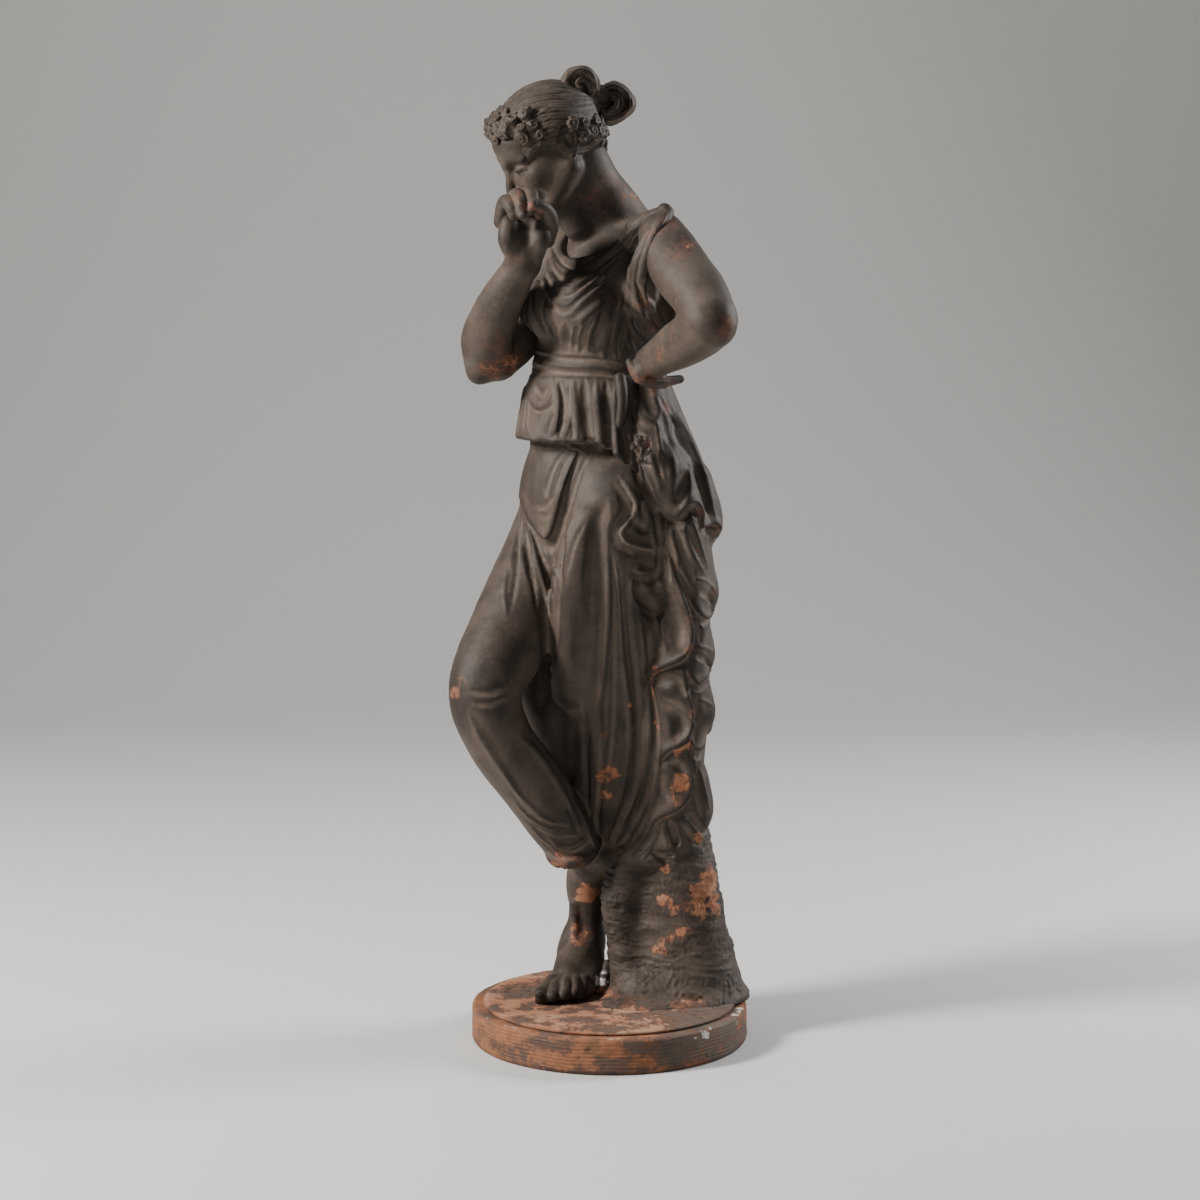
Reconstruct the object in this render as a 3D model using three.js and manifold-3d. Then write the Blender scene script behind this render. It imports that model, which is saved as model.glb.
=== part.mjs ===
// A standing draped dancer in terracotta, leaning on a tree-trunk support, on a
// turned round base. Millimetres, +Z up, origin at the centre of the underside of
// the base. Front of the piece is -Y; the dancer's chest is turned toward -X.
//
// The round base is a turned profile. The figure is one carved body: it is worked
// out as a distance field from limbs, oval sections, welts and channels, and that
// field is then skinned with triangles and thinned to a fixed number of facets.
import * as THREE from 'three';
import { mergeVertices } from 'three/addons/utils/BufferGeometryUtils.js';
import Module from 'manifold-3d';

// ------------------------------------------------------------- driving sizes
const BASE_RADIUS = 114.8;      // turned disc
const BASE_HEIGHT = 29.5;
const BASE_FLAT = 2.0;          // rounding of its upper and lower rim
const PLATE_RADIUS = 105.5;     // thin ground plate the figure is modelled on
const PLATE_TOP = 33.0;
const SEAT_GAP = 0.3;           // between the disc and the ground plate
const ROUND_STEPS = 72;         // facets round the disc and the plate

const FIGURE_FOOT = 30.6;       // the carved body starts inside the ground plate
const CELL = 3.4;               // spacing of the distance field
const FACETS = 8300;            // triangles kept on the carved body

// centre lines of the figure: x, y, z, radius from point to point
const STANDING_LEG = [[10.3, 2, 450.3, 44], [1.3, 12, 366.6, 43], [-2.7, 26, 289.1, 36], [-6.1, 34, 241.1, 34], [-9.5, 42, 192.6, 30], [-11.2, 48, 148.2, 24], [-10.3, 50, 133.8, 20]];
const BENT_LEG = [[-30.6, 66, 441, 41], [-52.2, 46, 396.4, 38.5], [-78, 8, 346.2, 36], [-100.8, -26, 298.7, 30.5], [-90.5, -22, 256.7, 27.5], [-64.8, -8, 217.4, 27], [-41.1, 6, 178.4, 24.5], [-30.3, 12, 161, 21]];
const CLOTH_BETWEEN_LEGS = [[-29.7, 58, 395.1, 33], [-48.3, 56, 335.9, 31], [-53.4, 50, 285.5, 30], [-41.6, 46, 234.8, 26], [-24.7, 44, 183.6, 19]];
const THIGH = [[-15.1, -22, 442.4, 14], [-20.8, -21, 415.5, 19], [-26.5, -16, 378.1, 21.5], [-29.9, -7, 335.7, 21], [-30.2, 8, 291.9, 18]];
const CLOTH_BEHIND_THIGH = [[-34,74,400,36],[-36,72,330,34],[-24,66,250,30],[-6,62,180,26]];
const MANTLE_FALL = [[24.9, 6, 549.9, 16], [29.6, -8, 535.8, 17], [34.3, -20, 500.7, 17], [46.5, -24, 472.6, 19], [57.3, -16, 435.4, 21], [59.4, -8, 385.4, 22], [58.1, -2, 335, 23], [58.5, 4, 284.1, 22], [55.5, 8, 233, 21], [54.1, 12, 188.2, 21], [55.9, 14, 169.1, 16]];
const MANTLE_SIDE = [[31.6, 16, 551.2, 14], [38.1, 10, 538.3, 14], [54.3, 0, 499.6, 14], [65.9, 0, 471, 14], [75.1, 2, 442.1, 13]];
const SKIRT_EDGE = [[-7.8, 28, 147.3, 12], [5.7, 16, 145.6, 11.5], [25.7, 8, 145.7, 11.5], [45.7, 8, 155.1, 13], [62.5, 12, 161, 14]];
const STRAP_OVER_ARM = [[43.3, -30, 683.1, 5.5], [35.5, -22, 677.8, 8], [24.4, -12, 668.5, 13]];
const NECK = [[5.4, 40, 665.6, 34], [-5.3, 33, 686.6, 29.5], [-14.3, 26, 704.2, 25], [-23.2, 15, 724.6, 22.5]];
const COLLARBONES = [[-36.1, 66, 662.8, 12], [-16, 32, 663.8, 7], [11.7, 4, 671.3, 7], [34, -16, 675.5, 9]];
const RIGHT_UPPER_ARM = [[-36.2, 70, 659.6, 20], [-52.8, 60, 621.4, 20.5], [-74.9, 42, 583.5, 19.5], [-92.7, 28, 565.6, 19]];
const RIGHT_FOREARM = [[-100.7, 22, 567.4, 19.5], [-100.2, 12, 582.3, 21], [-90.3, -8, 606.8, 18.5], [-79.2, -22, 626.1, 15.5], [-69.2, -32, 643.5, 13.4], [-66.7, -35, 656.1, 14]];
const RIGHT_WRIST = [[-68.4, -33, 643.5, 13], [-69.2, -33, 653, 14], [-69.2, -32, 660.9, 15]];
const LEFT_UPPER_ARM = [[41.8, -28, 664.2, 19], [47.1, -40, 652.9, 22], [56.9, -58, 635.4, 23.5], [70.2, -84, 616.6, 22.5], [77.3, -104, 599.8, 20.5]];
const LEFT_FOREARM = [[78, -106, 596.7, 20], [70.1, -92, 588.8, 20.5], [56, -70, 579.1, 19], [42.3, -50, 570, 15.5], [33, -40, 564.2, 13.2]];
const ANKLE = [[-10.3, 50, 156.4, 20], [-19.7, 56, 120.3, 17], [-18.9, 58, 98, 15.4], [-20.6, 59, 75.9, 16], [-24.9, 54, 55.2, 18]];
const INSTEP = [[-24.9, 54, 63.1, 17], [-28.2, 38, 55, 17], [-33.9, 18, 46.3, 14.5], [-38, 4, 38.9, 10.5]];
const OUTER_FOOT = [[-21.5, 54, 56.1, 15], [-16.3, 40, 47.5, 13], [-17.9, 18, 42, 10], [-22, 6, 38.3, 8.5]];
// oval sections of the taller forms: z, centre x, centre y, half-width, half-depth, turn in degrees
const PELVIS = [[395,-14,34,50,46,50],[425,-16,34,58,53,50],[455,-18,34,60,55,50],[490,-14,35,57,49,50],[512,-11,33,52,42,50]];
const SKIRT = [[131,30,46,38,41,20],[146,30,46,42,44,20],[200,31,44,44,44,20],[260,34,40,48,42,20],[330,37,38,46,43,25],[390,38,38,44,45,30],[440,33,37,47,48,40],[480,26,34,50,46,45]];
const BODICE = [[470,-14,34,50,44,50],[490,-14,35,56,49,50],[520,-11,33,58,47,50],[548,-12,33,57,50,51],[575,-9,33,56,50,53],[605,-3,33,60,50,55],[630,-3,34,61,48,56],[646,-3,35,57,44,56],[658,-1,36,53,39,56],[670,2,37,45,33,56],[683,5,38,34,27,56]];
const OVERFOLD = [[425,2,34,66,66,50],[460,0,34,70,68,50],[498,-8,35,70,70,50],[512,-8,35,67,67,50],[535,-9,34,66,60,50],[552,-10,33,58,54,50]];
const UPPER_CHEST = [[618,-6,32,44,34,56],[640,-4,33,50,36,56],[655,-1,34,47,33,56],[668,2,36,38,27,56],[678,4,37,28,23,56]];
const TRUNK = [[28,60,24,60,46,24],[42,58,24,56,42,26],[60,55,27,53,39,28],[100,51,30,49,36,30],[150,47,34,43,34,30],[185,45,38,36,32,30]];
// the head: its middle, its turn and bow in degrees, its scale; curls and folds
const HEAD_AT = [-49.9, 8.0, 739.5], HEAD_TURN = 76, HEAD_BOW = 31, HEAD_LEAN = -6, HEAD_SCALE = 0.94;
const CURLS = 11, CURL = 6.2;
const FOLD_SPREAD = 1.4;        // a carved fold is this much broader here than its crest

// ------------------------------------------------------------- distance field
// F holds the distance to the carved body at each node of an even lattice.
const LO = [-140, -165, FIGURE_FOOT - 2 * CELL], HI = [140, 135, 815];
const N = LO.map((v, i) => Math.ceil((HI[i] - v) / CELL) + 1);
const F = new Float32Array(N[0] * N[1] * N[2]).fill(60);
const rad = (a) => (a * Math.PI) / 180;
const clamp = (v, a, b) => Math.min(b, Math.max(a, v));

function join(a, b, k) {
  if (k <= 0) return Math.min(a, b);
  const h = clamp(0.5 + (0.5 * (a - b)) / k, 0, 1);
  return a + (b - a) * h - k * h * (1 - h);
}
function carve(a, b, k) { return -join(-a, b, k); }

// applies the shape function d(x, y, z) to every node inside a box
function sweep(lo, hi, k, cut, d) {
  const i0 = lo.map((v, i) => Math.max(0, Math.ceil((v - LO[i]) / CELL)));
  const i1 = hi.map((v, i) => Math.min(N[i] - 1, Math.floor((v - LO[i]) / CELL)));
  for (let c = i0[2]; c <= i1[2]; c++) for (let b = i0[1]; b <= i1[1]; b++) for (let a = i0[0]; a <= i1[0]; a++) {
    const n = a + N[0] * (b + N[1] * c);
    const v = d(LO[0] + a * CELL, LO[1] + b * CELL, LO[2] + c * CELL);
    F[n] = cut ? carve(F[n], v, k) : join(F[n], v, k);
  }
}

// smooth curve through rows of numbers, n steps a span
function curve(rows, n) {
  if (rows.length < 3) {
    return Array.from({ length: n + 1 }, (_, s) => rows[0].map((v, i) => v + ((rows[1][i] - v) * s) / n));
  }
  const end = (p, q) => p.map((v, i) => 2 * v - q[i]);
  const Q = [end(rows[0], rows[1]), ...rows, end(rows[rows.length - 1], rows[rows.length - 2])];
  const out = [];
  for (let j = 1; j < Q.length - 2; j++) for (let s = 0; s < n; s++) {
    const t = s / n;
    out.push(Q[j].map((b, i) => {
      const a = Q[j - 1][i], c = Q[j + 1][i], d = Q[j + 2][i];
      return 0.5 * (2 * b + (c - a) * t + (2 * a - 5 * b + 4 * c - d) * t * t + (3 * b - a - 3 * c + d) * t * t * t);
    }));
  }
  out.push(rows[rows.length - 1]);
  return out;
}

// a tube of changing radius: rows of x, y, z, radius
function limb(rows, k = 5, cut = 0, n = 5) {
  const S = curve(rows, n);
  const m = k + 3 * CELL + 3;
  const lo = [0, 1, 2].map((i) => Math.min(...S.map((s) => s[i] - s[3])) - m);
  const hi = [0, 1, 2].map((i) => Math.max(...S.map((s) => s[i] + s[3])) + m);
  sweep(lo, hi, k, cut, (x, y, z) => {
    let best = 60;
    for (let i = 0; i + 1 < S.length; i++) {
      const a = S[i], b = S[i + 1];
      const ux = b[0] - a[0], uy = b[1] - a[1], uz = b[2] - a[2];
      const px = x - a[0], py = y - a[1], pz = z - a[2];
      const t = clamp((px * ux + py * uy + pz * uz) / (ux * ux + uy * uy + uz * uz + 1e-9), 0, 1);
      best = Math.min(best, Math.hypot(px - t * ux, py - t * uy, pz - t * uz) - (a[3] + t * (b[3] - a[3])));
    }
    return best;
  });
}

// left, forward and up directions of a body turned by yaw, bowed by pitch, leaning by roll (degrees)
function axes(yaw, pitch = 0, roll = 0) {
  const y = rad(yaw), p = rad(pitch), c = Math.cos(rad(roll)), s = Math.sin(rad(roll));
  const f = [-Math.sin(y) * Math.cos(p), -Math.cos(y) * Math.cos(p), -Math.sin(p)];
  const l = [Math.cos(y), -Math.sin(y), 0];
  const u = [-Math.sin(y) * Math.sin(p), -Math.cos(y) * Math.sin(p), Math.cos(p)];
  return [l.map((v, i) => v * c + u[i] * s), f, l.map((v, i) => -v * s + u[i] * c)];
}

// an ellipsoid with radii along the three axes
function ell(c, r, k = 5, A = [[1, 0, 0], [0, 1, 0], [0, 0, 1]], cut = 0) {
  const ext = [0, 1, 2].map((i) => Math.hypot(A[0][i] * r[0], A[1][i] * r[1], A[2][i] * r[2]) + k + 3 * CELL + 3);
  sweep(c.map((v, i) => v - ext[i]), c.map((v, i) => v + ext[i]), k, cut, (x, y, z) => {
    const p = [x - c[0], y - c[1], z - c[2]];
    const q = A.map((a, i) => (p[0] * a[0] + p[1] * a[1] + p[2] * a[2]) / r[i]);
    const k0 = Math.hypot(...q) + 1e-6, k1 = Math.hypot(q[0] / r[0], q[1] / r[1], q[2] / r[2]) + 1e-9;
    return (k0 * (k0 - 1)) / k1;
  });
}

// value of a table of rows (first column rising) at q, smooth between the rows
function table(rows, q) {
  let i = 0;
  while (i < rows.length - 2 && q > rows[i + 1][0]) i++;
  const slope = (a, b) => rows[a].map((v, c) => (rows[b][c] - v) / (rows[b][0] - rows[a][0]));
  const tangent = (j) => {
    if (j === 0) return slope(0, 1);
    if (j === rows.length - 1) return slope(j - 1, j);
    const w = (rows[j][0] - rows[j - 1][0]) / (rows[j + 1][0] - rows[j - 1][0]);
    const a = slope(j - 1, j), b = slope(j, j + 1);
    return a.map((v, c) => v * (1 - w) + b[c] * w);
  };
  const h = rows[i + 1][0] - rows[i][0], t = clamp((q - rows[i][0]) / h, 0, 1);
  const m0 = tangent(i), m1 = tangent(i + 1);
  return rows[i].map((v, c) => v * (1 + 2 * t) * (1 - t) ** 2 + h * m0[c] * t * (1 - t) ** 2
    + rows[i + 1][c] * t * t * (3 - 2 * t) + h * m1[c] * t * t * (t - 1));
}

// a tall form of oval sections: rows of z, centre x, centre y, half-width, half-depth, yaw;
// hem = [x, slope, most drop, height] lets its lower edge fall toward +X
function stack(rows, k = 6, cap = 4, hem = null) {
  const S = [...rows].sort((a, b) => a[0] - b[0]);
  const top = S[S.length - 1][0], foot = S[0][0];
  const R = Math.max(...S.map((s) => Math.max(s[3], s[4]))) + k + 3 * CELL;
  const xs = S.map((s) => s[1]), ys = S.map((s) => s[2]);
  const memo = new Map();
  sweep([Math.min(...xs) - R, Math.min(...ys) - R, foot - k - 3 * CELL], [Math.max(...xs) + R, Math.max(...ys) + R, top + k + 3 * CELL], k, 0, (x, y, z) => {
    let s = memo.get(z);
    if (!s) { s = table(S, clamp(z, foot, top)); memo.set(z, s); }
    const c = Math.cos(rad(s[5])), n = Math.sin(rad(s[5])), dx = x - s[1], dy = y - s[2];
    const qx = (dx * c - dy * n) / s[3], qy = (-dx * n - dy * c) / s[4];
    const k0 = Math.hypot(qx, qy) + 1e-6, k1 = Math.hypot(qx / s[3], qy / s[4]) + 1e-9;
    let d = (k0 * (k0 - 1)) / k1;
    const edge = hem ? hem[3] - clamp((x - hem[0]) * hem[1], 0, hem[2]) : foot;
    d = -join(-d, z - edge, cap);
    return -join(-d, top - z, cap);
  });
}

// the field anywhere between the nodes
function at(p) {
  const q = p.map((v, i) => clamp((v - LO[i]) / CELL, 0, N[i] - 1.001));
  const j = q.map(Math.floor), t = q.map((v, i) => v - j[i]);
  let s = 0;
  for (let a = 0; a < 2; a++) for (let b = 0; b < 2; b++) for (let c = 0; c < 2; c++) {
    s += F[j[0] + a + N[0] * (j[1] + b + N[1] * (j[2] + c))] * (a ? t[0] : 1 - t[0]) * (b ? t[1] : 1 - t[1]) * (c ? t[2] : 1 - t[2]);
  }
  return s;
}

// first point on a line inside the body (the closest approach if it misses), with the outward direction
function reach(o, d, far) {
  let last = 60, best = 60, spot = 0;
  for (let t = 0; t < far; t += 1.5) {
    const f = at(o.map((v, i) => v + d[i] * t));
    if (f < best) { best = f; spot = t; }
    if (f < 0 && t > 0) { spot = t - 1.5 + (1.5 * last) / (last - f); break; }
    last = f;
  }
  const p = o.map((v, i) => v + d[i] * spot);
  const e = 2.5, n = [0, 1, 2].map((i) => at(p.map((v, c) => v + (c === i ? e : 0))) - at(p.map((v, c) => v - (c === i ? e : 0))));
  const l = Math.hypot(...n) + 1e-9;
  return [...p, ...n.map((v) => v / l)];
}

// a curve drawn on the front elevation (x, z) and pressed onto the form along Y
const front = (pts, n = 5) => curve(pts, n).map(([x, z]) => reach([x, -175, z], [0, 1, 0], 330));
// a curve drawn round an upright axis (degrees from the front toward +X, z)
const around = (cx, cy, pts, n = 5) => curve(pts, n).map(([a, z]) => {
  const s = Math.sin(rad(a)), c = -Math.cos(rad(a));
  return reach([cx + 160 * s, cy + 160 * c, z], [-s, -c, 0], 160);
});
// moves the surface out (or in) beside a pressed curve: size(distance, side, ends) in millimetres
function along(path, reachOut, ends, size) {
  const n = path.length - 1;
  const e = path.map((_, i) => Math.min(1, Math.min(i / n, 1 - i / n) / ends + 0.05) ** 0.7);
  const lo = [0, 1, 2].map((i) => Math.min(...path.map((q) => q[i])) - reachOut);
  const hi = [0, 1, 2].map((i) => Math.max(...path.map((q) => q[i])) + reachOut);
  const i0 = lo.map((v, i) => Math.max(0, Math.ceil((v - LO[i]) / CELL)));
  const i1 = hi.map((v, i) => Math.min(N[i] - 1, Math.floor((v - LO[i]) / CELL)));
  for (let c = i0[2]; c <= i1[2]; c++) for (let b = i0[1]; b <= i1[1]; b++) for (let a = i0[0]; a <= i1[0]; a++) {
    const x = LO[0] + a * CELL, y = LO[1] + b * CELL, z = LO[2] + c * CELL;
    let best = reachOut, side = 0, end = 0;
    for (let i = 0; i < n; i++) {
      const p = path[i], q = path[i + 1];
      const u = [q[0] - p[0], q[1] - p[1], q[2] - p[2]], w = [x - p[0], y - p[1], z - p[2]];
      const t = clamp((w[0] * u[0] + w[1] * u[1] + w[2] * u[2]) / (u[0] ** 2 + u[1] ** 2 + u[2] ** 2 + 1e-9), 0, 1);
      const d = [w[0] - t * u[0], w[1] - t * u[1], w[2] - t * u[2]], l = Math.hypot(...d);
      if (l >= best) continue;
      const m = [p[3] + q[3], p[4] + q[4], p[5] + q[5]];
      const s = [m[1] * u[2] - m[2] * u[1], m[2] * u[0] - m[0] * u[2], m[0] * u[1] - m[1] * u[0]];
      best = l;
      side = (d[0] * s[0] + d[1] * s[1] + d[2] * s[2]) / (Math.hypot(...s) + 1e-9);
      end = e[i] + t * (e[i + 1] - e[i]);
    }
    if (best < reachOut) F[a + N[0] * (b + N[1] * c)] -= size(best, side, end);
  }
}
// a fold (or a valley when cut), w and k its breadth, up its height
function ridge(path, w, up, k = 2, cut = 0, ends = 0.25) {
  const W = w * 1.15 + k * 1.3 + FOLD_SPREAD;
  along(path, W, ends, (d, _, e) => {
    const v = clamp(1 - Math.hypot(d, 0.5) / (W * (0.35 + 0.65 * e)), 0, 1);
    return (cut ? -1.25 : 1.35) * up * v * v * (1.35 - 0.35 * v) * e;
  });
}
const groove = (path, w, deep, k = 2) => ridge(path, w, deep, k, 1);
// the edge of one layer lying over another: raised on the left of the way the path runs
function lap(path, w, up, k = 0.8) {
  along(path, w, 0.2, (d, side, e) => {
    const v = (1 - d / w) ** 2 * e * clamp(side / (k + FOLD_SPREAD), -1, 1);
    return 1.35 * up * (v > 0 ? v : 0.8 * v);
  });
}
// a hollow opening through the surface, w its radius, deep how far its middle lies under it
function hole(path, w, deep, k = 0.8) {
  const n = path.length - 1;
  limb(path.map((q, i) => {
    const e = Math.min(1, Math.min(i / n, 1 - i / n) / 0.2 + 0.15) ** 0.6;
    return [q[0] - q[3] * deep * e, q[1] - q[4] * deep * e, q[2] - q[5] * deep * e, w * e];
  }), k, 1, 1);
}
// rows of kind, breadth, height, softness, and the curve on the front elevation
const folds = (rows) => rows.forEach(([make, w, up, k, path]) => make(front(path), w, up, k));
// works one part of the figure out on its own, then lays it over what is there
function layer(shape) {
  const kept = F.slice();
  F.fill(60);
  shape();
  for (let i = 0; i < F.length; i++) F[i] = Math.min(F[i], kept[i]);
}
// a place on the head: left, forward, up
const HA = axes(HEAD_TURN, HEAD_BOW, HEAD_LEAN);
const hd = (l, f, u, ...r) => [...HEAD_AT.map((v, i) => v + HEAD_SCALE * (l * HA[0][i] + f * HA[1][i] + u * HA[2][i])), ...r];


// ------------------------------------------------------------- the carved figure
function sculpt() {
  // ==== legs, skirt and the gathered mantle
  layer(() => {
    // the standing leg under the skirt
    limb(STANDING_LEG, 6);
    // the bent leg
    limb(BENT_LEG, 8);
    // cloth hanging between the legs
    limb(CLOTH_BETWEEN_LEGS, 6);
    // the thigh that shows through the skirt
    limb(THIGH, 7);
    // pelvis, and the cloth over the seat and behind the thighs
    stack(PELVIS, 8);
    ell([-26,68,420], [44,34,50], 14, axes(50));
    ell([26,56,424], [42,34,50], 14, axes(50));
    limb(CLOTH_BEHIND_THIGH, 14);
    // skirt behind and beside the standing leg
    stack(SKIRT, 10, 8);
    // bunched end of the mantle at the standing hip
    limb(MANTLE_FALL, 8);
    limb(MANTLE_SIDE, 8);
    // outer lobes of the fall
    limb([[70.8, 0, 466.9, 13], [76.7, 2, 445.4, 14], [79.3, 2, 430.6, 14], [77.7, 4, 420.5, 10]], 5);
    limb([[67.8, 2, 425.6, 14], [71.3, 4, 395.7, 15], [74.7, 5, 374, 15.5], [74.7, 5, 362.4, 12]], 4);
    limb([[66.5, 4, 364.2, 13], [69.9, 6, 342.3, 14], [74.1, 6, 322.3, 13.5], [72.5, 6, 312.3, 11]], 4);
    limb([[65.1, 6, 313.9, 14], [69.4, 8, 291.9, 15], [73.6, 8, 273.4, 14.5], [70.3, 8, 260, 11]], 4);
    limb([[63.7, 10, 263, 15], [63.9, 12, 239, 13], [67.4, 14, 210.8, 17], [69.2, 15, 189.3, 18], [66.7, 15, 175.7, 14]], 5);
    // lower edge of the skirt, rolled in toward the trunk
    limb(SKIRT_EDGE, 6);
    // loops of the tie at the standing hip
    limb([[8.4, -24, 550.9, 5], [9.9, -28, 539.8, 5], [9.9, -31, 527.1, 4.4], [8.3, -33, 514.3, 3.6]], 3);
    // strips of the mantle running down over the hip, with the valleys between them
    folds([
      [groove, 4, 4.4, 2, [[29.3, 544.4], [31.7, 531.8], [37.3, 520.6]]],
      [groove, 4, 4.4, 2, [[43, 522.1], [46.2, 508.5], [50.1, 496.7]]],
      [groove, 4.5, 4.6, 2.4, [[61.5, 477.4], [58.1, 461.7], [55.8, 447.1]]],
      [groove, 2, 3.4, 1, [[41.2, 492.2], [44.4, 481.1], [46, 472.3]]],
      [ridge, 2, 2.6, 1, [[19.7, 539.5], [18.1, 525.1], [21.2, 514.1], [32.4, 504.9]]],
      [ridge, 2, 2.4, 1, [[24.5, 530.1], [24.4, 520.6], [34, 515.9], [40.5, 511.1]]],
      [ridge, 1.8, 3, 0.9, [[37.3, 520.6], [39.6, 501.7], [43.6, 484.2], [45.2, 471.5]]],
      [ridge, 2, 3, 1, [[32.4, 492.2], [35.6, 479.4], [40.4, 466.6], [42.1, 453.5]]],
      [groove, 1.8, 2.4, 0.9, [[36.4, 493.8], [39.6, 481.1], [42, 469.9]]],
      [ridge, 2.4, 2.8, 1.4, [[57.1, 494.1], [63.6, 481.1], [64.7, 465.3], [63.1, 455]]],
      [ridge, 2.6, 1.8, 2, [[50.1, 492.1], [51.6, 477.9], [50, 461.8]]],
      [groove, 3, 3, 1.6, [[68.7, 482.4], [72.7, 469.5], [76.9, 451.6], [78.5, 440.3]]],
      [ridge, 2.4, 2.2, 1.4, [[44, 537.8], [57.3, 516.3], [68.8, 495.2], [77.7, 472.5], [82.7, 451.3], [86.9, 434.9]]],
      [groove, 2, 1.8, 1.2, [[50.8, 529.3], [60.5, 511.5], [68.7, 496.9]]],
      [groove, 2, 1.8, 1.2, [[39.8, 536.4], [47.2, 523.3], [53.9, 510]]],
    ]);
    // the rosette of the knotted end
    ell([25.7, -52, 497.7], [9,6,8], 3, axes(40));
    for (let i = 0; i < 5; i++) {
      const an = 1.25 * i + 0.4;
      limb([[25.7, -57, 498, 2], [25.6 + 0.79 * (0+6*Math.cos(an)), -60, 498.2 - 0.79 * (0+6*Math.sin(an)), 2.2], [25.7 + 0.80 * (0+10*Math.cos(an)), -57, 498 - 0.80 * (0+10*Math.sin(an)), 2], [25.7 + 0.80 * (0+9*Math.cos(an+0.5)), -54, 497.9 - 0.80 * (0+9*Math.sin(an+0.5)), 1.6]], 0.9);
    }
    ell([28.7, -62, 498.3], [4,4,5], 0.8, axes(30), 1);
    ell([21.6, -61, 495.1], [2.6,4,4], 0.8, axes(30), 1);
    limb([[22.5, -54, 489.9, 2.2], [25, -52, 480.2, 2.6], [26.6, -50, 470.4, 1.6]], 1.4);
    folds([
      [groove, 2, 3, 1, [[19.7, 483.4], [22, 474.1], [24.4, 464.7]]],
    ]);
    // the fall's first edge: a tube's mouth, a lap, and the lobe at the side
    folds([
      [groove, 3.4, 4, 2, [[30.1, 456.6], [36.6, 443.4], [47.1, 433.8], [56.7, 434], [64, 442]]],
      [lap, 13, 3.8, undefined, [[24, 490.2], [29.2, 477.5], [34.1, 464.7], [38.1, 453.4], [43.8, 444.4], [52.6, 439.7], [59.1, 443.8], [63.1, 449.4], [68.9, 449.9], [73.9, 442.1], [74, 431.7]]],
      [hole, 2.8, 0.6, undefined, [[38.3, 446.5], [44.8, 438.3], [53.6, 435.4], [60.8, 440.3], [66.5, 445], [69.8, 438.4]]],
      [groove, 2.4, 3, 1.2, [[76.5, 426.5], [83.7, 423.4], [88.3, 417.4]]],
      [lap, 9, 3, undefined, [[74, 429.2], [80.2, 431.1], [86.9, 430.8], [91.4, 424.3]]],
    ]);
    // valleys and blades under the hip fall
    folds([
      [groove, 2.8, 5, 1.4, [[36.7, 446.5], [39.1, 435], [42.5, 415.2]]],
      [groove, 3.2, 5, 1.6, [[25.2, 453.6], [28.5, 438.8], [27, 424.1]]],
      [ridge, 1.8, 3.4, 0.8, [[30.9, 453.2], [33.4, 436.9], [36.8, 416], [36.9, 403.6]]],
      [ridge, 1.6, 2.6, 0.8, [[40, 442.9], [43.2, 436.5], [40.9, 420]]],
      [groove, 1.8, 3, 0.8, [[45.6, 436.5], [45.6, 427.1], [44.1, 418.6]]],
      [ridge, 1.8, 3.4, 0.8, [[48, 435], [51.2, 422.4], [55.3, 407.7], [56.2, 392.8]]],
      [groove, 3, 5.4, 1.4, [[53.6, 432.1], [57.7, 415.9], [63.5, 399.4], [68.5, 384.3]]],
      [ridge, 1.6, 3, 0.7, [[59.2, 433.8], [64.2, 416.7], [70.9, 402.4], [78.6, 389.9]]],
      [groove, 2, 3.6, 0.9, [[63.2, 433.9], [68.2, 419], [74.2, 405.4]]],
      [ridge, 1.6, 2.8, 0.7, [[66.4, 437.1], [72.4, 420.4], [77.6, 403.3], [81.4, 390.7]]],
      [groove, 2.4, 4.4, 1.2, [[44.1, 413.7], [46.6, 402.3], [49.9, 386]]],
    ]);
    // inner zigzag edge
    folds([
      [groove, 3.6, 4, 2.4, [[3.5, 466.4], [11.5, 453.8], [13.1, 442.4], [4.3, 429.4], [5.9, 417.9], [18.1, 409.6]]],
      [lap, 10, 3.4, undefined, [[9.1, 469.6], [15.5, 460.1], [20.4, 450.5], [18.8, 442.3], [13.2, 434.2], [9.2, 427.7], [12.4, 420.4], [22.1, 415.2], [35.2, 412]]],
      [groove, 3.6, 4.6, 2, [[17.2, 442.2], [22, 434.2], [31, 427.2]]],
      [ridge, 1.5, 2.8, 0.7, [[24.4, 461.5], [25.2, 451.9], [22.8, 442.4], [17.2, 435.9]]],
      [groove, 3, 4, 1.8, [[18.1, 389.8], [28.8, 386.7], [38.6, 391], [41.8, 403.6]]],
      [lap, 9, 3.4, undefined, [[18.9, 396.4], [28.7, 393.3], [36.1, 397.7], [38.5, 407.7]]],
    ]);
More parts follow.
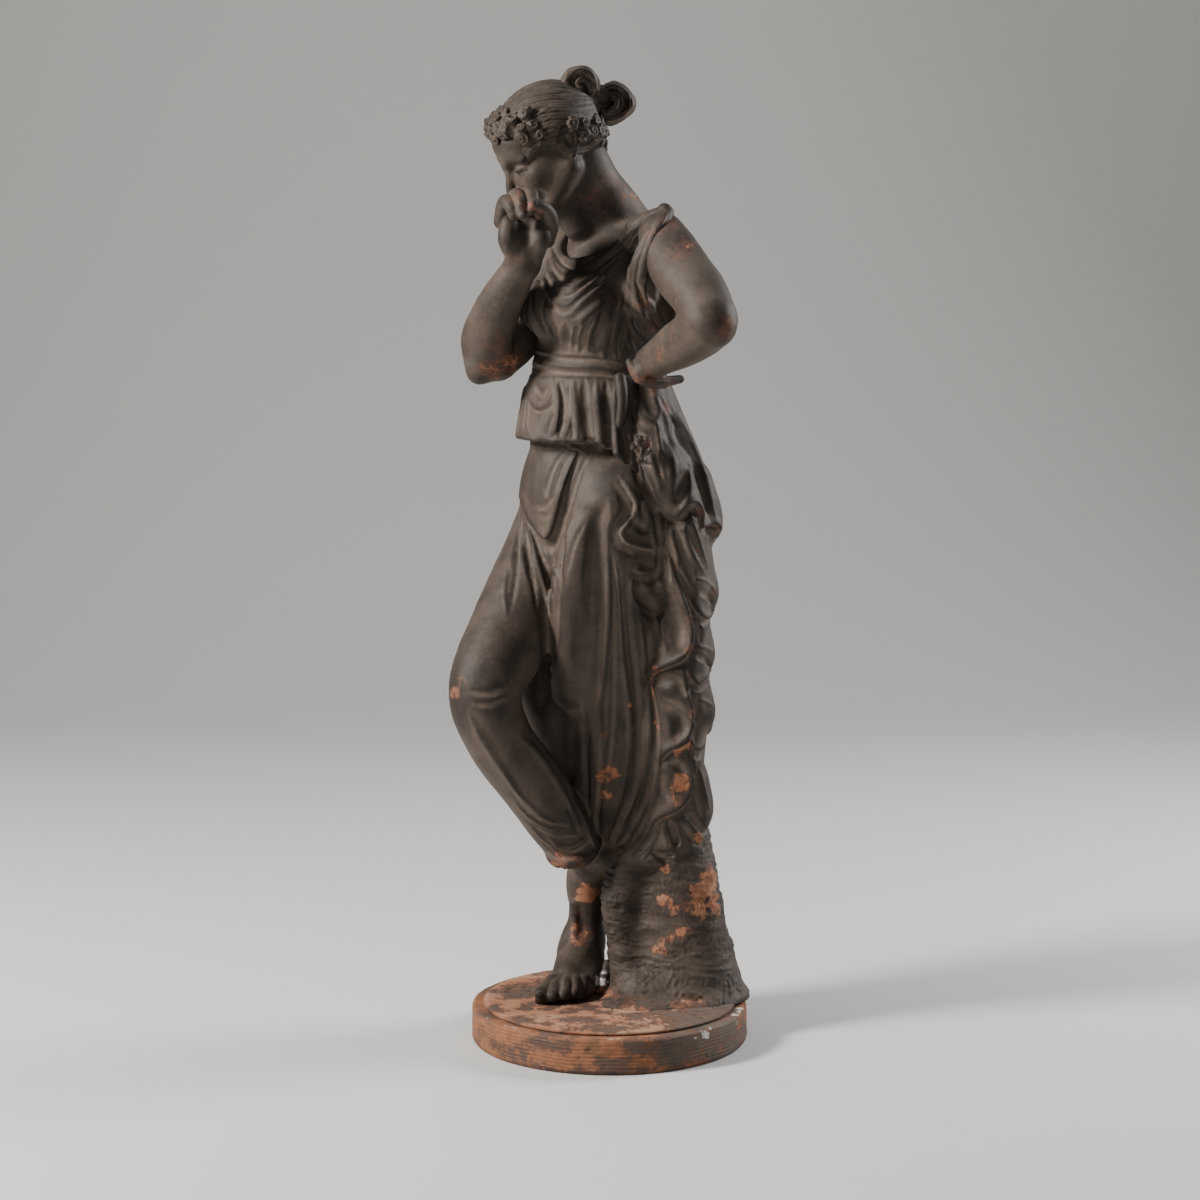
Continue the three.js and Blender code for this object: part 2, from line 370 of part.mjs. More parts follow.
    // first long loop
    folds([
      [groove, 5, 6, 4, [[25.5, 384.2], [28, 372.5], [34.7, 361.6], [44.4, 359.1]]],
      [ridge, 1.6, 3, 0.8, [[24.6, 399.5], [19.8, 390.4], [18.2, 379.8], [21.5, 369.5], [29.8, 361.6], [41.3, 358.9]]],
      [groove, 6, 7, 5, [[39.5, 383.5], [46.8, 365.9], [54.9, 348.1], [56.6, 333.1]]],
      [groove, 3, 3.6, 2, [[36.5, 356.1], [39.7, 340.2], [44.6, 325.8]]],
      [lap, 12, 3.6, undefined, [[30.2, 292], [31.8, 302.2], [38.2, 310.4], [49.5, 316.1], [59.2, 320.6], [65.7, 328.8], [68.9, 341.1], [66.3, 357.9], [60.4, 376.3], [53, 394.4], [47.3, 413.9]]],
      [ridge, 1.6, 2.6, 0.7, [[47.3, 410.7], [53, 392.8], [59.5, 374.9], [65.4, 356.6], [67.1, 341.6], [63.9, 330], [57.5, 323.4], [47.8, 318.9], [38.1, 313.6]]],
      [ridge, 1.5, 2.6, 0.7, [[42, 352.2], [45.3, 337.6], [48.6, 327]]],
    ]);
    // second loop
    folds([
      [groove, 4.4, 5.6, 3, [[36.7, 300.7], [47.1, 304.1], [56.9, 301.2], [62.7, 291]]],
      [groove, 5.6, 7, 4, [[43.2, 286.7], [53, 279.1], [59.6, 267.3], [54.7, 255.5]]],
      [lap, 11, 3.6, undefined, [[41.8, 227.5], [43.4, 237], [49.9, 244.3], [59.7, 247.8], [67.2, 255.1], [70.4, 269.2], [67.7, 283.9], [63.5, 300.9], [61.7, 314.5]]],
      [ridge, 1.6, 2.4, 0.7, [[63.5, 301], [66.8, 284.4], [68.6, 270.6], [65.4, 258.8], [58, 251.5], [48.2, 247.1]]],
      [ridge, 1.4, 2.4, 0.7, [[41.6, 286.3], [49.8, 283.3], [58.8, 277.8], [66.2, 271.4]]],
    ]);
    // third loop
    folds([
      [groove, 3.4, 5, 2, [[48.3, 236.4], [55.7, 233.5], [63.2, 224.7]]],
      [groove, 4, 5.6, 3, [[43.5, 224.2], [43.5, 212.5], [48.4, 202.7]]],
      [lap, 11, 3.4, undefined, [[33.8, 173.7], [39.5, 183.7], [48.5, 189.8], [58.4, 195.1], [66.7, 206.4], [70.8, 227.1], [69.8, 248.6], [68.9, 257]]],
      [groove, 3, 4.6, 2, [[33.7, 206.1], [27.1, 192.3], [17.2, 176.7]]],
    ]);
    // last loop, at the lower hem
    folds([
      [groove, 3, 4, 1.6, [[38.8, 154.4], [50.5, 148.8], [66.4, 142.4], [77.5, 153]]],
      [lap, 10, 3.4, undefined, [[47.2, 149.5], [62.2, 151.6], [74.1, 155.4], [79.2, 162.8], [72.9, 176.2], [62.6, 189.5]]],
      [hole, 4, 1.2, undefined, [[50.2, 183.7], [53.6, 173.2], [57, 162.6]]],
      [groove, 2.4, 3.2, 1.4, [[61.9, 180.1], [67.9, 170.6], [73, 162.2]]],
      [ridge, 1.4, 3, 0.6, [[45.3, 184.8], [46.2, 172.8], [48.7, 161]]],
      [hole, 2.8, 0.8, 1.2, [[35.5, 157.5], [43.7, 154.3], [53.7, 154.4]]],
      [ridge, 2, 3, 0.9, [[28.8, 149.2], [38.8, 151.1], [47.2, 145], [48.4, 133.7]]],
    ]);
    // edges and dents of the outer lobes
    folds([
      [groove, 2.4, 3.4, 1.2, [[68.8, 360.9], [75.5, 352.1], [84.7, 350.9]]],
      [lap, 8, 2.8, undefined, [[65.4, 372.7], [72.1, 360.8], [80.9, 353.9], [87.7, 364.7]]],
      [groove, 2.6, 3.4, 1.4, [[73.6, 377.3], [80.6, 372.8], [84.2, 365.4]]],
      [ridge, 1.6, 2.6, 0.7, [[65.2, 387.7], [75.2, 387.1], [83.2, 380.5], [88.4, 373.2]]],
      [groove, 2.2, 3.2, 1.2, [[64.3, 304.2], [72.7, 295.3], [82.3, 299.6]]],
      [lap, 8, 2.8, undefined, [[64.2, 311.1], [71.8, 300.4], [79.5, 304.9], [85.5, 316.4]]],
      [ridge, 1.5, 2.4, 0.7, [[68.2, 332.5], [77.5, 330], [86.3, 323.9]]],
      [groove, 2.2, 2.8, 1.2, [[69.9, 324.2], [78.4, 319.7], [82.9, 312]]],
      [groove, 2.2, 3.2, 1.2, [[66.4, 245], [74.2, 236.3], [82.9, 244.7]]],
      [lap, 8, 2.6, undefined, [[66.4, 251.5], [73.3, 242.6], [80.3, 249.2], [86, 263.7]]],
      [ridge, 1.5, 2.4, 0.7, [[72.8, 286.7], [79.6, 284], [85.7, 278.8]]],
      [groove, 1.8, 2, 1.2, [[71.4, 353.9], [73.9, 343.9], [74.8, 333.8]]],
      [groove, 2.2, 3, 1.2, [[72.7, 291.8], [70.3, 268.9], [66.4, 249.8]]],
      [ridge, 1.8, 2.6, 1, [[73.4, 229.6], [78.6, 212.3], [82.9, 190]]],
      [groove, 2.2, 3, 1.2, [[69.8, 227.8], [74.3, 206.3], [77, 185.7]]],
    ]);
    // apron of cloth over the belly
    folds([
      [lap, 11, 3.6, undefined, [[-75.2, 450.9], [-68, 436.1], [-60.4, 425.4], [-52.9, 418.6], [-47.8, 422.4], [-42.8, 437.8], [-37.8, 456.8], [-31.3, 476.2], [-24, 493.1]]],
      [groove, 3.4, 5, 2.4, [[-71.6, 436.9], [-63.9, 424.7], [-54.6, 412.3], [-47.1, 412.2], [-40.4, 425.4], [-34.6, 445.5], [-28, 465.1], [-19.9, 484.4]]],
      [groove, 3, 3, 2, [[-35.4, 490.4], [-43.6, 480.5], [-49.3, 467.5], [-52.6, 454.4]]],
      [ridge, 2.6, 2, 1.6, [[-30.5, 493.8], [-38.7, 482.3], [-44.4, 466.2], [-48.5, 451.4]]],
      [groove, 2.2, 1.6, 1.4, [[-61.9, 444.6], [-56, 444.3], [-50.1, 448.1], [-44.3, 455]]],
      [groove, 1.8, 1.2, 1.2, [[-58.5, 438.3], [-52.7, 436.3], [-46.8, 440.2]]],
    ]);
    // folds fanning from the hip of the bent leg
    folds([
      [ridge, 1.6, 2.6, 0.8, [[-73.4, 443.2], [-76, 423.1], [-79.7, 406.2], [-80.9, 391.2]]],
      [groove, 2, 3.6, 1, [[-72.6, 431.6], [-74.7, 409.5], [-75.9, 391.4], [-80.2, 362.6]]],
      [ridge, 1.6, 3, 0.8, [[-73.4, 443.2], [-73.3, 419.4], [-71.1, 400.6], [-66.7, 382.4]]],
      [groove, 2, 3.8, 1, [[-69, 425.6], [-67.1, 406.8], [-62.6, 385.4], [-59.2, 360.4]]],
      [ridge, 1.6, 2.8, 0.8, [[-71.3, 441], [-64.7, 419.6], [-59.6, 400.8], [-52.8, 378.8], [-50.2, 364.9]]],
      [groove, 2, 3.8, 1, [[-63.9, 424.4], [-56.3, 405.6], [-49.6, 384.9], [-46, 366.1]]],
      [ridge, 2.2, 2.6, 1, [[-51.3, 412.3], [-47.2, 399.5], [-43.5, 387.7], [-43.5, 373]]],
      [groove, 4.4, 6.4, 3.4, [[-36.3, 430.4], [-40.2, 411.9], [-43.4, 387.9], [-46.1, 346.1], [-49.5, 298.3]]],
      [ridge, 1.8, 2.6, 1, [[-28.8, 443], [-35.3, 423.7], [-39.4, 403.6], [-41.9, 380.9], [-44.4, 355.7]]],
      [groove, 5, 4, 5, [[-2.9, 453.6], [-9.4, 429.2], [-12.6, 396.7], [-14.3, 355.1]]],
      [groove, 1.6, 1.2, 1.2, [[-19, 437.2], [-29.5, 414.7], [-35.2, 388.5]]],
      [ridge, 1.6, 1.8, 1, [[-83.5, 394], [-85.4, 376.1], [-83.3, 356.6]]],
      [groove, 5, 4, 4, [[-52.7, 369.5], [-50.3, 336.8], [-52.8, 298.3], [-57.8, 273.1]]],
    ]);
    // tight cloth behind the bent knee and down the shin
    folds([
      [groove, 2.4, 1.8, 2, [[-114.1, 299.6], [-99.5, 298.5], [-85.2, 301]]],
      [groove, 2.2, 1.4, 2, [[-110.8, 290.2], [-96.3, 288.8], [-82, 292.6]]],
      [ridge, 3.4, 2.6, 2.4, [[-72.7, 262.6], [-56.8, 243.3], [-40.6, 216.8], [-29.2, 193.6]]],
      [ridge, 3.4, 2, 2.4, [[-112.5, 283.5], [-100, 256.6], [-82.6, 226.9], [-66.7, 201.7]]],
      [ridge, 2, 2.2, 1.2, [[-90.4, 241.3], [-74.6, 214.6], [-55.3, 193.6], [-40.7, 183.2]]],
      [groove, 1.8, 2.4, 1, [[-81.3, 213.9], [-66.8, 196], [-50.5, 186.3], [-32.5, 180.8]]],
      [ridge, 1.6, 2, 0.9, [[-76.6, 202.8], [-62, 188.8], [-44, 179.8]]],
      [groove, 1.8, 2.6, 1, [[-70.3, 189.7], [-55.6, 177.7], [-39.1, 172.4], [-24.3, 172.8]]],
      [ridge, 1.8, 2, 1, [[-63.8, 180.6], [-50.7, 168.4], [-35.9, 163.1]]],
      [groove, 1.8, 2, 1, [[-57.4, 169.4], [-44.2, 158], [-31, 157.3], [-19.4, 163.3]]],
      [ridge, 2.4, 2.6, 1.4, [[-28.4, 202.7], [-21, 186.7], [-16.1, 172.6], [-11.1, 159.4]]],
      [groove, 2, 2.4, 1.2, [[-35.7, 204.9], [-29.2, 187.1], [-23.5, 170.9]]],
    ]);
    // worn rolled end of the shin's cloth
    limb([[-49.5, 8, 158.5, 5], [-46.1, 0, 152.6, 6], [-37.7, -5, 148.6, 6.4], [-26.9, -6, 150.5, 6.8], [-16.9, 0, 155.1, 6.4], [-11.9, 10, 162.3, 6]], 2);
    folds([
      [groove, 2.2, 3, 1, [[-50.7, 168.6], [-40.9, 160.2], [-29.3, 158.8], [-17.7, 164.7], [-12.8, 169.7]]],
      [ridge, 1.8, 2.6, 0.9, [[-53.1, 175.7], [-42.4, 167.8], [-30.9, 166.5], [-20.2, 172]]],
      [hole, 3.4, 0.6, 1, [[-44.3, 144.3], [-36, 142.1], [-26, 144.4]]],
    ]);
    // pleats of the standing leg, swept toward the other foot
    folds([
      [groove, 2.6, 3, 2, [[-7.8, 404.6], [-6.1, 363.4], [-8.6, 312.3], [-11.9, 268.9]]],
      [ridge, 2.4, 3, 1.4, [[-1.3, 417], [0.3, 371.8], [-2.9, 321], [-6.1, 282], [-4.5, 251.7]]],
      [groove, 2.6, 5, 1.4, [[1.9, 408.1], [4.4, 363.5], [4.5, 312.3], [3, 260.3], [-1.9, 207.8]]],
      [ridge, 2, 4.2, 1, [[5.2, 404.8], [8.5, 363.4], [11.9, 320.7], [16.2, 285.6], [18.7, 251.2], [16.3, 217.2], [8.9, 189.5], [-1.9, 160.8]]],
      [groove, 3, 6, 1.6, [[13.3, 391.6], [18.4, 337.5], [24.4, 285.3], [25.4, 243], [21.3, 209], [12.2, 181.4], [1.4, 156.4]]],
      [ridge, 2, 4, 1, [[24.8, 362.5], [29.2, 323.6], [33.5, 285.4], [33.6, 247.6], [28.7, 215.2], [18.9, 190], [2.3, 159.6]]],
      [groove, 3, 5.6, 1.6, [[33.4, 302.2], [38.4, 269.1], [38.5, 235.7], [32.1, 204.1], [20.5, 178.4], [7.3, 155.6]]],
      [ridge, 2, 3.8, 1, [[41.8, 225.7], [38.6, 201.6], [30.5, 178.9], [18.9, 161.5], [5.6, 149.2]]],
      [groove, 2.4, 3.6, 1.2, [[42.1, 181], [32.2, 165.2], [20.5, 151.9]]],
      [ridge, 1.8, 2.8, 1, [[45.3, 183.2], [35.5, 162.1], [27.2, 149.1]]],
      [groove, 2.6, 4.4, 1.6, [[-7.8, 256], [-7.8, 216.7], [-10.3, 181.2], [-9.4, 160]]],
      [ridge, 2.8, 2.6, 1.8, [[-15.2, 260.1], [-14.4, 216.5], [-14.4, 181.4]]],
      [groove, 3, 2.8, 2, [[-22.6, 286], [-20.2, 242.4], [-17.8, 198.8]]],
    ]);
    // skirt at the back: long flutes of uneven breadth
    for (const [a, s] of [[92, 1], [109, 0.75], [123, 1.1], [143, 0.85], [158, 1.25], [179, 0.8], [194, 1.15], [213, 0.9]]) {
      ridge(around(34, 44, [[a - 7 * s, 404], [a + 5, 330], [a + 1, 240], [a - 5 * s, 133]]), 4.6 * s, 5 * s, 2.4);
      groove(around(34, 44, [[a + 4, 384], [a + 12 * s, 320], [a + 9, 230], [a + 4, 129]]), 3.4 * s, 4 * s, 2);
    }
    // folds behind the bent leg
    for (const [a, s] of [[0, 1], [12, 0.8], [26, 1.1]]) {
      ridge(around(-30, 60, [[200 + a, 410], [204 + a, 340], [212 + a, 270], [220 + a, 220]]), 4 * s, 3 * s, 2.6);
      groove(around(-30, 60, [[206 + a, 400], [210 + a, 330], [219 + a, 262]]), 3 * s, 2.6 * s, 2);
    }
  });
  // ==== waist, chest, bodice and its short overfold
  layer(() => {
    // waist and chest
    stack(BODICE, 6);
    // breasts, shoulder blades and shoulders
    ell([-51, 10, 606.7], [24,21,23], 12, axes(55));
    ell([-22.2, -24, 606.9], [27,22,27], 18, axes(50));
    ell([34,62,622], [24,16,30], 14, axes(55));
    ell([-12,88,622], [22,14,28], 14, axes(55));
    ell([47.6, 6, 601.9], [15,16,28], 8, axes(0));
    ell([-39.5, 70, 657.9], [22,20,18], 10, axes(55));
    limb(STRAP_OVER_ARM, 8);
    limb([[45.6, -34, 682.2, 5], [39.8, -43, 671.7, 7.5], [32.7, -45, 655.9, 9.5], [27.3, -38, 637.1, 12], [25.1, -26, 614.9, 14]], 6);
    ell([43.2, -33, 686.1], [5,4,4], 1.5, axes(40));
    limb([[36,42,636,16],[46,14,648,13],[50,-2,652,10]], 8);
    // the opening at the neck
    ell([-12,14,688], [39,50,45], 1.2, axes(56), 1);
    // peplum, and the bloused cloth round the waist
    stack(OVERFOLD, 1.5, 3, [-8, 0.85, 62, 499]);
    limb([[-50.9, 30, 488, 4],[-67.4, 28, 497.2, 4]], 3);
    // the hollow under the hem
    ell([-12,36,468], [58,58,18], 3, axes(50), 1);
    // peplum: flutes, puffs and the hollows between them
    folds([
      [ridge, 2.4, 2.6, 1.4, [[-70.8, 545.6], [-71.4, 531.1], [-74.9, 514.3], [-77.4, 500.3]]],
      [groove, 2.4, 3, 1.2, [[-67.9, 537.9], [-69.4, 521.8], [-71.7, 504]]],
      [ridge, 1.8, 1.6, 1, [[-67, 538], [-66.7, 523.7], [-67.5, 511.6], [-64.8, 503.1]]],
      [ridge, 2.4, 3, 1.2, [[-45.9, 550.4], [-40.9, 536.9], [-40.9, 523.4], [-43.3, 510.5], [-48.2, 503.2]]],
      [groove, 3, 6, 1.6, [[-40.2, 548.9], [-37.6, 531.5], [-38.4, 515.5], [-40.9, 502.7]]],
      [ridge, 2.2, 2.6, 1.2, [[-66.9, 534.9], [-62.5, 528.8], [-56.6, 526], [-50, 531.1], [-45.9, 542.4]]],
      [groove, 3.6, 3.6, 1.6, [[-61.8, 543.3], [-55.8, 535.6], [-50, 543.8]]],
      [groove, 1.8, 1.8, 0.8, [[-63.3, 524], [-56.5, 522.8], [-48.3, 526.3], [-44.2, 532.9]]],
      [ridge, 1.8, 1.8, 1, [[-45.8, 524.8], [-50.7, 513.5], [-52.3, 503.8]]],
      [groove, 1.6, 1, 1, [[-52.4, 522.9], [-56.5, 513.2], [-59.8, 505]]],
      [ridge, 2.4, 3, 1.2, [[-28.8, 549.1], [-27.9, 533.2], [-26.3, 517.3], [-25.5, 500.6]]],
      [groove, 2.4, 2.2, 1.2, [[-32.8, 545.9], [-32.8, 529.2], [-34.4, 513.2]]],
      [ridge, 1.8, 2, 1, [[-30.3, 523.6], [-33.6, 510.8], [-37.6, 501.2]]],
      [groove, 1.2, 1.6, 0.6, [[-30.3, 514.1], [-29.5, 506.1], [-31.9, 501.3]]],
      [groove, 3.6, 6.4, 2, [[-20.7, 549.2], [-19, 528.6], [-17.4, 509.4], [-14.2, 489.2]]],
      [ridge, 2.8, 2.6, 1.4, [[-10.2, 549.3], [-9.4, 529.4], [-7.8, 509.5], [-6.1, 487.6]]],
      [groove, 1.8, 1.6, 1, [[-14.2, 546.1], [-13.4, 527], [-11.8, 509.5], [-10.2, 490.9]]],
      [groove, 2.8, 5, 1.6, [[-2.9, 549.3], [-1.3, 527.1], [0.3, 503.1], [2, 481]]],
      [ridge, 2, 3.2, 1, [[5.1, 550.8], [5.1, 533.4], [5.1, 509.4], [8.5, 477.5]]],
      [groove, 3.2, 3.4, 1.4, [[10, 546.1], [9.9, 525.4], [12.4, 501.4], [16.7, 472.4]]],
      [ridge, 1.8, 1.6, 1, [[15.6, 542.8], [15.6, 525.3], [17.2, 509.2]]],
    ]);
    // the hem's edge
    folds([
      [ridge, 1.6, 1.8, 0.7, [[-79, 498.7], [-73.5, 501.4], [-67.4, 500.5], [-59.8, 500.2], [-54, 502.2], [-46.6, 500], [-37.6, 501.2], [-31.3, 495.4], [-24, 493.2], [-15.9, 487.6], [-7.8, 484.3], [-4.5, 489.3], [1.2, 481.8], [10.1, 475], [21.3, 470.8]]],
    ]);
    // bodice: neckline, cowl and the folds between the breasts
    folds([
      [ridge, 1.8, 2.2, 0.9, [[-45.8, 660], [-42.9, 649.8], [-38.7, 641.5], [-31.2, 637.4], [-19.8, 641.3], [-8.6, 649.3], [3, 659.1], [13.9, 667.5], [26.6, 677.7]]],
      [groove, 2, 2.4, 1.2, [[-48.1, 650], [-43.6, 638.3], [-33.5, 631.7], [-20.6, 634.8], [-7.8, 642.9], [3.5, 651.7], [14.7, 660.4]]],
      [ridge, 2, 2.8, 1, [[-50.1, 654.3], [-47, 636.7], [-38.2, 626.9], [-28.5, 628.4], [-15.8, 636.5], [-1.3, 646.1], [13.2, 657.3]]],
      [groove, 2.4, 3.4, 1.4, [[-49.6, 639.3], [-43.2, 622.9], [-36.5, 618.9], [-23.7, 628.4], [-7.8, 640.5]]],
      [ridge, 2, 3.4, 1, [[-52.6, 656], [-53.1, 637.7], [-48.9, 619.7], [-42.1, 603.8]]],
      [ridge, 2, 3.2, 1, [[-42.1, 603.8], [-34.8, 615.8], [-23.7, 628.4], [-9.4, 640.5], [8.3, 654.9]]],
      [groove, 2.2, 3.2, 1.2, [[-38.9, 599.1], [-30, 611], [-17.3, 624.4], [-2.9, 635.7]]],
      [ridge, 2, 2.2, 1.4, [[-37.3, 597.5], [-26.8, 608.7], [-12.5, 621.3], [3.5, 634.1]]],
      [groove, 2.2, 1.8, 1.6, [[-31.7, 596], [-20.5, 607.1], [-7.8, 616.6]]],
      [groove, 1.8, 2, 1, [[-57, 649.6], [-57.5, 632.9], [-52.1, 614.9], [-45.5, 600.6]]],
    ]);
    // fan of small folds from the shoulder clasp
    folds([
      [ridge, 1.3, 1.8, 0.6, [[-2.9, 651.7], [7.1, 662.4], [16.3, 671.4], [25.1, 681.8]]],
      [groove, 1.2, 1.6, 0.6, [[1.1, 651.7], [10, 661.3], [18.7, 670.6]]],
      [ridge, 1.3, 1.8, 0.6, [[2.1, 650.5], [11, 661.3], [19.3, 671.9], [27, 681.7]]],
      [groove, 1.2, 1.6, 0.6, [[6.2, 650.5], [14.1, 661.2], [21.7, 671.1]]],
      [ridge, 1.3, 1.8, 0.6, [[7.2, 649.4], [15.1, 661.2], [22.4, 672.5], [28.9, 681.6]]],
      [groove, 1.2, 1.6, 0.6, [[11.2, 649.4], [18.3, 661.1], [24.8, 671.6]]],
      [ridge, 1.3, 1.8, 0.6, [[12.3, 648.3], [19.3, 661.1], [25.5, 673], [30.9, 681.6]]],
      [groove, 1.2, 1.6, 0.6, [[16.3, 648.3], [22.5, 661.1], [27.8, 672.2]]],
      [ridge, 1.3, 1.8, 0.6, [[17.3, 647.2], [23.5, 661.1], [28.5, 673.5], [32.8, 681.5]]],
      [groove, 1.2, 1.6, 0.6, [[20.9, 646.8], [26.2, 660.6], [30.9, 672.7]]],
      [ridge, 2, 2, 1.2, [[16.4, 643.7], [14.5, 630.8], [17.7, 618.1]]],
    ]);
    // the edge of the armhole, from the side up to the clasp
    folds([
      [lap, 9, 2.8, undefined, [[32.3, 603.8], [29.6, 621.3], [31, 638.6], [35.7, 655.8], [40.4, 668.4], [45.3, 679.5]]],
      [ridge, 1.8, 2.4, 0.9, [[24, 621.3], [26.3, 638.6], [31.7, 657.3], [38.8, 673]]],
      [groove, 1.8, 2.4, 1, [[20.9, 622.9], [23.1, 641.7], [28.6, 658.9], [35.7, 674.7]]],
      [ridge, 1.6, 2.2, 0.9, [[16.1, 622.9], [18.4, 643.4], [24.7, 660.6], [32.9, 676.8]]],
    ]);
    // folds round the far breast, gathered at the girdle
    folds([
      [ridge, 1.8, 2.6, 0.9, [[-56.6, 637.8], [-60.4, 621.3], [-60.3, 605.2], [-51.7, 582.5]]],
      [groove, 1.6, 2.4, 0.8, [[-59.1, 629.4], [-63.6, 614.9], [-62.8, 602], [-55.1, 582.4]]],
      [ridge, 1.8, 2.4, 0.9, [[-62.2, 624.5], [-66.1, 611.7], [-65.4, 598.8], [-57.8, 580.6]]],
      [groove, 1.6, 2.2, 0.8, [[-65.3, 614.9], [-68.6, 605.2], [-68.1, 593.8], [-61.6, 580.2]]],
      [ridge, 1.8, 2.2, 0.9, [[-68.6, 610], [-72.2, 601.9], [-70.7, 590.5], [-64.9, 578.6]]],
      [groove, 1.4, 1.8, 0.8, [[-70.5, 598.7], [-72.4, 590.5], [-67.8, 578.9]]],
      [ridge, 2, 2.4, 1, [[-48.8, 616.5], [-51.3, 600.5], [-45.9, 582.6]]],
      [groove, 1.6, 2.2, 0.8, [[-51.3, 619.7], [-55.4, 603.7], [-49.2, 582.5]]],
      [groove, 2, 2.2, 1, [[-43, 599], [-45.8, 589.2], [-41, 577.8]]],
      [ridge, 2.4, 2.2, 1.4, [[-34.9, 595.9], [-38.4, 584.5], [-38.6, 571.4]]],
      [groove, 1.8, 1.6, 1.2, [[-30.9, 592.8], [-33.5, 581.3], [-33.7, 569.9]]],
    ]);
    // folds under the near breast
    folds([
      [ridge, 2.4, 3, 1.4, [[1.8, 613.4], [-1.4, 595.9], [-4.5, 577.3], [-4.5, 565.3]]],
      [ridge, 2.2, 3.2, 1.2, [[12.2, 614.9], [9.1, 595.8], [5.1, 577.3], [6, 563.6]]],
      [groove, 2, 3.6, 1.2, [[7.5, 610.2], [4.3, 595.8], [1.1, 577.3]]],
      [groove, 2.4, 4, 1.4, [[17, 608.6], [14, 590.9], [10, 571.6]]],
      [ridge, 2.4, 2.2, 1.4, [[-7.8, 603.9], [-14.1, 588], [-17.4, 571.7]]],
      [groove, 2.2, 2.2, 1.2, [[-3, 605.5], [-8.6, 588], [-11, 570.1]]],
      [groove, 2.2, 2, 1.4, [[-14.1, 600.8], [-20.5, 584.8], [-23.1, 570]]],
      [groove, 2, 1.6, 1.4, [[-23.7, 597.6], [-27, 584.8], [-28.8, 571.6]]],
    ]);
    // folds from the armpit round the side
    folds([
      [ridge, 1.8, 3, 1, [[18.4, 632.3], [22.5, 613.4], [31, 597.3], [40.9, 585.9]]],
      [groove, 1.6, 2.6, 0.8, [[21.6, 629.2], [26.5, 611.8], [35.9, 594.8]]],
      [ridge, 1.8, 2.6, 0.9, [[25.5, 629.2], [30.5, 613.4], [39.2, 599.6], [45.7, 591.6]]],
      [groove, 1.6, 2.2, 0.8, [[30.4, 626], [35.4, 613.4], [42.4, 602.8]]],
      [groove, 2, 3, 1, [[16.1, 619.7], [19.5, 602.2], [27.8, 586], [32.8, 577]]],
      [ridge, 1.8, 2.6, 1, [[14.6, 608.6], [19.6, 592.5], [27.9, 578.7]]],
      [groove, 1.8, 2.4, 0.9, [[14.8, 598.9], [18, 586.1], [24.6, 573.1]]],
      [ridge, 1.8, 2.4, 1, [[13.2, 595.7], [15.6, 582.9], [20.5, 569.9]]],
    ]);
    // girdle: two cords and the puffs over them
    folds([
      [groove, 2.4, 3, 1.2, [[-67.4, 571.2], [-52.7, 567.8], [-32, 565.9], [-7.8, 565.3], [13.2, 560.3]]],
      [ridge, 1.8, 2.6, 0.8, [[-66.5, 572.8], [-52.7, 570.2], [-32, 568.3], [-7.8, 567.6], [11.6, 563.6]]],
      [ridge, 1.8, 2.8, 0.8, [[-67.4, 563.8], [-52.7, 561.3], [-32, 559.4], [-7.8, 558.8], [13.2, 553.9]]],
      [groove, 1.8, 2.2, 1, [[-67.4, 558.8], [-52.6, 556.5], [-32, 554.6], [-7.8, 554], [11.6, 549.2]]],
    ]);
    // peplum flutes round the back
    for (const [a, s] of [[98, 1], [121, 0.8], [146, 1.15], [166, 0.8], [190, 1], [214, 1.15], [233, 0.75], [254, 1]]) {
      ridge(around(-6, 35, [[a, 550], [a + 3, 525], [a - 2, 462 + (a > 165 ? 38 : 0)]]), 3.4 * s, 3.6 * s, 1.8);
      groove(around(-6, 35, [[a + 9, 544], [a + 12, 520], [a + 9, 454 + (a > 165 ? 42 : 0)]]), 3 * s, 3.6 * s, 1.6);
    }
    // back of the bodice: soft folds from the shoulders to the girdle
    for (const [a, s] of [[108, 1], [130, 1.1], [156, 0.9], [180, 1.15], [204, 1]]) {
      ridge(around(0, 34, [[a + 8, 640], [a + 1, 605], [a, 560]]), 3 * s, 2.8 * s, 2);
      groove(around(0, 34, [[a + 15, 632], [a + 11, 600], [a + 9, 560]]), 2.6 * s, 2.6 * s, 1.8);
    }
    ridge(around(-6, 34, [[84, 557], [120, 555], [160, 554], [200, 555], [240, 557], [284, 562]]), 1.8, 2.4, 0.8);
    ridge(around(-6, 34, [[84, 548], [120, 546], [160, 545], [200, 546], [240, 548], [284, 553]]), 1.8, 2.4, 0.8);
  });
  // ==== face, neck, arms and hands
  layer(() => {
    // neck and upper chest
    limb(NECK, 8);
    stack(UPPER_CHEST, 7);
    limb(COLLARBONES, 8);
    limb([[-33.6, -2, 725.4, 6], [-23.9, 4, 706.5, 6], [-15.9, 12, 687.6, 5]], 12);
    ell([-26.4, 4, 668], [5,5,5], 6, axes(55), 1);
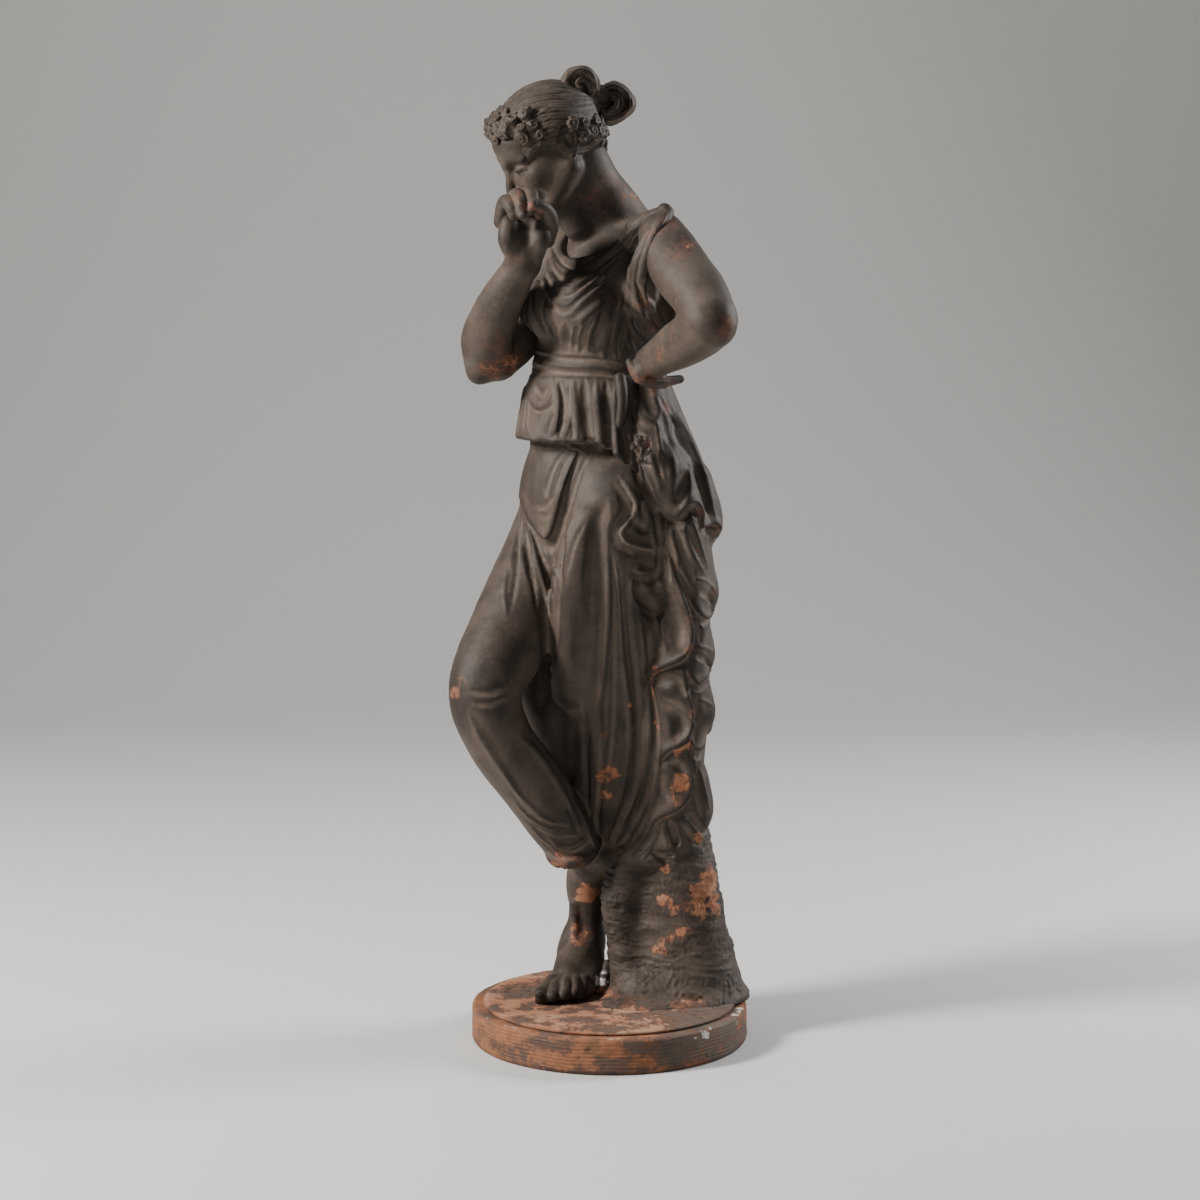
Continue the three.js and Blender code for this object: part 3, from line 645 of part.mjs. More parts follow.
    // skull and face
    ell(hd(0,-4,9), [33,42,37], 4, HA);
    ell(hd(0,10,-16), [28.5,31,32], 6, HA);
    ell(hd(0,22,15), [28,21,20], 5, HA);
    limb([hd(28,0,-22,10), hd(21,18,-36,9), hd(8,33,-44,8), hd(-8,33,-44,8), hd(-21,18,-36,9), hd(-28,0,-22,10)], 6);
    ell(hd(18,27,-15), [9.5,9,9], 7, HA);
    ell(hd(-18,27,-15), [9.5,9,9], 7, HA);
    ell(hd(21,14,-18), [9,15,17], 9, HA);
    ell(hd(-21,14,-18), [9,15,17], 9, HA);
    limb([hd(-24,31,4,3), hd(-15,38.5,6.5,3.2), hd(-6,41,4,3), hd(0,41.5,2,3), hd(6,41,4,3), hd(15,38.5,6.5,3.2), hd(24,31,4,3)], 5);
    ell(hd(15,42,-3), [9,6.2,5.4], 4, HA, 1);
    ell(hd(-15,42,-3), [9,6.2,5.4], 4, HA, 1);
    ell(hd(15.2,30.2,-3.4), [8,7.6,6.4], 0.8, HA);
    ell(hd(-15.2,30.2,-3.4), [8,7.6,6.4], 0.8, HA);
    for (const s of [1, -1]) {
      limb([hd(6.5*s,35.5,-4.4,0.9), hd(11*s,38.6,-0.9,1.3), hd(16.5*s,38.6,-0.2,1.3), hd(23*s,32.5,-3.4,0.9)], 0.9);
      limb([hd(7*s,35.6,-5.2,0.8), hd(12*s,37.6,-7.6,1.0), hd(17.5*s,36.8,-7.4,1.0), hd(23*s,32.4,-3.8,0.7)], 0.9);
    }
    limb([hd(0,41.5,2,2.6), hd(0,45,-7,2.9), hd(0,49.5,-15,3.4), hd(0,52,-21,3.9)], 3);
    for (const s of [1, -1]) {
      ell(hd(4.6*s,46,-22.6), [3.1,5,3.2], 1.4, HA);
      ell(hd(2.8*s,49,-25.8), [1.3,2.4,1.5], 0.7, HA, 1);
    }
    ell(hd(0,37,-34), [13,8.5,9.5], 4, HA);
    limb([hd(-11,39,-34.6,0.9), hd(-4.5,44,-32.6,1.7), hd(0,44.6,-33.4,1.5), hd(4.5,44,-32.6,1.7), hd(11,39,-34.6,0.9)], 1.4);
    limb([hd(-9.5,39.6,-36.8,1.1), hd(0,43.4,-38,2.3), hd(9.5,39.6,-36.8,1.1)], 1.4);
    limb([hd(-12,40,-35.4,0.5), hd(-5,45.6,-34.9,0.6), hd(0,46.4,-35.5,0.6), hd(5,45.6,-34.9,0.6), hd(12,40,-35.4,0.5)], 0.7, 1);
    limb([hd(-6,43.6,-42.2,1.2), hd(6,43.6,-42.2,1.2)], 3, 1);
    ell(hd(0,38.5,-47.5), [8.5,7.2,6.6], 5, HA);
    // ears
    for (const s of [1, -1]) {
      ell(hd(34*s,-8,-3), [4,7.5,11], 2, HA);
      limb([hd(36*s,-2,1,1.2), hd(37.5*s,-4,8,1.6), hd(38.5*s,-10,11,1.8), hd(39*s,-16,6,1.8), hd(38.5*s,-15,-3,1.7), hd(37*s,-10,-11,1.5), hd(36*s,-6,-14,2.3)], 0.9);
      limb([hd(37.5*s,-6,5,0.9), hd(38*s,-11,5,1.1), hd(38*s,-12,-2,1.2), hd(37*s,-8,-8,1)], 0.7);
      ell(hd(39.5*s,-8,0), [3.4,3,7], 1, HA, 1);
    }
    // right arm, raised
    limb(RIGHT_UPPER_ARM, 6);
    limb(RIGHT_FOREARM, 5);
    ell([-107.3, 20, 553.6], [9,9,9], 8, axes(60));
    // right hand, loosely closed in front of the mouth
    limb(RIGHT_WRIST, 6);
    ell([-68.4, -30, 672], [20,11,22], 5, axes(12));
    limb([[-77.7, -42, 648.1, 5], [-80.7, -46, 660.6, 8], [-79.9, -44, 673.2, 7]], 5);
    limb([[-57, -42, 649.7, 5], [-54.5, -45, 662.2, 7.5], [-53, -42, 673.3, 6.5]], 5);
    ell([-66.9, -56, 665.1], [6.5,9,14], 3, axes(8), 1);
    limb([[-86.9, -26, 675.3, 6], [-85, -32, 686.2, 6], [-82.2, -44, 691.3, 5.4], [-77.9, -55, 686.2, 5], [-75.5, -57, 679.2, 4.4]], 1.2);
    limb([[-79.7, -24, 683.3, 6.4], [-77, -32, 692.5, 6.2], [-73.5, -44, 696, 5.6], [-70, -56, 690.1, 5.2], [-69.1, -59, 681.4, 4.6]], 1.2);
    limb([[-70.1, -24, 686.4, 6.4], [-66.7, -32, 694.8, 6], [-63.2, -43, 697.6, 5.4], [-61.4, -54, 691.7, 5], [-62.1, -58, 683.8, 4.5]], 1.2);
    limb([[-60.5, -24, 684.8, 6], [-57.1, -32, 692.5, 5.6], [-54.5, -42, 693.7, 5], [-54.3, -51, 687.1, 4.6], [-55.9, -54, 680, 4]], 1.2);
    limb([[-50, -36, 660.8, 6.4], [-46.6, -42, 671.7, 6], [-48.1, -49, 681.7, 5.4], [-54.2, -56, 687, 4.8], [-59.6, -60, 688.4, 4.2]], 1.4);
    ell([-60.3, -65, 689], [3,1.6,2.6], 0.5, axes(20));
    ell([-68.2, -63.5, 679], [3,1.4,2.6], 0.5, axes(5));
    // left arm, hand set back on the hip
    limb(LEFT_UPPER_ARM, 6);
    limb(LEFT_FOREARM, 5);
    ell([84.8, -110, 590.6], [9,9,10], 8, axes(0));
    limb([[32.2, -38, 562.5, 11], [28.2, -40, 557, 8]], 4);
    ell([27.4, -42, 557.8], [8,9,6], 3, axes(30));
    limb([[26.6, -42, 553.1, 5], [36.2, -40, 549.8, 5], [46.8, -34, 548.8, 4.4], [56.6, -28, 550.2, 3.4]], 3);
    limb([[19.4, -42, 559.4, 4.4], [24.1, -45, 551.6, 4.2], [33, -42, 546.7, 3.6], [43.5, -36, 545.7, 3]], 1.6);
    limb([[16.2, -38, 564.1, 3.6], [19.4, -42, 556.3, 3.8], [22.6, -42, 549.9, 3]], 1.4);
    limb([[30.5, -48, 553.3, 1.6], [40.1, -44, 550.7, 1.6], [49.9, -38, 550.5, 1.4]], 1, 1);
  });
  // ==== combed hair and the bow
  layer(() => {
    // cap of combed hair
    const SK = hd(0,-4,10);
    ell(SK, [36.5,45,39], 3, HA);
    ell(hd(0,-31,-12), [24,14,16], 8, HA);
    limb([hd(0,-34,-14,10), hd(0,-33,-26,8), hd(0,-32,-36,5)], 8);
    ell(hd(0,56,-14), [40,30,42], 6, HA, 1);
    ell(hd(40,4,-30), [16,22,24], 5, HA, 1);
    ell(hd(-40,4,-30), [16,22,24], 5, HA, 1);
    // roll of hair round the brow and temples, and along the nape
    limb([hd(35,-2,15,3.5), hd(33,10,20,5), hd(25,23,28,6), hd(13,31,33,6), hd(0,33,34,6), hd(-13,31,33,6), hd(-25,23,28,6), hd(-33,10,20,5), hd(-35,-2,15,3.5)], 4);
    limb([hd(34,-22,0,5), hd(28,-32,-8,6), hd(14,-39,-14,6), hd(0,-41,-16,6), hd(-14,-39,-14,6), hd(-28,-32,-8,6), hd(-34,-22,0,5)], 4);
    // knot, drawn up behind the crown
    const KN = [-10.2, 22, 775.6];
    ell(KN, [12,12,12], 6);
    // the two loops of the bow of hair, laid up of strands
    limb([[-10.2, 14, 779.8, 5], [-10.2, 10, 788.2, 5.4], [-15, 8, 796.8, 5.4], [-23.1, 6, 798.6, 5.2], [-30.3, 5, 796.6, 5], [-34.4, 5, 790.2, 4.6], [-32, 6, 783.9, 4]], 2);
    limb([[-4.5, 22, 776.4, 6], [-2.1, 22, 782.8, 6], [3.6, 24, 784.5, 6], [10.2, 26, 782.3, 6.4], [14.2, 26, 775.9, 6.8], [14.2, 26, 769.4, 6.8], [10.2, 26, 764.6, 6.6], [4.5, 26, 762.2, 6], [-2.9, 24, 761.3, 6]], 2);
    for (let i = 0; i < 4; i++) {
      const w = (i - 1.5) * 2.6;
      limb([[-14.2, 8+w, 780.1, 2.4], [-15, 6+w, 787.9, 2.5], [-19.8, 5+w, 792.6, 2.5], [-26.3, 4+w, 793.3, 2.4], [-30.3, 4+w, 789.3, 2.3], [-28.7, 5+w, 784.7, 2.2]], 0.9);
      limb([[-2.1, 21+w, 762.7, 3], [4.4, 22+w, 765.1, 3], [10.1, 23+w, 770, 3], [10.1, 23+w, 775.6, 3], [6.1, 22+w, 779.6, 2.8], [0.4, 21+w, 779.5, 2.6]], 0.9);
    }
    ell([-22.3, 8, 788.1], [10,6,8], 2, axes(10));
    limb([[-16.6, 3, 780.5, 2.2], [-18.2, 0, 787.5, 2.3], [-23, -2, 789.7, 2.3], [-26.2, -2, 786.5, 2], [-23.8, -2, 783.3, 1.8]], 0.7);
    ell([3.7, 30, 771.3], [11,8,11], 3, axes(10));
    limb([[-1.3, 13, 765.3, 2.4], [4.4, 12, 768.5, 2.4], [6, 12, 773.3, 2.2], [2, 12, 775.6, 2]], 0.7);
    ell([-5.3, 9, 774.6], [5,7,5], 0.8, axes(20), 1);
    // curls framing the face, in two uneven rows
    // curls along the nape, and the short ones down the neck
    // band of curls round the brow and the nape
    for (let i = 0; i < CURLS; i++) {
      const a = (i - (CURLS - 1) / 2) * 0.29, s = Math.sin(a), c = Math.cos(a);
      ell(hd(45 * s, -6 + 48 * c, 10 + 21 * c), [CURL, CURL, CURL], 2);
      ell(hd(45 * s, -8 + 40 * c, 21 + 23 * c), [CURL, CURL, CURL], 2);
      ell(hd(46 * s, -12 - 37 * c, 6 - 21 * c), [CURL - 2, CURL - 2, CURL - 2], 2);
    }
  });
  // ==== ankle and foot
  layer(() => {
    // bare ankle and foot of the standing leg
    limb(ANKLE, 6);
    limb(INSTEP, 8);
    limb(OUTER_FOOT, 8);
    ell([-18.1, 72, 33.8], [14,17,16], 8, axes(14));
    ell([-31.7, 52, 74.1], [5,7,8], 8, axes(14));
    ell([-9.5, 62, 68.1], [5,7,8], 8, axes(14));
    ell([-35.4, 3, 36.6], [21,16,8.5], 6, axes(14));
    limb([[-29.9, 46, 100.9, 3], [-29.9, 42, 80.1, 3], [-33.2, 30, 61.4, 3], [-39.8, 14, 50.8, 2.6]], 5);
    limb([[-47.1, 2, 43.7, 8.4], [-51.9, -10, 40.9, 8], [-56.7, -20, 39.4, 7.4]], 3);
    limb([[-40.4, 2, 45.4, 6], [-43.6, -12, 44.9, 6], [-46.7, -23, 40.2, 5.2]], 1.6);
    limb([[-33.7, 2, 46.3, 5.8], [-36.1, -11, 46.3, 5.8], [-37.6, -21, 40.5, 5]], 1.6);
    limb([[-27.9, 4, 45.7, 5.5], [-28.6, -7, 46.1, 5.5], [-29.4, -16, 40.9, 4.8]], 1.6);
    limb([[-21.2, 6, 45.2, 5.4], [-22, -1, 44.5, 5.2], [-22.8, -8, 40.4, 4.6]], 1.6);
    ell([-58.2, -27, 42.2], [3.6,1.6,2.8], 0.6, axes(14));
  });
  // ==== the tree trunk
  layer(() => {
    // trunk behind the standing leg, flaring into a root
    stack(TRUNK, 4, 8);
    limb([[19.1, 20, 154.2, 18], [12.4, 14, 126.4, 17], [8.2, 12, 109.8, 15], [13.3, 14, 83.6, 16], [17.5, 12, 47.9, 16]], 10);
    limb([[25.7, -4, 38.5, 13], [52.2, -12, 32.1, 14], [77.5, -6, 27.9, 14], [91.8, 14, 28.4, 15]], 16);
    limb([[88.6, 24, 67.2, 13], [92.6, 34, 38.6, 15], [93.2, 46, 22.2, 15]], 14);
    limb([[74,58,36,15],[54,68,34,14],[24,66,34,13]], 22);
    // the broken recess beside the foot
    limb([[12.1, -24, 72.7, 15], [25.3, -26, 69.8, 15], [35.2, -26, 64.8, 11]], 5, 1);
    limb([[25.2, -26, 138.9, 9], [30.2, -24, 117.4, 10], [33.5, -24, 96.4, 11]], 6, 1);
    // knots and shallow dents
    ell([75, -18, 116], [11,6,16], 7, axes(-20), 1);
    ell([48.2, -30, 123.1], [8,5,10], 5, axes(-10), 1);
    limb([[41.7, -26, 96.9, 3], [54.9, -28, 92.3, 4], [69.9, -24, 96.4, 3]], 4, 1);
    limb([[32, -22, 49.3, 2.4], [51.7, -30, 45.5, 3], [74.9, -28, 38.2, 2.4]], 3, 1);
    // fill between the foot and the trunk
    limb([[-2.7, 22, 57.4, 3], [-4.4, 16, 48.6, 5], [-7.8, 10, 41.6, 5], [-10.3, 6, 38.3, 3]], 4);
  });
  // ---- flat underside, hidden in the ground plate
  sweep(LO, HI, 0, 1, (x, y, z) => z - FIGURE_FOOT);
}

// ------------------------------------------------------------- skin of the field
// Each lattice cell is split into six tetrahedra, which always gives a closed skin.
function skin() {
  const flat = (v) => (Math.abs(v) < 1e-3 ? 1e-3 : v);
  const pos = [], tri = [], seen = new Map();
  const node = (a, b, c) => a + N[0] * (b + N[1] * c);
  const split = (p, q) => {
    const key = p < q ? p * F.length + q : q * F.length + p;
    let v = seen.get(key);
    if (v === undefined) {
      const lo = Math.min(p, q), hi = Math.max(p, q), f0 = flat(F[lo]), f1 = flat(F[hi]);
      const t = clamp(f0 / (f0 - f1), 0.04, 0.96);
      const xyz = (n) => [n % N[0], Math.floor(n / N[0]) % N[1], Math.floor(n / (N[0] * N[1]))];
      const A = xyz(lo), B = xyz(hi);
      v = pos.length / 3;
      for (let i = 0; i < 3; i++) pos.push(LO[i] + CELL * (A[i] + t * (B[i] - A[i])));
      seen.set(key, v);
    }
    return v;
  };
  const tets = [[0, 5, 1, 6], [0, 1, 2, 6], [0, 2, 3, 6], [0, 3, 7, 6], [0, 7, 4, 6], [0, 4, 5, 6]];
  const corner = [[0, 0, 0], [1, 0, 0], [1, 1, 0], [0, 1, 0], [0, 0, 1], [1, 0, 1], [1, 1, 1], [0, 1, 1]];
  for (let c = 0; c + 1 < N[2]; c++) for (let b = 0; b + 1 < N[1]; b++) for (let a = 0; a + 1 < N[0]; a++) {
    const n = corner.map(([i, j, k]) => node(a + i, b + j, c + k));
    const s = n.map((i) => flat(F[i]) < 0);
    if (s.every((v) => v) || !s.some((v) => v)) continue;
    for (const t of tets) {
      const ins = [0, 1, 2, 3].filter((i) => s[t[i]]);
      if (ins.length === 0 || ins.length === 4) continue;
      // the other corners, ordered so that the whole is an even shuffle of the tetrahedron
      const lone = ins.length === 3 ? [0, 1, 2, 3].find((i) => !s[t[i]]) : ins[0];
      const turn = { 0: [0, 1, 2, 3], 1: [1, 0, 3, 2], 2: [2, 3, 0, 1], 3: [3, 2, 1, 0] };
      let v;
      if (ins.length !== 2) {
        const [i, p, q, r] = turn[lone].map((c) => n[t[c]]);
        v = [split(i, p), split(i, q), split(i, r)];
        if (ins.length === 3) v.reverse();
      } else {
        const pair = { 1: [0, 1, 2, 3], 2: [0, 2, 3, 1], 3: [0, 3, 1, 2], 12: [1, 2, 0, 3], 13: [1, 3, 2, 0], 23: [2, 3, 0, 1] };
        const [i, j, p, q] = pair[ins[0] * 10 + ins[1]].map((c) => n[t[c]]);
        v = [split(i, p), split(i, q), split(j, q), split(j, p)];
      }
      tri.push([v[0], v[1], v[2]]);
      if (v.length === 4) tri.push([v[0], v[2], v[3]]);
    }
  }
  let volume = 0;
  for (const [a, b, c] of tri) {
    const [p, q, r] = [a, b, c].map((v) => pos.slice(3 * v, 3 * v + 3));
    volume += p[0] * (q[1] * r[2] - q[2] * r[1]) - p[1] * (q[0] * r[2] - q[2] * r[0]) + p[2] * (q[0] * r[1] - q[1] * r[0]);
  }
  if (volume < 0) tri.forEach((t) => t.reverse());
  return { pos, tri };
}

// keeps the largest connected skin
function largest(tri, count) {
  const root = Array.from({ length: count }, (_, i) => i);
  const find = (i) => { while (root[i] !== i) { root[i] = root[root[i]]; i = root[i]; } return i; };
  for (const [a, b, c] of tri) { root[find(a)] = find(b); root[find(b)] = find(c); }
  const tally = new Map();
  for (const t of tri) tally.set(find(t[0]), (tally.get(find(t[0])) || 0) + 1);
  const best = [...tally].sort((p, q) => q[1] - p[1])[0][0];
  return tri.filter((t) => find(t[0]) === best);
}

// thins the skin by merging the ends of its least useful edges (quadric error)
function thin(pos, tri, target) {
  const nv = pos.length / 3;
  const Q = new Float64Array(nv * 10);
  const P = (i) => [pos[3 * i], pos[3 * i + 1], pos[3 * i + 2]];
  const cross = (a, b, c) => {
    const u = [b[0] - a[0], b[1] - a[1], b[2] - a[2]], w = [c[0] - a[0], c[1] - a[1], c[2] - a[2]];
    return [u[1] * w[2] - u[2] * w[1], u[2] * w[0] - u[0] * w[2], u[0] * w[1] - u[1] * w[0]];
  };
  const fans = Array.from({ length: nv }, () => new Set());
  const T = tri.map((t) => [...t]), live = T.map(() => true);
  T.forEach((t, f) => {
    const [a, b, c] = t.map(P), n = cross(a, b, c), l = Math.hypot(...n) + 1e-12, m = n.map((v) => v / l);
    const d = -(m[0] * a[0] + m[1] * a[1] + m[2] * a[2]), q = [...m, d];
    for (const v of t) {
      fans[v].add(f);
      let s = 0;
      for (let i = 0; i < 4; i++) for (let j = i; j < 4; j++) Q[v * 10 + s++] += (q[i] * q[j] * l) / 2;
    }
  });
  const cost = (v, w, p) => {
    let s = 0, e = 0;
    const h = [...p, 1];
    for (let i = 0; i < 4; i++) for (let j = i; j < 4; j++) { e += (i === j ? 1 : 2) * (Q[v * 10 + s] + Q[w * 10 + s]) * h[i] * h[j]; s++; }
    return e;
  };
  const place = (v, w) => {
    const q = new Array(10);
    for (let s = 0; s < 10; s++) q[s] = Q[v * 10 + s] + Q[w * 10 + s];
    const [a, b, c, d, e, f, g, h, i] = q;   // xx xy xz x1 yy yz y1 zz z1
    const A = P(v), B = P(w), mid = A.map((x, n) => (x + B[n]) / 2);
    const D = a * (e * h - f * f) - b * (b * h - f * c) + c * (b * f - e * c);
    const opts = [mid, A, B];
    if (Math.abs(D) > 1e-3) {
      const x = (-d * (e * h - f * f) + b * (g * h - f * i) - c * (g * f - e * i)) / D;
      const y = (a * (-g * h + f * i) + d * (b * h - f * c) + c * (-b * i + g * c)) / D;
      const z = (a * (-e * i + g * f) - b * (-b * i + g * c) - d * (b * f - e * c)) / D;
      if (Math.hypot(x - mid[0], y - mid[1], z - mid[2]) < 2 * CELL) opts.unshift([x, y, z]);
    }
    let best = null;
    for (const p of opts) { const s = cost(v, w, p); if (!best || s < best[0]) best = [s, p]; }
    return [best[0] + 1e-4 * Math.hypot(...A.map((x, n) => x - B[n])) ** 2, best[1]];
  };
  // heap of candidate edges
  const heap = [];
  const less = (a, b) => a[0] < b[0];
  const push = (e) => { let i = heap.push(e) - 1; while (i) { const p = (i - 1) >> 1; if (!less(heap[i], heap[p])) break; [heap[i], heap[p]] = [heap[p], heap[i]]; i = p; } };
  const pop = () => {
    const top = heap[0], end = heap.pop();
    if (heap.length) { heap[0] = end; let i = 0; for (;;) { let c = 2 * i + 1; if (c >= heap.length) break; if (c + 1 < heap.length && less(heap[c + 1], heap[c])) c++; if (!less(heap[c], heap[i])) break; [heap[i], heap[c]] = [heap[c], heap[i]]; i = c; } }
    return top;
  };
  const stamp = new Int32Array(nv), gone = new Uint8Array(nv);
  const enter = (v, w) => { const [c, p] = place(v, w); push([c, v, w, stamp[v], stamp[w], p]); };
  for (const t of T) for (let i = 0; i < 3; i++) if (t[i] < t[(i + 1) % 3]) enter(t[i], t[(i + 1) % 3]);
  const ring = (v) => { const s = new Set(); for (const f of fans[v]) for (const u of T[f]) if (u !== v) s.add(u); return s; };
  let count = T.length;
  while (count > target && heap.length) {
    const [, v, w, sv, sw, p] = pop();
    if (gone[v] || gone[w] || stamp[v] !== sv || stamp[w] !== sw) continue;
    const rv = ring(v), rw = ring(w);
    if (!rv.has(w)) continue;
    let shared = 0; for (const u of rv) if (rw.has(u)) shared++;
    if (shared !== 2 || rv.size + rw.size < 9) continue;
    let bad = false;
    for (const [x, other] of [[v, w], [w, v]]) {
      for (const f of fans[x]) {
        if (T[f].includes(other)) continue;
        const was = T[f].map(P), now = T[f].map((u) => (u === x ? p : P(u)));
        const n0 = cross(...was), n1 = cross(...now), l0 = Math.hypot(...n0), l1 = Math.hypot(...n1);
        const longest = Math.max(...now.map((q, i) => Math.hypot(...q.map((c, j) => c - now[(i + 1) % 3][j]))));
        if (l1 < 1e-4 || l1 / (longest * longest) < 0.03 || (n0[0] * n1[0] + n0[1] * n1[1] + n0[2] * n1[2]) / (l0 * l1 + 1e-12) < 0.25) { bad = true; break; }
      }
      if (bad) break;
    }
    if (bad) continue;
    for (const f of [...fans[w]]) {
      if (T[f].includes(v)) { live[f] = false; count--; for (const u of T[f]) fans[u].delete(f); }
      else { T[f][T[f].indexOf(w)] = v; fans[v].add(f); }
    }
    gone[w] = 1; fans[w].clear();
    for (let s = 0; s < 10; s++) Q[v * 10 + s] += Q[w * 10 + s];
    for (let i = 0; i < 3; i++) pos[3 * v + i] = p[i];
    stamp[v]++;
    for (const u of ring(v)) enter(v, u);
  }
  return T.filter((_, f) => live[f]);
}

// ------------------------------------------------------------- solids
const wasm = await Module();
wasm.setup();

function solid(positions, triangles) {
  return new wasm.Manifold(new wasm.Mesh({
    numProp: 3, vertProperties: Float32Array.from(positions), triVerts: Uint32Array.from(triangles),
  }));
}
function turned(profile) {
  const g = new THREE.LatheGeometry(profile.map(([r, z]) => new THREE.Vector2(r, z)), ROUND_STEPS);
  g.rotateX(Math.PI / 2);
  g.deleteAttribute('normal');
  g.deleteAttribute('uv');
  const m = mergeVertices(g, 1e-3), tri = [], ix = m.index.array;
  for (let i = 0; i < ix.length; i += 3) {
    if (ix[i] !== ix[i + 1] && ix[i + 1] !== ix[i + 2] && ix[i] !== ix[i + 2]) tri.push(ix[i], ix[i + 1], ix[i + 2]);
  }
  return solid(m.attributes.position.array, tri);
}
function geometry(manifold) {
  const m = manifold.getMesh(), g = new THREE.BufferGeometry(), v = new Float32Array(m.numVert * 3);
  for (let i = 0; i < m.numVert; i++) for (let c = 0; c < 3; c++) v[3 * i + c] = m.vertProperties[i * m.numProp + c];
  g.setAttribute('position', new THREE.BufferAttribute(v, 3));
  g.setIndex(new THREE.BufferAttribute(Uint32Array.from(m.triVerts), 1));
  g.computeVertexNormals();
  return g;
}

function figureSolid() {
  const { pos, tri } = skin();
  const kept = largest(tri, pos.length / 3);
  const few = largest(thin(pos, kept, FACETS), pos.length / 3);
  const index = new Map(), xyz = [];
  const flat = few.flatMap((t) => t.map((v) => {
    if (!index.has(v)) { index.set(v, xyz.length / 3); xyz.push(pos[3 * v], pos[3 * v + 1], pos[3 * v + 2]); }
    return index.get(v);
  }));
  const body = solid(xyz, flat);
  const low = BASE_HEIGHT + SEAT_GAP;
  const plate = turned([[0, low], [PLATE_RADIUS - 0.8, low], [PLATE_RADIUS, low + 0.8], [PLATE_RADIUS - 0.4, PLATE_TOP - 0.6], [PLATE_RADIUS - 1.2, PLATE_TOP], [0, PLATE_TOP]]);
  return body.add(plate);
}

function baseSolid() {
  const R = BASE_RADIUS, H = BASE_HEIGHT, e = BASE_FLAT;
  return turned([[0, 0], [R - e, 0], [R - 0.3 * e, 0.3 * e], [R, e], [R - 0.2, H - e], [R - 0.5 * e, H - 0.4 * e], [R - 1.2 * e, H], [0, H]]);
}

// ------------------------------------------------------------- scene
sculpt();
const object = new THREE.Group();
const figure = new THREE.Mesh(geometry(figureSolid()), new THREE.MeshStandardMaterial({ color: 0x7a6c5e, roughness: 0.72, metalness: 0 }));
figure.name = 'dancer_figure';
object.add(figure);
const base = new THREE.Mesh(geometry(baseSolid()), new THREE.MeshStandardMaterial({ color: 0xa9775a, roughness: 0.9, metalness: 0 }));
base.name = 'round_base';
object.add(base);

export default object;
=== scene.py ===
# A terracotta figurine of a draped dancer on a turned round base, finished for looks.
#
# Every form is worked out as a distance field on a lattice, in millimetres: limbs and
# oval sections first, then cloth folds as welts and channels pressed onto them. Each
# field is skinned, thinned, and gets its fine surface by moving its points. The colours
# are worked out from the finished form: paint wears through on edges and crests, painted
# shade darkens the hollows, and dust with a painted highlight pales upward faces and crests.
import math, time
import numpy as np
import bpy
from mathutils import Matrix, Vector
import openvdb


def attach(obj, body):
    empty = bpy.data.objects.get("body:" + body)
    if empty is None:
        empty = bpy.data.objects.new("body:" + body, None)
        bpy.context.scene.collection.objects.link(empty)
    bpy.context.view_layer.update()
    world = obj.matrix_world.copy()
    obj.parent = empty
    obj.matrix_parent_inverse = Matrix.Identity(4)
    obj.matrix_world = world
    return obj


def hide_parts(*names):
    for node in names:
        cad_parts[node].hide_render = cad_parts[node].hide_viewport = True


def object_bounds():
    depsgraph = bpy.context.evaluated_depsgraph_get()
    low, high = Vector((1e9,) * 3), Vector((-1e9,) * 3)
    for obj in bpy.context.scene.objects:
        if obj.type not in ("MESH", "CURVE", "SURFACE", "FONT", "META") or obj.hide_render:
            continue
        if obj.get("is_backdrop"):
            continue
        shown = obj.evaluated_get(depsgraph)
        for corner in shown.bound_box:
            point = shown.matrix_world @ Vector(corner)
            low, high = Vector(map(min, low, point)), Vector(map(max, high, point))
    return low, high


START = time.time()
f32 = np.float32


def say(*a):
    print('[%5.1f]' % (time.time() - START), *a, flush=True)


# ---------------------------------------------------------------- distance field
class Lattice:
    pass


g = Lattice()


def lattice(lo, hi, h):
    "starts a new field on a box; the shape calls below all work on the last one started"
    g.h = h
    g.x, g.y, g.z = (np.arange(a, b + h, h).astype(f32) for a, b in zip(lo, hi))
    g.F = np.full((len(g.x), len(g.y), len(g.z)), 60.0, f32)


def block(lo, hi):
    s, c = [], []
    for i, a in enumerate((g.x, g.y, g.z)):
        i0, i1 = np.searchsorted(a, lo[i]), np.searchsorted(a, hi[i])
        if i1 <= i0:
            return None
        s.append(slice(int(i0), int(i1)))
        c.append(a[i0:i1])
    return tuple(s), c[0][:, None, None], c[1][None, :, None], c[2][None, None, :]


def smin(a, b, k):
    h = np.clip(0.5 + 0.5 * (a - b) / k, 0, 1)
    return a + (b - a) * h - k * h * (1 - h)


def smax(a, b, k):
    h = np.clip(0.5 - 0.5 * (a - b) / k, 0, 1)
    return a + (b - a) * h + k * h * (1 - h)


def put(sl, d, k, cut=0):
    "joins a shape to the field (or carves it out), blended over k"
    F = g.F[sl]
    if cut:
        F[...] = np.maximum(F, -d) if k <= 0 else smax(F, -d, f32(k))
    else:
        F[...] = np.minimum(F, d) if k <= 0 else smin(F, d, f32(k))


def seg(X, Y, Z, a, b, ra, rb):
    ba = [b[i] - a[i] for i in range(3)]
    l2 = ba[0] ** 2 + ba[1] ** 2 + ba[2] ** 2 + 1e-9
    px, py, pz = X - f32(a[0]), Y - f32(a[1]), Z - f32(a[2])
    t = np.clip((px * f32(ba[0]) + py * f32(ba[1]) + pz * f32(ba[2])) * f32(1 / l2), 0, 1)
    dx, dy, dz = px - t * f32(ba[0]), py - t * f32(ba[1]), pz - t * f32(ba[2])
    return np.sqrt(dx * dx + dy * dy + dz * dz) - (f32(ra) + t * f32(rb - ra))


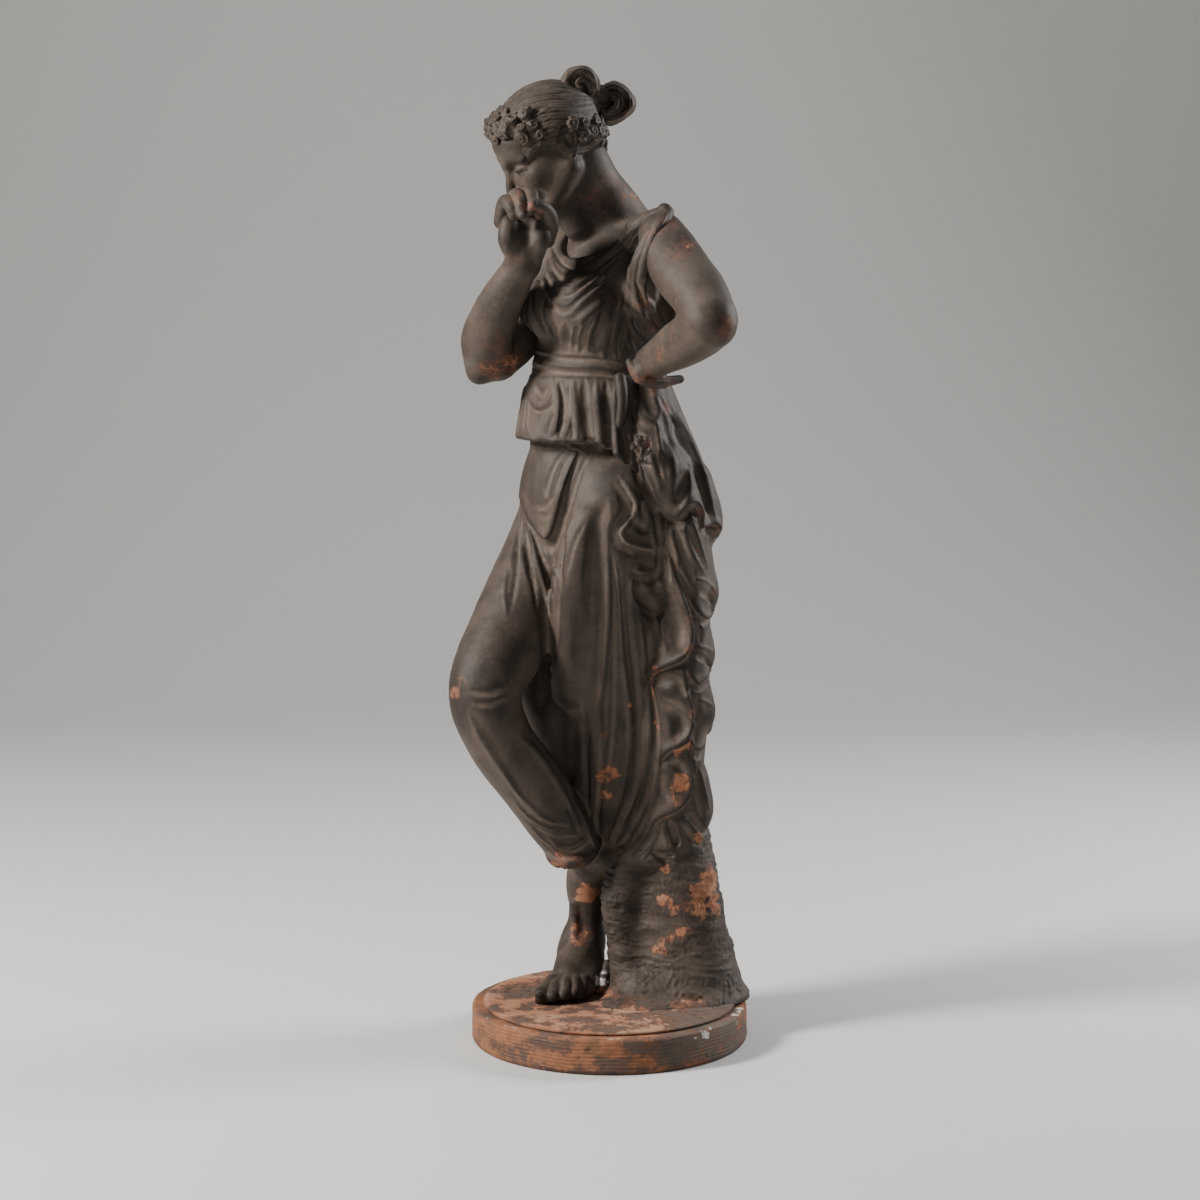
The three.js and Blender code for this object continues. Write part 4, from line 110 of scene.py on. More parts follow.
def curve(rows, n):
    "a smooth curve through rows of numbers, n steps a span"
    Q = np.asarray(rows, float)
    if len(Q) < 3:
        t = np.linspace(0, 1, n + 1)[:, None]
        return Q[0] * (1 - t) + Q[-1] * t
    Q = np.vstack([2 * Q[0] - Q[1], Q, 2 * Q[-1] - Q[-2]])
    t = np.linspace(0, 1, n, endpoint=False)[:, None]
    out = []
    for i in range(1, len(Q) - 2):
        a, b, c, d = Q[i - 1:i + 3]
        out.append(0.5 * (2 * b + (c - a) * t + (2 * a - 5 * b + 4 * c - d) * t * t + (3 * b - a - 3 * c + d) * t ** 3))
    return np.vstack(out + [Q[-2:-1]])


def limb(rows, k=5.0, cut=0, n=7):
    "a tube of changing radius: rows of x, y, z, radius"
    S = curve(rows, n)
    pad = abs(k) + 3 * g.h + 2
    m = S[:, 3].max() + pad
    bl = block(S[:, :3].min(0) - m, S[:, :3].max(0) + m)
    if bl is None:
        return
    sl = bl[0]
    D = np.full(g.F[sl].shape, 60.0, f32)
    for a, b in zip(S[:-1], S[1:]):
        m = max(a[3], b[3]) + pad
        s2 = block(np.minimum(a[:3], b[:3]) - m, np.maximum(a[:3], b[:3]) + m)
        if s2 is None:
            continue
        sub = tuple(slice(s.start - q.start, s.stop - q.start) for s, q in zip(s2[0], sl))
        np.minimum(D[sub], seg(*s2[1:], a[:3], b[:3], a[3], b[3]), out=D[sub])
    put(sl, D, k, cut)


def axes(yaw, pitch=0.0, roll=0.0):
    "left, forward and up of a body turned by yaw, bowed by pitch, leaning by roll (degrees)"
    y, p, r = math.radians(yaw), math.radians(pitch), math.radians(roll)
    f = np.array([-math.sin(y) * math.cos(p), -math.cos(y) * math.cos(p), -math.sin(p)])
    l = np.array([math.cos(y), -math.sin(y), 0.0])
    u = np.array([-math.sin(y) * math.sin(p), -math.cos(y) * math.sin(p), math.cos(p)])
    return np.array([l * math.cos(r) + u * math.sin(r), f, u * math.cos(r) - l * math.sin(r)])


def ell(c, r, k=5.0, A=None, cut=0):
    "an ellipsoid with radii along the three axes A"
    A = np.eye(3) if A is None else np.asarray(A)
    c, r = np.asarray(c, float), np.asarray(r, float)
    m = np.sqrt(((A * r[:, None]) ** 2).sum(0)) + abs(k) + 3 * g.h + 2
    bl = block(c - m, c + m)
    if bl is None:
        return
    sl, X, Y, Z = bl
    px, py, pz = X - f32(c[0]), Y - f32(c[1]), Z - f32(c[2])
    B = (A / r[:, None]).astype(f32)
    q = [px * B[j, 0] + py * B[j, 1] + pz * B[j, 2] for j in range(3)]
    k0 = np.sqrt(q[0] ** 2 + q[1] ** 2 + q[2] ** 2) + f32(1e-6)
    k1 = np.sqrt((q[0] / f32(r[0])) ** 2 + (q[1] / f32(r[1])) ** 2 + (q[2] / f32(r[2])) ** 2) + f32(1e-9)
    put(sl, k0 * (k0 - 1) / k1, k, cut)


def table(x, Y, q):
    "rows Y at places x, read at q, smooth between the rows"
    n = len(x)
    m = np.empty_like(Y)
    dl = (Y[1:] - Y[:-1]) / (x[1:] - x[:-1])[:, None]
    m[0], m[-1] = dl[0], dl[-1]
    w = ((x[1:-1] - x[:-2]) / (x[2:] - x[:-2]))[:, None]
    m[1:-1] = dl[:-1] * (1 - w) + dl[1:] * w
    i = np.clip(np.searchsorted(x, q) - 1, 0, n - 2)
    h = (x[i + 1] - x[i])[:, None]
    t = (q - x[i])[:, None] / h
    return (Y[i] * (1 + 2 * t) * (1 - t) ** 2 + h * m[i] * t * (1 - t) ** 2
            + Y[i + 1] * t * t * (3 - 2 * t) + h * m[i + 1] * t * t * (t - 1))


def stack(rows, k=6.0, cap=4.0, hem=None):
    "oval sections: rows of z, centre x, centre y, half-width, half-depth, yaw; hem = [x, slope, most drop, height]"
    S = np.asarray(sorted(rows), float)
    R = S[:, 3:5].max() + abs(k) + 3 * g.h
    foot, top = S[0, 0], S[-1, 0]
    bl = block([S[:, 1].min() - R, S[:, 2].min() - R, foot - k - 3 * g.h],
               [S[:, 1].max() + R, S[:, 2].max() + R, top + k + 3 * g.h])
    if bl is None:
        return
    sl, X, Y, Z = bl
    par = table(S[:, 0], S[:, 1:], np.clip(Z.ravel(), foot, top)).astype(f32)
    cx, cy, rx, ry, an = (par[:, i][None, None, :] for i in range(5))
    ca, sa = np.cos(np.radians(an)), np.sin(np.radians(an))
    dx, dy = X - cx, Y - cy
    qx, qy = (dx * ca - dy * sa) / rx, (-dx * sa - dy * ca) / ry
    k0 = np.sqrt(qx * qx + qy * qy) + f32(1e-6)
    k1 = np.sqrt((qx / rx) ** 2 + (qy / ry) ** 2) + f32(1e-9)
    edge = f32(foot) if hem is None else f32(hem[3]) - np.clip((X - f32(hem[0])) * f32(hem[1]), 0, f32(hem[2]))
    d = smax(k0 * (k0 - 1) / k1, edge - Z, f32(cap))
    put(sl, smax(d, Z - f32(top), f32(cap)), k)


def at(p):
    "the field between its nodes"
    p = np.atleast_2d(p)
    ij = []
    for i, a in enumerate((g.x, g.y, g.z)):
        q = np.clip((p[:, i] - a[0]) / g.h, 0, len(a) - 1.001)
        j = q.astype(int)
        ij.append((j, q - j))
    (i, a), (j, b), (k, c) = ij
    F = g.F
    return ((F[i, j, k] * (1 - a) + F[i + 1, j, k] * a) * (1 - b) + (F[i, j + 1, k] * (1 - a) + F[i + 1, j + 1, k] * a) * b) * (1 - c) \
        + ((F[i, j, k + 1] * (1 - a) + F[i + 1, j, k + 1] * a) * (1 - b) + (F[i, j + 1, k + 1] * (1 - a) + F[i + 1, j + 1, k + 1] * a) * b) * c


def slope(p, e=2.5):
    "outward direction of the field at points"
    p = np.atleast_2d(p)
    n = np.stack([at(p + v) - at(p - v) for v in np.eye(3) * e], 1)
    return n / (np.linalg.norm(n, axis=1, keepdims=True) + 1e-9)


def reach(o, d, far):
    "first points on lines inside the body (the closest approach where one misses), with outward directions"
    o, d = np.atleast_2d(o).astype(float), np.atleast_2d(d).astype(float)
    t = np.arange(0, far, 1.5)
    p = o[:, None, :] + t[None, :, None] * d[:, None, :]
    f = at(p.reshape(-1, 3)).reshape(len(o), len(t))
    neg = f < 0
    first = np.where(neg.any(1), neg.argmax(1), 0)
    i = np.maximum(first, 1)
    r = np.arange(len(o))
    a, b = f[r, i - 1], f[r, i]
    hit = t[i - 1] + 1.5 * a / np.where(np.abs(a - b) < 1e-6, 1, a - b)
    s = np.where(first > 0, hit, t[f.argmin(1)])
    q = o + s[:, None] * d
    return np.hstack([q, slope(q)])


def front(pts, n=5):
    "a curve drawn on the front elevation (x, z) and pressed onto the form along Y"
    c = curve(pts, n)
    o = np.stack([c[:, 0], np.full(len(c), -175.0), c[:, 1]], 1)
    return reach(o, np.tile([0.0, 1.0, 0.0], (len(c), 1)), 330)


def around(cx, cy, pts, n=5):
    "a curve drawn round an upright axis (degrees from the front toward +X, z)"
    c = curve(pts, n)
    a = np.radians(c[:, 0])
    s, co = np.sin(a), -np.cos(a)
    o = np.stack([cx + 160 * s, cy + 160 * co, c[:, 1]], 1)
    return reach(o, np.stack([-s, -co, 0 * s], 1), 160)


def ridge(path, w, up, k=2.0, cut=0, ends=0.25):
    "a fold along a pressed curve: a crisp crest (a crease when cut), w its breadth, up its height"
    n = len(path) - 1
    t = np.arange(n + 1) / n
    e = np.minimum(1.0, np.minimum(t, 1 - t) / ends + 0.05) ** 0.7
    S = np.hstack([path[:, :3], e[:, None]])
    W = w * 1.15 + k * 1.3
    m = W + 2 * g.h
    bl = block(S[:, :3].min(0) - m, S[:, :3].max(0) + m)
    if bl is None:
        return
    sl = bl[0]
    B = np.zeros(g.F[sl].shape, f32)
    for a, b in zip(S[:-1], S[1:]):
        s2 = block(np.minimum(a[:3], b[:3]) - m, np.maximum(a[:3], b[:3]) + m)
        if s2 is None:
            continue
        sb, X, Y, Z = s2
        sub = tuple(slice(q.start - r.start, q.stop - r.start) for q, r in zip(sb, sl))
        ba = b - a
        l2 = float(ba[:3] @ ba[:3]) + 1e-9
        px, py, pz = X - f32(a[0]), Y - f32(a[1]), Z - f32(a[2])
        q = np.clip((px * f32(ba[0]) + py * f32(ba[1]) + pz * f32(ba[2])) * f32(1 / l2), 0, 1)
        dx, dy, dz = px - q * f32(ba[0]), py - q * f32(ba[1]), pz - q * f32(ba[2])
        e = f32(a[3]) + q * f32(ba[3])
        d = np.sqrt(dx * dx + dy * dy + dz * dz + f32(0.25)) / (f32(W) * (f32(0.35) + f32(0.65) * e))
        v = np.clip(1 - d, 0, 1)
        np.maximum(B[sub], v * v * (f32(1.35) - f32(0.35) * v) * e, out=B[sub])
    g.F[sl] += f32(up * 1.25 if cut else -up * 1.35) * B


def lap(path, w, up, k=0.8, ends=0.2, low=0.8):
    "the edge of one layer lying over another: raised on the left of the way the path runs, dropped on its right"
    n = len(path) - 1
    t = np.arange(n + 1) / n
    e = np.minimum(1.0, np.minimum(t, 1 - t) / ends + 0.05) ** 0.7
    S = np.hstack([path[:, :6], e[:, None]])
    m = w + 2 * g.h
    bl = block(S[:, :3].min(0) - m, S[:, :3].max(0) + m)
    if bl is None:
        return
    sl = bl[0]
    D = np.full(g.F[sl].shape, 1e3, f32)
    B = np.zeros(g.F[sl].shape, f32)
    for a, b in zip(S[:-1], S[1:]):
        s2 = block(np.minimum(a[:3], b[:3]) - m, np.maximum(a[:3], b[:3]) + m)
        if s2 is None:
            continue
        sb, X, Y, Z = s2
        sub = tuple(slice(q.start - r.start, q.stop - r.start) for q, r in zip(sb, sl))
        ba = b - a
        l2 = float(ba[:3] @ ba[:3]) + 1e-9
        side = np.cross((a[3:6] + b[3:6]) / 2, ba[:3])
        side /= np.linalg.norm(side) + 1e-9
        px, py, pz = X - f32(a[0]), Y - f32(a[1]), Z - f32(a[2])
        q = np.clip((px * f32(ba[0]) + py * f32(ba[1]) + pz * f32(ba[2])) * f32(1 / l2), 0, 1)
        dx, dy, dz = px - q * f32(ba[0]), py - q * f32(ba[1]), pz - q * f32(ba[2])
        d = np.sqrt(dx * dx + dy * dy + dz * dz)
        v = np.clip(1 - d / f32(w), 0, 1)
        v = v * v * (f32(a[6]) + q * f32(ba[6])) * np.clip((dx * f32(side[0]) + dy * f32(side[1]) + dz * f32(side[2])) / f32(k), -1, 1)
        closer = d < D[sub]
        D[sub] = np.where(closer, d, D[sub])
        B[sub] = np.where(closer, v, B[sub])
    g.F[sl] -= f32(up * 1.35) * np.where(B > 0, B, B * f32(low))


def groove(path, w, deep, k=2.0, ends=0.25):
    ridge(path, w, deep, k, 1, ends)


def hole(path, w, deep, k=0.8, ends=0.2):
    "a hollow under the surface along a pressed curve, opening through it with crisp edges"
    n = len(path) - 1
    t = np.arange(n + 1) / n
    e = np.minimum(1.0, np.minimum(t, 1 - t) / ends + 0.15) ** 0.6
    limb(np.hstack([path[:, :3] - path[:, 3:6] * (deep * e)[:, None], (w * e)[:, None]]), k, 1, 1)


def level(z):
    "cuts the form off flat at a height, keeping what is above"
    np.maximum(g.F, f32(z) - g.z[None, None, :], out=g.F)


def press(c, pts, n=5):
    "a curve pressed onto the form toward a centre"
    q = curve([p[:3] for p in pts], n)
    d = q - np.asarray(c, float)
    d /= np.linalg.norm(d, axis=1, keepdims=True) + 1e-9
    return reach(np.asarray(c, float) + d * 110, -d, 109)


def curl(c, q, r, w, k=0.8, turn=1.0, start=0.0, rise=0.6):
    "a lock of hair rolled up into a small spiral, lying on the form"
    s = press(c, [q, q], 1)[0]
    p, nn = s[:3], s[3:]
    a = np.cross(nn, [0.0, 0.0, 1.0])
    a /= np.linalg.norm(a) + 1e-9
    b = np.cross(nn, a)
    rows = []
    for i in range(11):
        t = i / 10
        an, rr = start + turn * t * 8.2, r * (1 - 0.78 * t)
        rows.append([*(p + a * rr * math.cos(an) + b * rr * math.sin(an) + nn * (w * rise + t * w * 0.9)), w * (1 - 0.35 * t)])
    ell(p - nn * 0.5 * r, [r * 1.05] * 3, 1.2)
    limb(rows, k, 0, 2)
    limb([[*(p + nn * (w * 1.6)), w * 0.45], [*(p + nn * (w * 3)), w * 0.45]], 0.4, 1)


def skin_of():
    "points and faces of the field's surface"
    F = np.clip(g.F, -3 * g.h, 3 * g.h)
    for a in range(3):
        s = [slice(None)] * 3
        for e in (0, -1):
            s[a] = e
            F[tuple(s)] = 3 * g.h
    grid = openvdb.FloatGrid(float(3 * g.h))
    grid.copyFromArray(np.ascontiguousarray(F))
    pts, tri, quad = grid.convertToPolygons(0.0, 0.0)
    pts = np.asarray(pts, float)
    lo = np.array([g.x[0], g.y[0], g.z[0]])
    return lo + pts * g.h, np.asarray(tri), np.asarray(quad)


# ---------------------------------------------------------------- the carved forms
# where the head is and how it is bowed, and a place on it: left, forward, up
HC = [-49.9, 8, 739.5]
HA = axes(76, 31, -6)
def hd(l, f, u, *r):
    l, f, u = 0.94 * l, 0.94 * f, 0.94 * u
    return [HC[0] + l * HA[0][0] + f * HA[1][0] + u * HA[2][0], HC[1] + l * HA[0][1] + f * HA[1][1] + u * HA[2][1], HC[2] + l * HA[0][2] + f * HA[1][2] + u * HA[2][2], *r]


def skirt():
    "legs, skirt and the gathered mantle"
    # ---- the standing leg under the skirt
    limb([[10.3, 2, 450.3, 44], [1.3, 12, 366.6, 43], [-2.7, 26, 289.1, 36], [-6.1, 34, 241.1, 34], [-9.5, 42, 192.6, 30], [-11.2, 48, 148.2, 24], [-10.3, 50, 133.8, 20]], 6, 0, 14)
    # ---- the bent leg
    limb([[-30.6, 66, 441, 41], [-52.2, 46, 396.4, 38.5], [-78, 8, 346.2, 36], [-100.8, -26, 298.7, 30.5], [-90.5, -22, 256.7, 27.5], [-64.8, -8, 217.4, 27], [-41.1, 6, 178.4, 24.5], [-30.3, 12, 161, 21]], 8, 0, 18)
    # ---- cloth hanging between the legs
    limb([[-29.7, 58, 395.1, 33], [-48.3, 56, 335.9, 31], [-53.4, 50, 285.5, 30], [-41.6, 46, 234.8, 26], [-24.7, 44, 183.6, 19]], 6, 0, 14)
    # ---- the thigh that shows through the skirt
    limb([[-15.1, -22, 442.4, 14], [-20.8, -21, 415.5, 19], [-26.5, -16, 378.1, 21.5], [-29.9, -7, 335.7, 21], [-30.2, 8, 291.9, 18]], 7)
    # ---- pelvis, and the cloth over the seat and behind the thighs
    stack([[395,-14,34,50,46,50],[425,-16,34,58,53,50],[455,-18,34,60,55,50],[490,-14,35,57,49,50],[512,-11,33,52,42,50]], 8)
    ell([-26,68,420], [44,34,50], 14, axes(50))
    ell([26,56,424], [42,34,50], 14, axes(50))
    limb([[-34,74,400,36],[-36,72,330,34],[-24,66,250,30],[-6,62,180,26]], 14)
    # ---- skirt behind and beside the standing leg
    stack([[131,30,46,38,41,20],[146,30,46,42,44,20],[200,31,44,44,44,20],[260,34,40,48,42,20],[330,37,38,46,43,25],[390,38,38,44,45,30],[440,33,37,47,48,40],[480,26,34,50,46,45]], 10, 8)
    # ---- bunched end of the mantle at the standing hip
    limb([[24.9, 6, 549.9, 16], [29.6, -8, 535.8, 17], [34.3, -20, 500.7, 17], [46.5, -24, 472.6, 19], [57.3, -16, 435.4, 21], [59.4, -8, 385.4, 22], [58.1, -2, 335, 23], [58.5, 4, 284.1, 22], [55.5, 8, 233, 21], [54.1, 12, 188.2, 21], [55.9, 14, 169.1, 16]], 8)
    limb([[31.6, 16, 551.2, 14], [38.1, 10, 538.3, 14], [54.3, 0, 499.6, 14], [65.9, 0, 471, 14], [75.1, 2, 442.1, 13]], 8)
    # outer lobes of the fall
    limb([[70.8, 0, 466.9, 13], [76.7, 2, 445.4, 14], [79.3, 2, 430.6, 14], [77.7, 4, 420.5, 10]], 5)
    limb([[67.8, 2, 425.6, 14], [71.3, 4, 395.7, 15], [74.7, 5, 374, 15.5], [74.7, 5, 362.4, 12]], 4)
    limb([[66.5, 4, 364.2, 13], [69.9, 6, 342.3, 14], [74.1, 6, 322.3, 13.5], [72.5, 6, 312.3, 11]], 4)
    limb([[65.1, 6, 313.9, 14], [69.4, 8, 291.9, 15], [73.6, 8, 273.4, 14.5], [70.3, 8, 260, 11]], 4)
    limb([[63.7, 10, 263, 15], [63.9, 12, 239, 13], [67.4, 14, 210.8, 17], [69.2, 15, 189.3, 18], [66.7, 15, 175.7, 14]], 5)
    # ---- lower edge of the skirt, rolled in toward the trunk
    limb([[-7.8, 28, 147.3, 12], [5.7, 16, 145.6, 11.5], [25.7, 8, 145.7, 11.5], [45.7, 8, 155.1, 13], [62.5, 12, 161, 14]], 6)
    # ---- loops of the tie at the standing hip
    limb([[8.4, -24, 550.9, 5], [9.9, -28, 539.8, 5], [9.9, -31, 527.1, 4.4], [8.3, -33, 514.3, 3.6]], 3)
    # ---- strips of the mantle running down over the hip, with the valleys between them
    groove(front([[29.3, 544.4], [31.7, 531.8], [37.3, 520.6]]), 4, 6.3, 1.6)
    groove(front([[43, 522.1], [46.2, 508.5], [50.1, 496.7]]), 4, 6.3, 1.6)
    groove(front([[61.5, 477.4], [58.1, 461.7], [55.8, 447.1]]), 4.5, 6.7, 1.9)
    groove(front([[41.2, 492.2], [44.4, 481.1], [46, 472.3]]), 2, 4.8, 0.8)
    ridge(front([[19.7, 539.5], [18.1, 525.1], [21.2, 514.1], [32.4, 504.9]]), 2, 3.0, 0.8)
    ridge(front([[24.5, 530.1], [24.4, 520.6], [34, 515.9], [40.5, 511.1]]), 2, 2.8, 0.8)
    ridge(front([[37.3, 520.6], [39.6, 501.7], [43.6, 484.2], [45.2, 471.5]]), 1.8, 3.4, 0.7)
    ridge(front([[32.4, 492.2], [35.6, 479.4], [40.4, 466.6], [42.1, 453.5]]), 2, 3.4, 0.8)
    groove(front([[36.4, 493.8], [39.6, 481.1], [42, 469.9]]), 1.8, 3.4, 0.7)
    ridge(front([[57.1, 494.1], [63.6, 481.1], [64.7, 465.3], [63.1, 455]]), 2.4, 3.2, 1.1)
    ridge(front([[50.1, 492.1], [51.6, 477.9], [50, 461.8]]), 2.6, 2.1, 1.6)
    groove(front([[68.7, 482.4], [72.7, 469.5], [76.9, 451.6], [78.5, 440.3]]), 3, 4.4, 1.3)
    ridge(front([[44, 537.8], [57.3, 516.3], [68.8, 495.2], [77.7, 472.5], [82.7, 451.3], [86.9, 434.9]]), 2.4, 2.5, 1.1)
    groove(front([[50.8, 529.3], [60.5, 511.5], [68.7, 496.9]]), 2, 2.5, 1.0)
    groove(front([[39.8, 536.4], [47.2, 523.3], [53.9, 510]]), 2, 2.5, 1.0)
    # the rosette of the knotted end
    ell([25.7, -52, 497.7], [9,6,8], 3, axes(40))
    for i in range(5):
        an = 1.25 * i + 0.4
        limb([[25.7, -57, 498, 2], [25.6 + 0.79 * (0+6*math.cos(an)), -60, 498.2 - 0.79 * (0+6*math.sin(an)), 2.2], [25.7 + 0.80 * (0+10*math.cos(an)), -57, 498 - 0.80 * (0+10*math.sin(an)), 2], [25.7 + 0.80 * (0+9*math.cos(an+0.5)), -54, 497.9 - 0.80 * (0+9*math.sin(an+0.5)), 1.6]], 0.9)
    ell([28.7, -62, 498.3], [4,4,5], 0.8, axes(30), 1)
    ell([21.6, -61, 495.1], [2.6,4,4], 0.8, axes(30), 1)
    limb([[22.5, -54, 489.9, 2.2], [25, -52, 480.2, 2.6], [26.6, -50, 470.4, 1.6]], 1.4)
    groove(front([[19.7, 483.4], [22, 474.1], [24.4, 464.7]]), 2, 4.4, 0.8)
    # the fall's first edge: a tube's mouth, a lap, and the lobe at the side
    groove(front([[30.1, 456.6], [36.6, 443.4], [47.1, 433.8], [56.7, 434], [64, 442]]), 3.4, 5.8, 1.6)
    lap(front([[24, 490.2], [29.2, 477.5], [34.1, 464.7], [38.1, 453.4], [43.8, 444.4], [52.6, 439.7], [59.1, 443.8], [63.1, 449.4], [68.9, 449.9], [73.9, 442.1], [74, 431.7]]), 13, 4.9)
    hole(front([[38.3, 446.5], [44.8, 438.3], [53.6, 435.3], [60.8, 440.3], [66.5, 445], [69.8, 438.4]]), 2.8, 0.6)
    groove(front([[76.5, 426.5], [83.7, 423.4], [88.3, 417.4]]), 2.4, 4.4, 1.0)
    lap(front([[74, 429.2], [80.2, 431.1], [86.9, 430.8], [91.4, 424.3]]), 9, 3.9)
    # ---- valleys and blades under the hip fall
    groove(front([[36.7, 446.4], [39.1, 435], [42.5, 415.2]]), 2.8, 7.1, 1.1)
    groove(front([[25.2, 453.6], [28.5, 438.8], [27, 424.1]]), 3.2, 7.1, 1.3)
    ridge(front([[30.9, 453.2], [33.4, 436.9], [36.8, 416], [36.9, 403.6]]), 1.8, 3.9, 0.6)
    ridge(front([[40, 442.9], [43.2, 436.5], [40.9, 420]]), 1.6, 3.0, 0.6)
    groove(front([[45.6, 436.5], [45.6, 427.1], [44.1, 418.6]]), 1.8, 4.4, 0.6)
    ridge(front([[48, 435], [51.2, 422.4], [55.3, 407.7], [56.2, 392.8]]), 1.8, 3.9, 0.6)
    groove(front([[53.6, 432], [57.7, 415.9], [63.5, 399.4], [68.5, 384.3]]), 3, 7.8, 1.1)
    ridge(front([[59.2, 433.8], [64.2, 416.7], [70.9, 402.4], [78.6, 389.9]]), 1.6, 3.4, 0.6)
    groove(front([[63.2, 433.9], [68.2, 419], [74.2, 405.4]]), 2, 5.2, 0.7)
    ridge(front([[66.5, 437], [72.4, 420.4], [77.6, 403.3], [81.4, 390.7]]), 1.6, 3.2, 0.6)
    groove(front([[44.1, 413.7], [46.6, 402.3], [49.9, 386]]), 2.4, 6.3, 1.0)
    # inner zigzag edge
    groove(front([[3.5, 466.4], [11.5, 453.8], [13.1, 442.4], [4.3, 429.4], [5.9, 417.9], [18.1, 409.6]]), 3.6, 5.8, 1.9)
    lap(front([[9.1, 469.6], [15.5, 460.1], [20.4, 450.5], [18.8, 442.4], [13.2, 434.2], [9.2, 427.7], [12.4, 420.4], [22.1, 415.2], [35.2, 412]]), 10, 4.4)
    groove(front([[17.2, 442.2], [22, 434.2], [31, 427.2]]), 3.6, 6.7, 1.6)
    ridge(front([[24.4, 461.5], [25.2, 451.9], [22.8, 442.5], [17.2, 435.9]]), 1.5, 3.2, 0.6)
    groove(front([[18.1, 389.8], [28.8, 386.7], [38.6, 391], [41.8, 403.6]]), 3, 5.8, 1.4)
    lap(front([[18.9, 396.4], [28.7, 393.3], [36.1, 397.7], [38.5, 407.7]]), 9, 4.4)
    # first long loop
    groove(front([[25.5, 384.2], [28, 372.5], [34.7, 361.6], [44.4, 359.1]]), 5, 8.6, 3.2)
    ridge(front([[24.6, 399.5], [19.8, 390.4], [18.2, 379.8], [21.5, 369.5], [29.8, 361.5], [41.3, 358.9]]), 1.6, 3.4, 0.6)
    groove(front([[39.5, 383.5], [46.8, 365.9], [54.9, 348.1], [56.6, 333.1]]), 6, 10.1, 4.0)
    groove(front([[36.5, 356.1], [39.7, 340.2], [44.6, 325.8]]), 3, 5.2, 1.6)
    lap(front([[30.2, 292], [31.8, 302.2], [38.2, 310.4], [49.5, 316.1], [59.2, 320.6], [65.7, 328.8], [68.9, 341.1], [66.3, 357.9], [60.4, 376.3], [53, 394.4], [47.3, 413.9]]), 12, 4.7)
    ridge(front([[47.3, 410.7], [53, 392.8], [59.5, 375], [65.3, 356.7], [67.1, 341.6], [63.9, 330.1], [57.4, 323.5], [47.7, 319], [38.1, 313.7]]), 1.6, 3.0, 0.6)
    ridge(front([[42, 352.2], [45.3, 337.6], [48.6, 327]]), 1.5, 3.0, 0.6)
    # second loop
    groove(front([[36.7, 300.6], [47.1, 304.1], [56.9, 301.2], [62.7, 291]]), 4.4, 8.0, 2.4)
    groove(front([[43.2, 286.7], [53, 279.1], [59.6, 267.3], [54.7, 255.5]]), 5.6, 10.1, 3.2)
    lap(front([[41.8, 227.5], [43.4, 237], [49.9, 244.3], [59.7, 247.8], [67.2, 255.1], [70.4, 269.2], [67.7, 283.9], [63.5, 300.9], [61.7, 314.5]]), 11, 4.7)
    ridge(front([[63.5, 300.9], [66.8, 284.5], [68.6, 270.7], [65.4, 258.9], [58, 251.6], [48.2, 247.2]]), 1.6, 2.8, 0.6)
    ridge(front([[41.6, 286.3], [49.8, 283.2], [58.8, 277.7], [66.2, 271.4]]), 1.4, 2.8, 0.6)
    # third loop
    groove(front([[48.3, 236.3], [55.7, 233.5], [63.2, 224.7]]), 3.4, 7.1, 1.6)
    groove(front([[43.5, 224.2], [43.5, 212.5], [48.4, 202.7]]), 4, 8.0, 2.4)
    lap(front([[33.8, 173.7], [39.5, 183.7], [48.5, 189.8], [58.4, 195.1], [66.7, 206.4], [70.8, 227.1], [69.8, 248.6], [68.7, 258]]), 11, 4.4)
    groove(front([[33.7, 206.1], [27.1, 192.3], [17.2, 176.7]]), 3, 6.7, 1.6)
    # last loop, at the lower hem
    groove(front([[38.8, 154.4], [50.5, 148.8], [66.4, 142.4], [77.5, 153]]), 3, 5.8, 1.3)
    lap(front([[47.2, 149.4], [62.2, 151.6], [74.1, 155.4], [79.2, 162.8], [72.9, 176.2], [62.6, 189.5]]), 10, 4.4)
    hole(front([[50.2, 183.7], [53.6, 173.2], [57, 162.6]]), 4, 1.2)
    groove(front([[61.9, 180.2], [67.9, 170.6], [73, 162.2]]), 2.4, 4.6, 1.1)
    ridge(front([[45.3, 184.7], [46.2, 172.8], [48.7, 161]]), 1.4, 3.4, 0.6)
    hole(front([[35.5, 157.5], [43.8, 154.3], [53.7, 154.4]]), 2.8, 0.8, 1.2)
    ridge(front([[28.8, 149.2], [38.8, 151.1], [47.2, 144.9], [48.4, 133.7]]), 2, 3.4, 0.7)
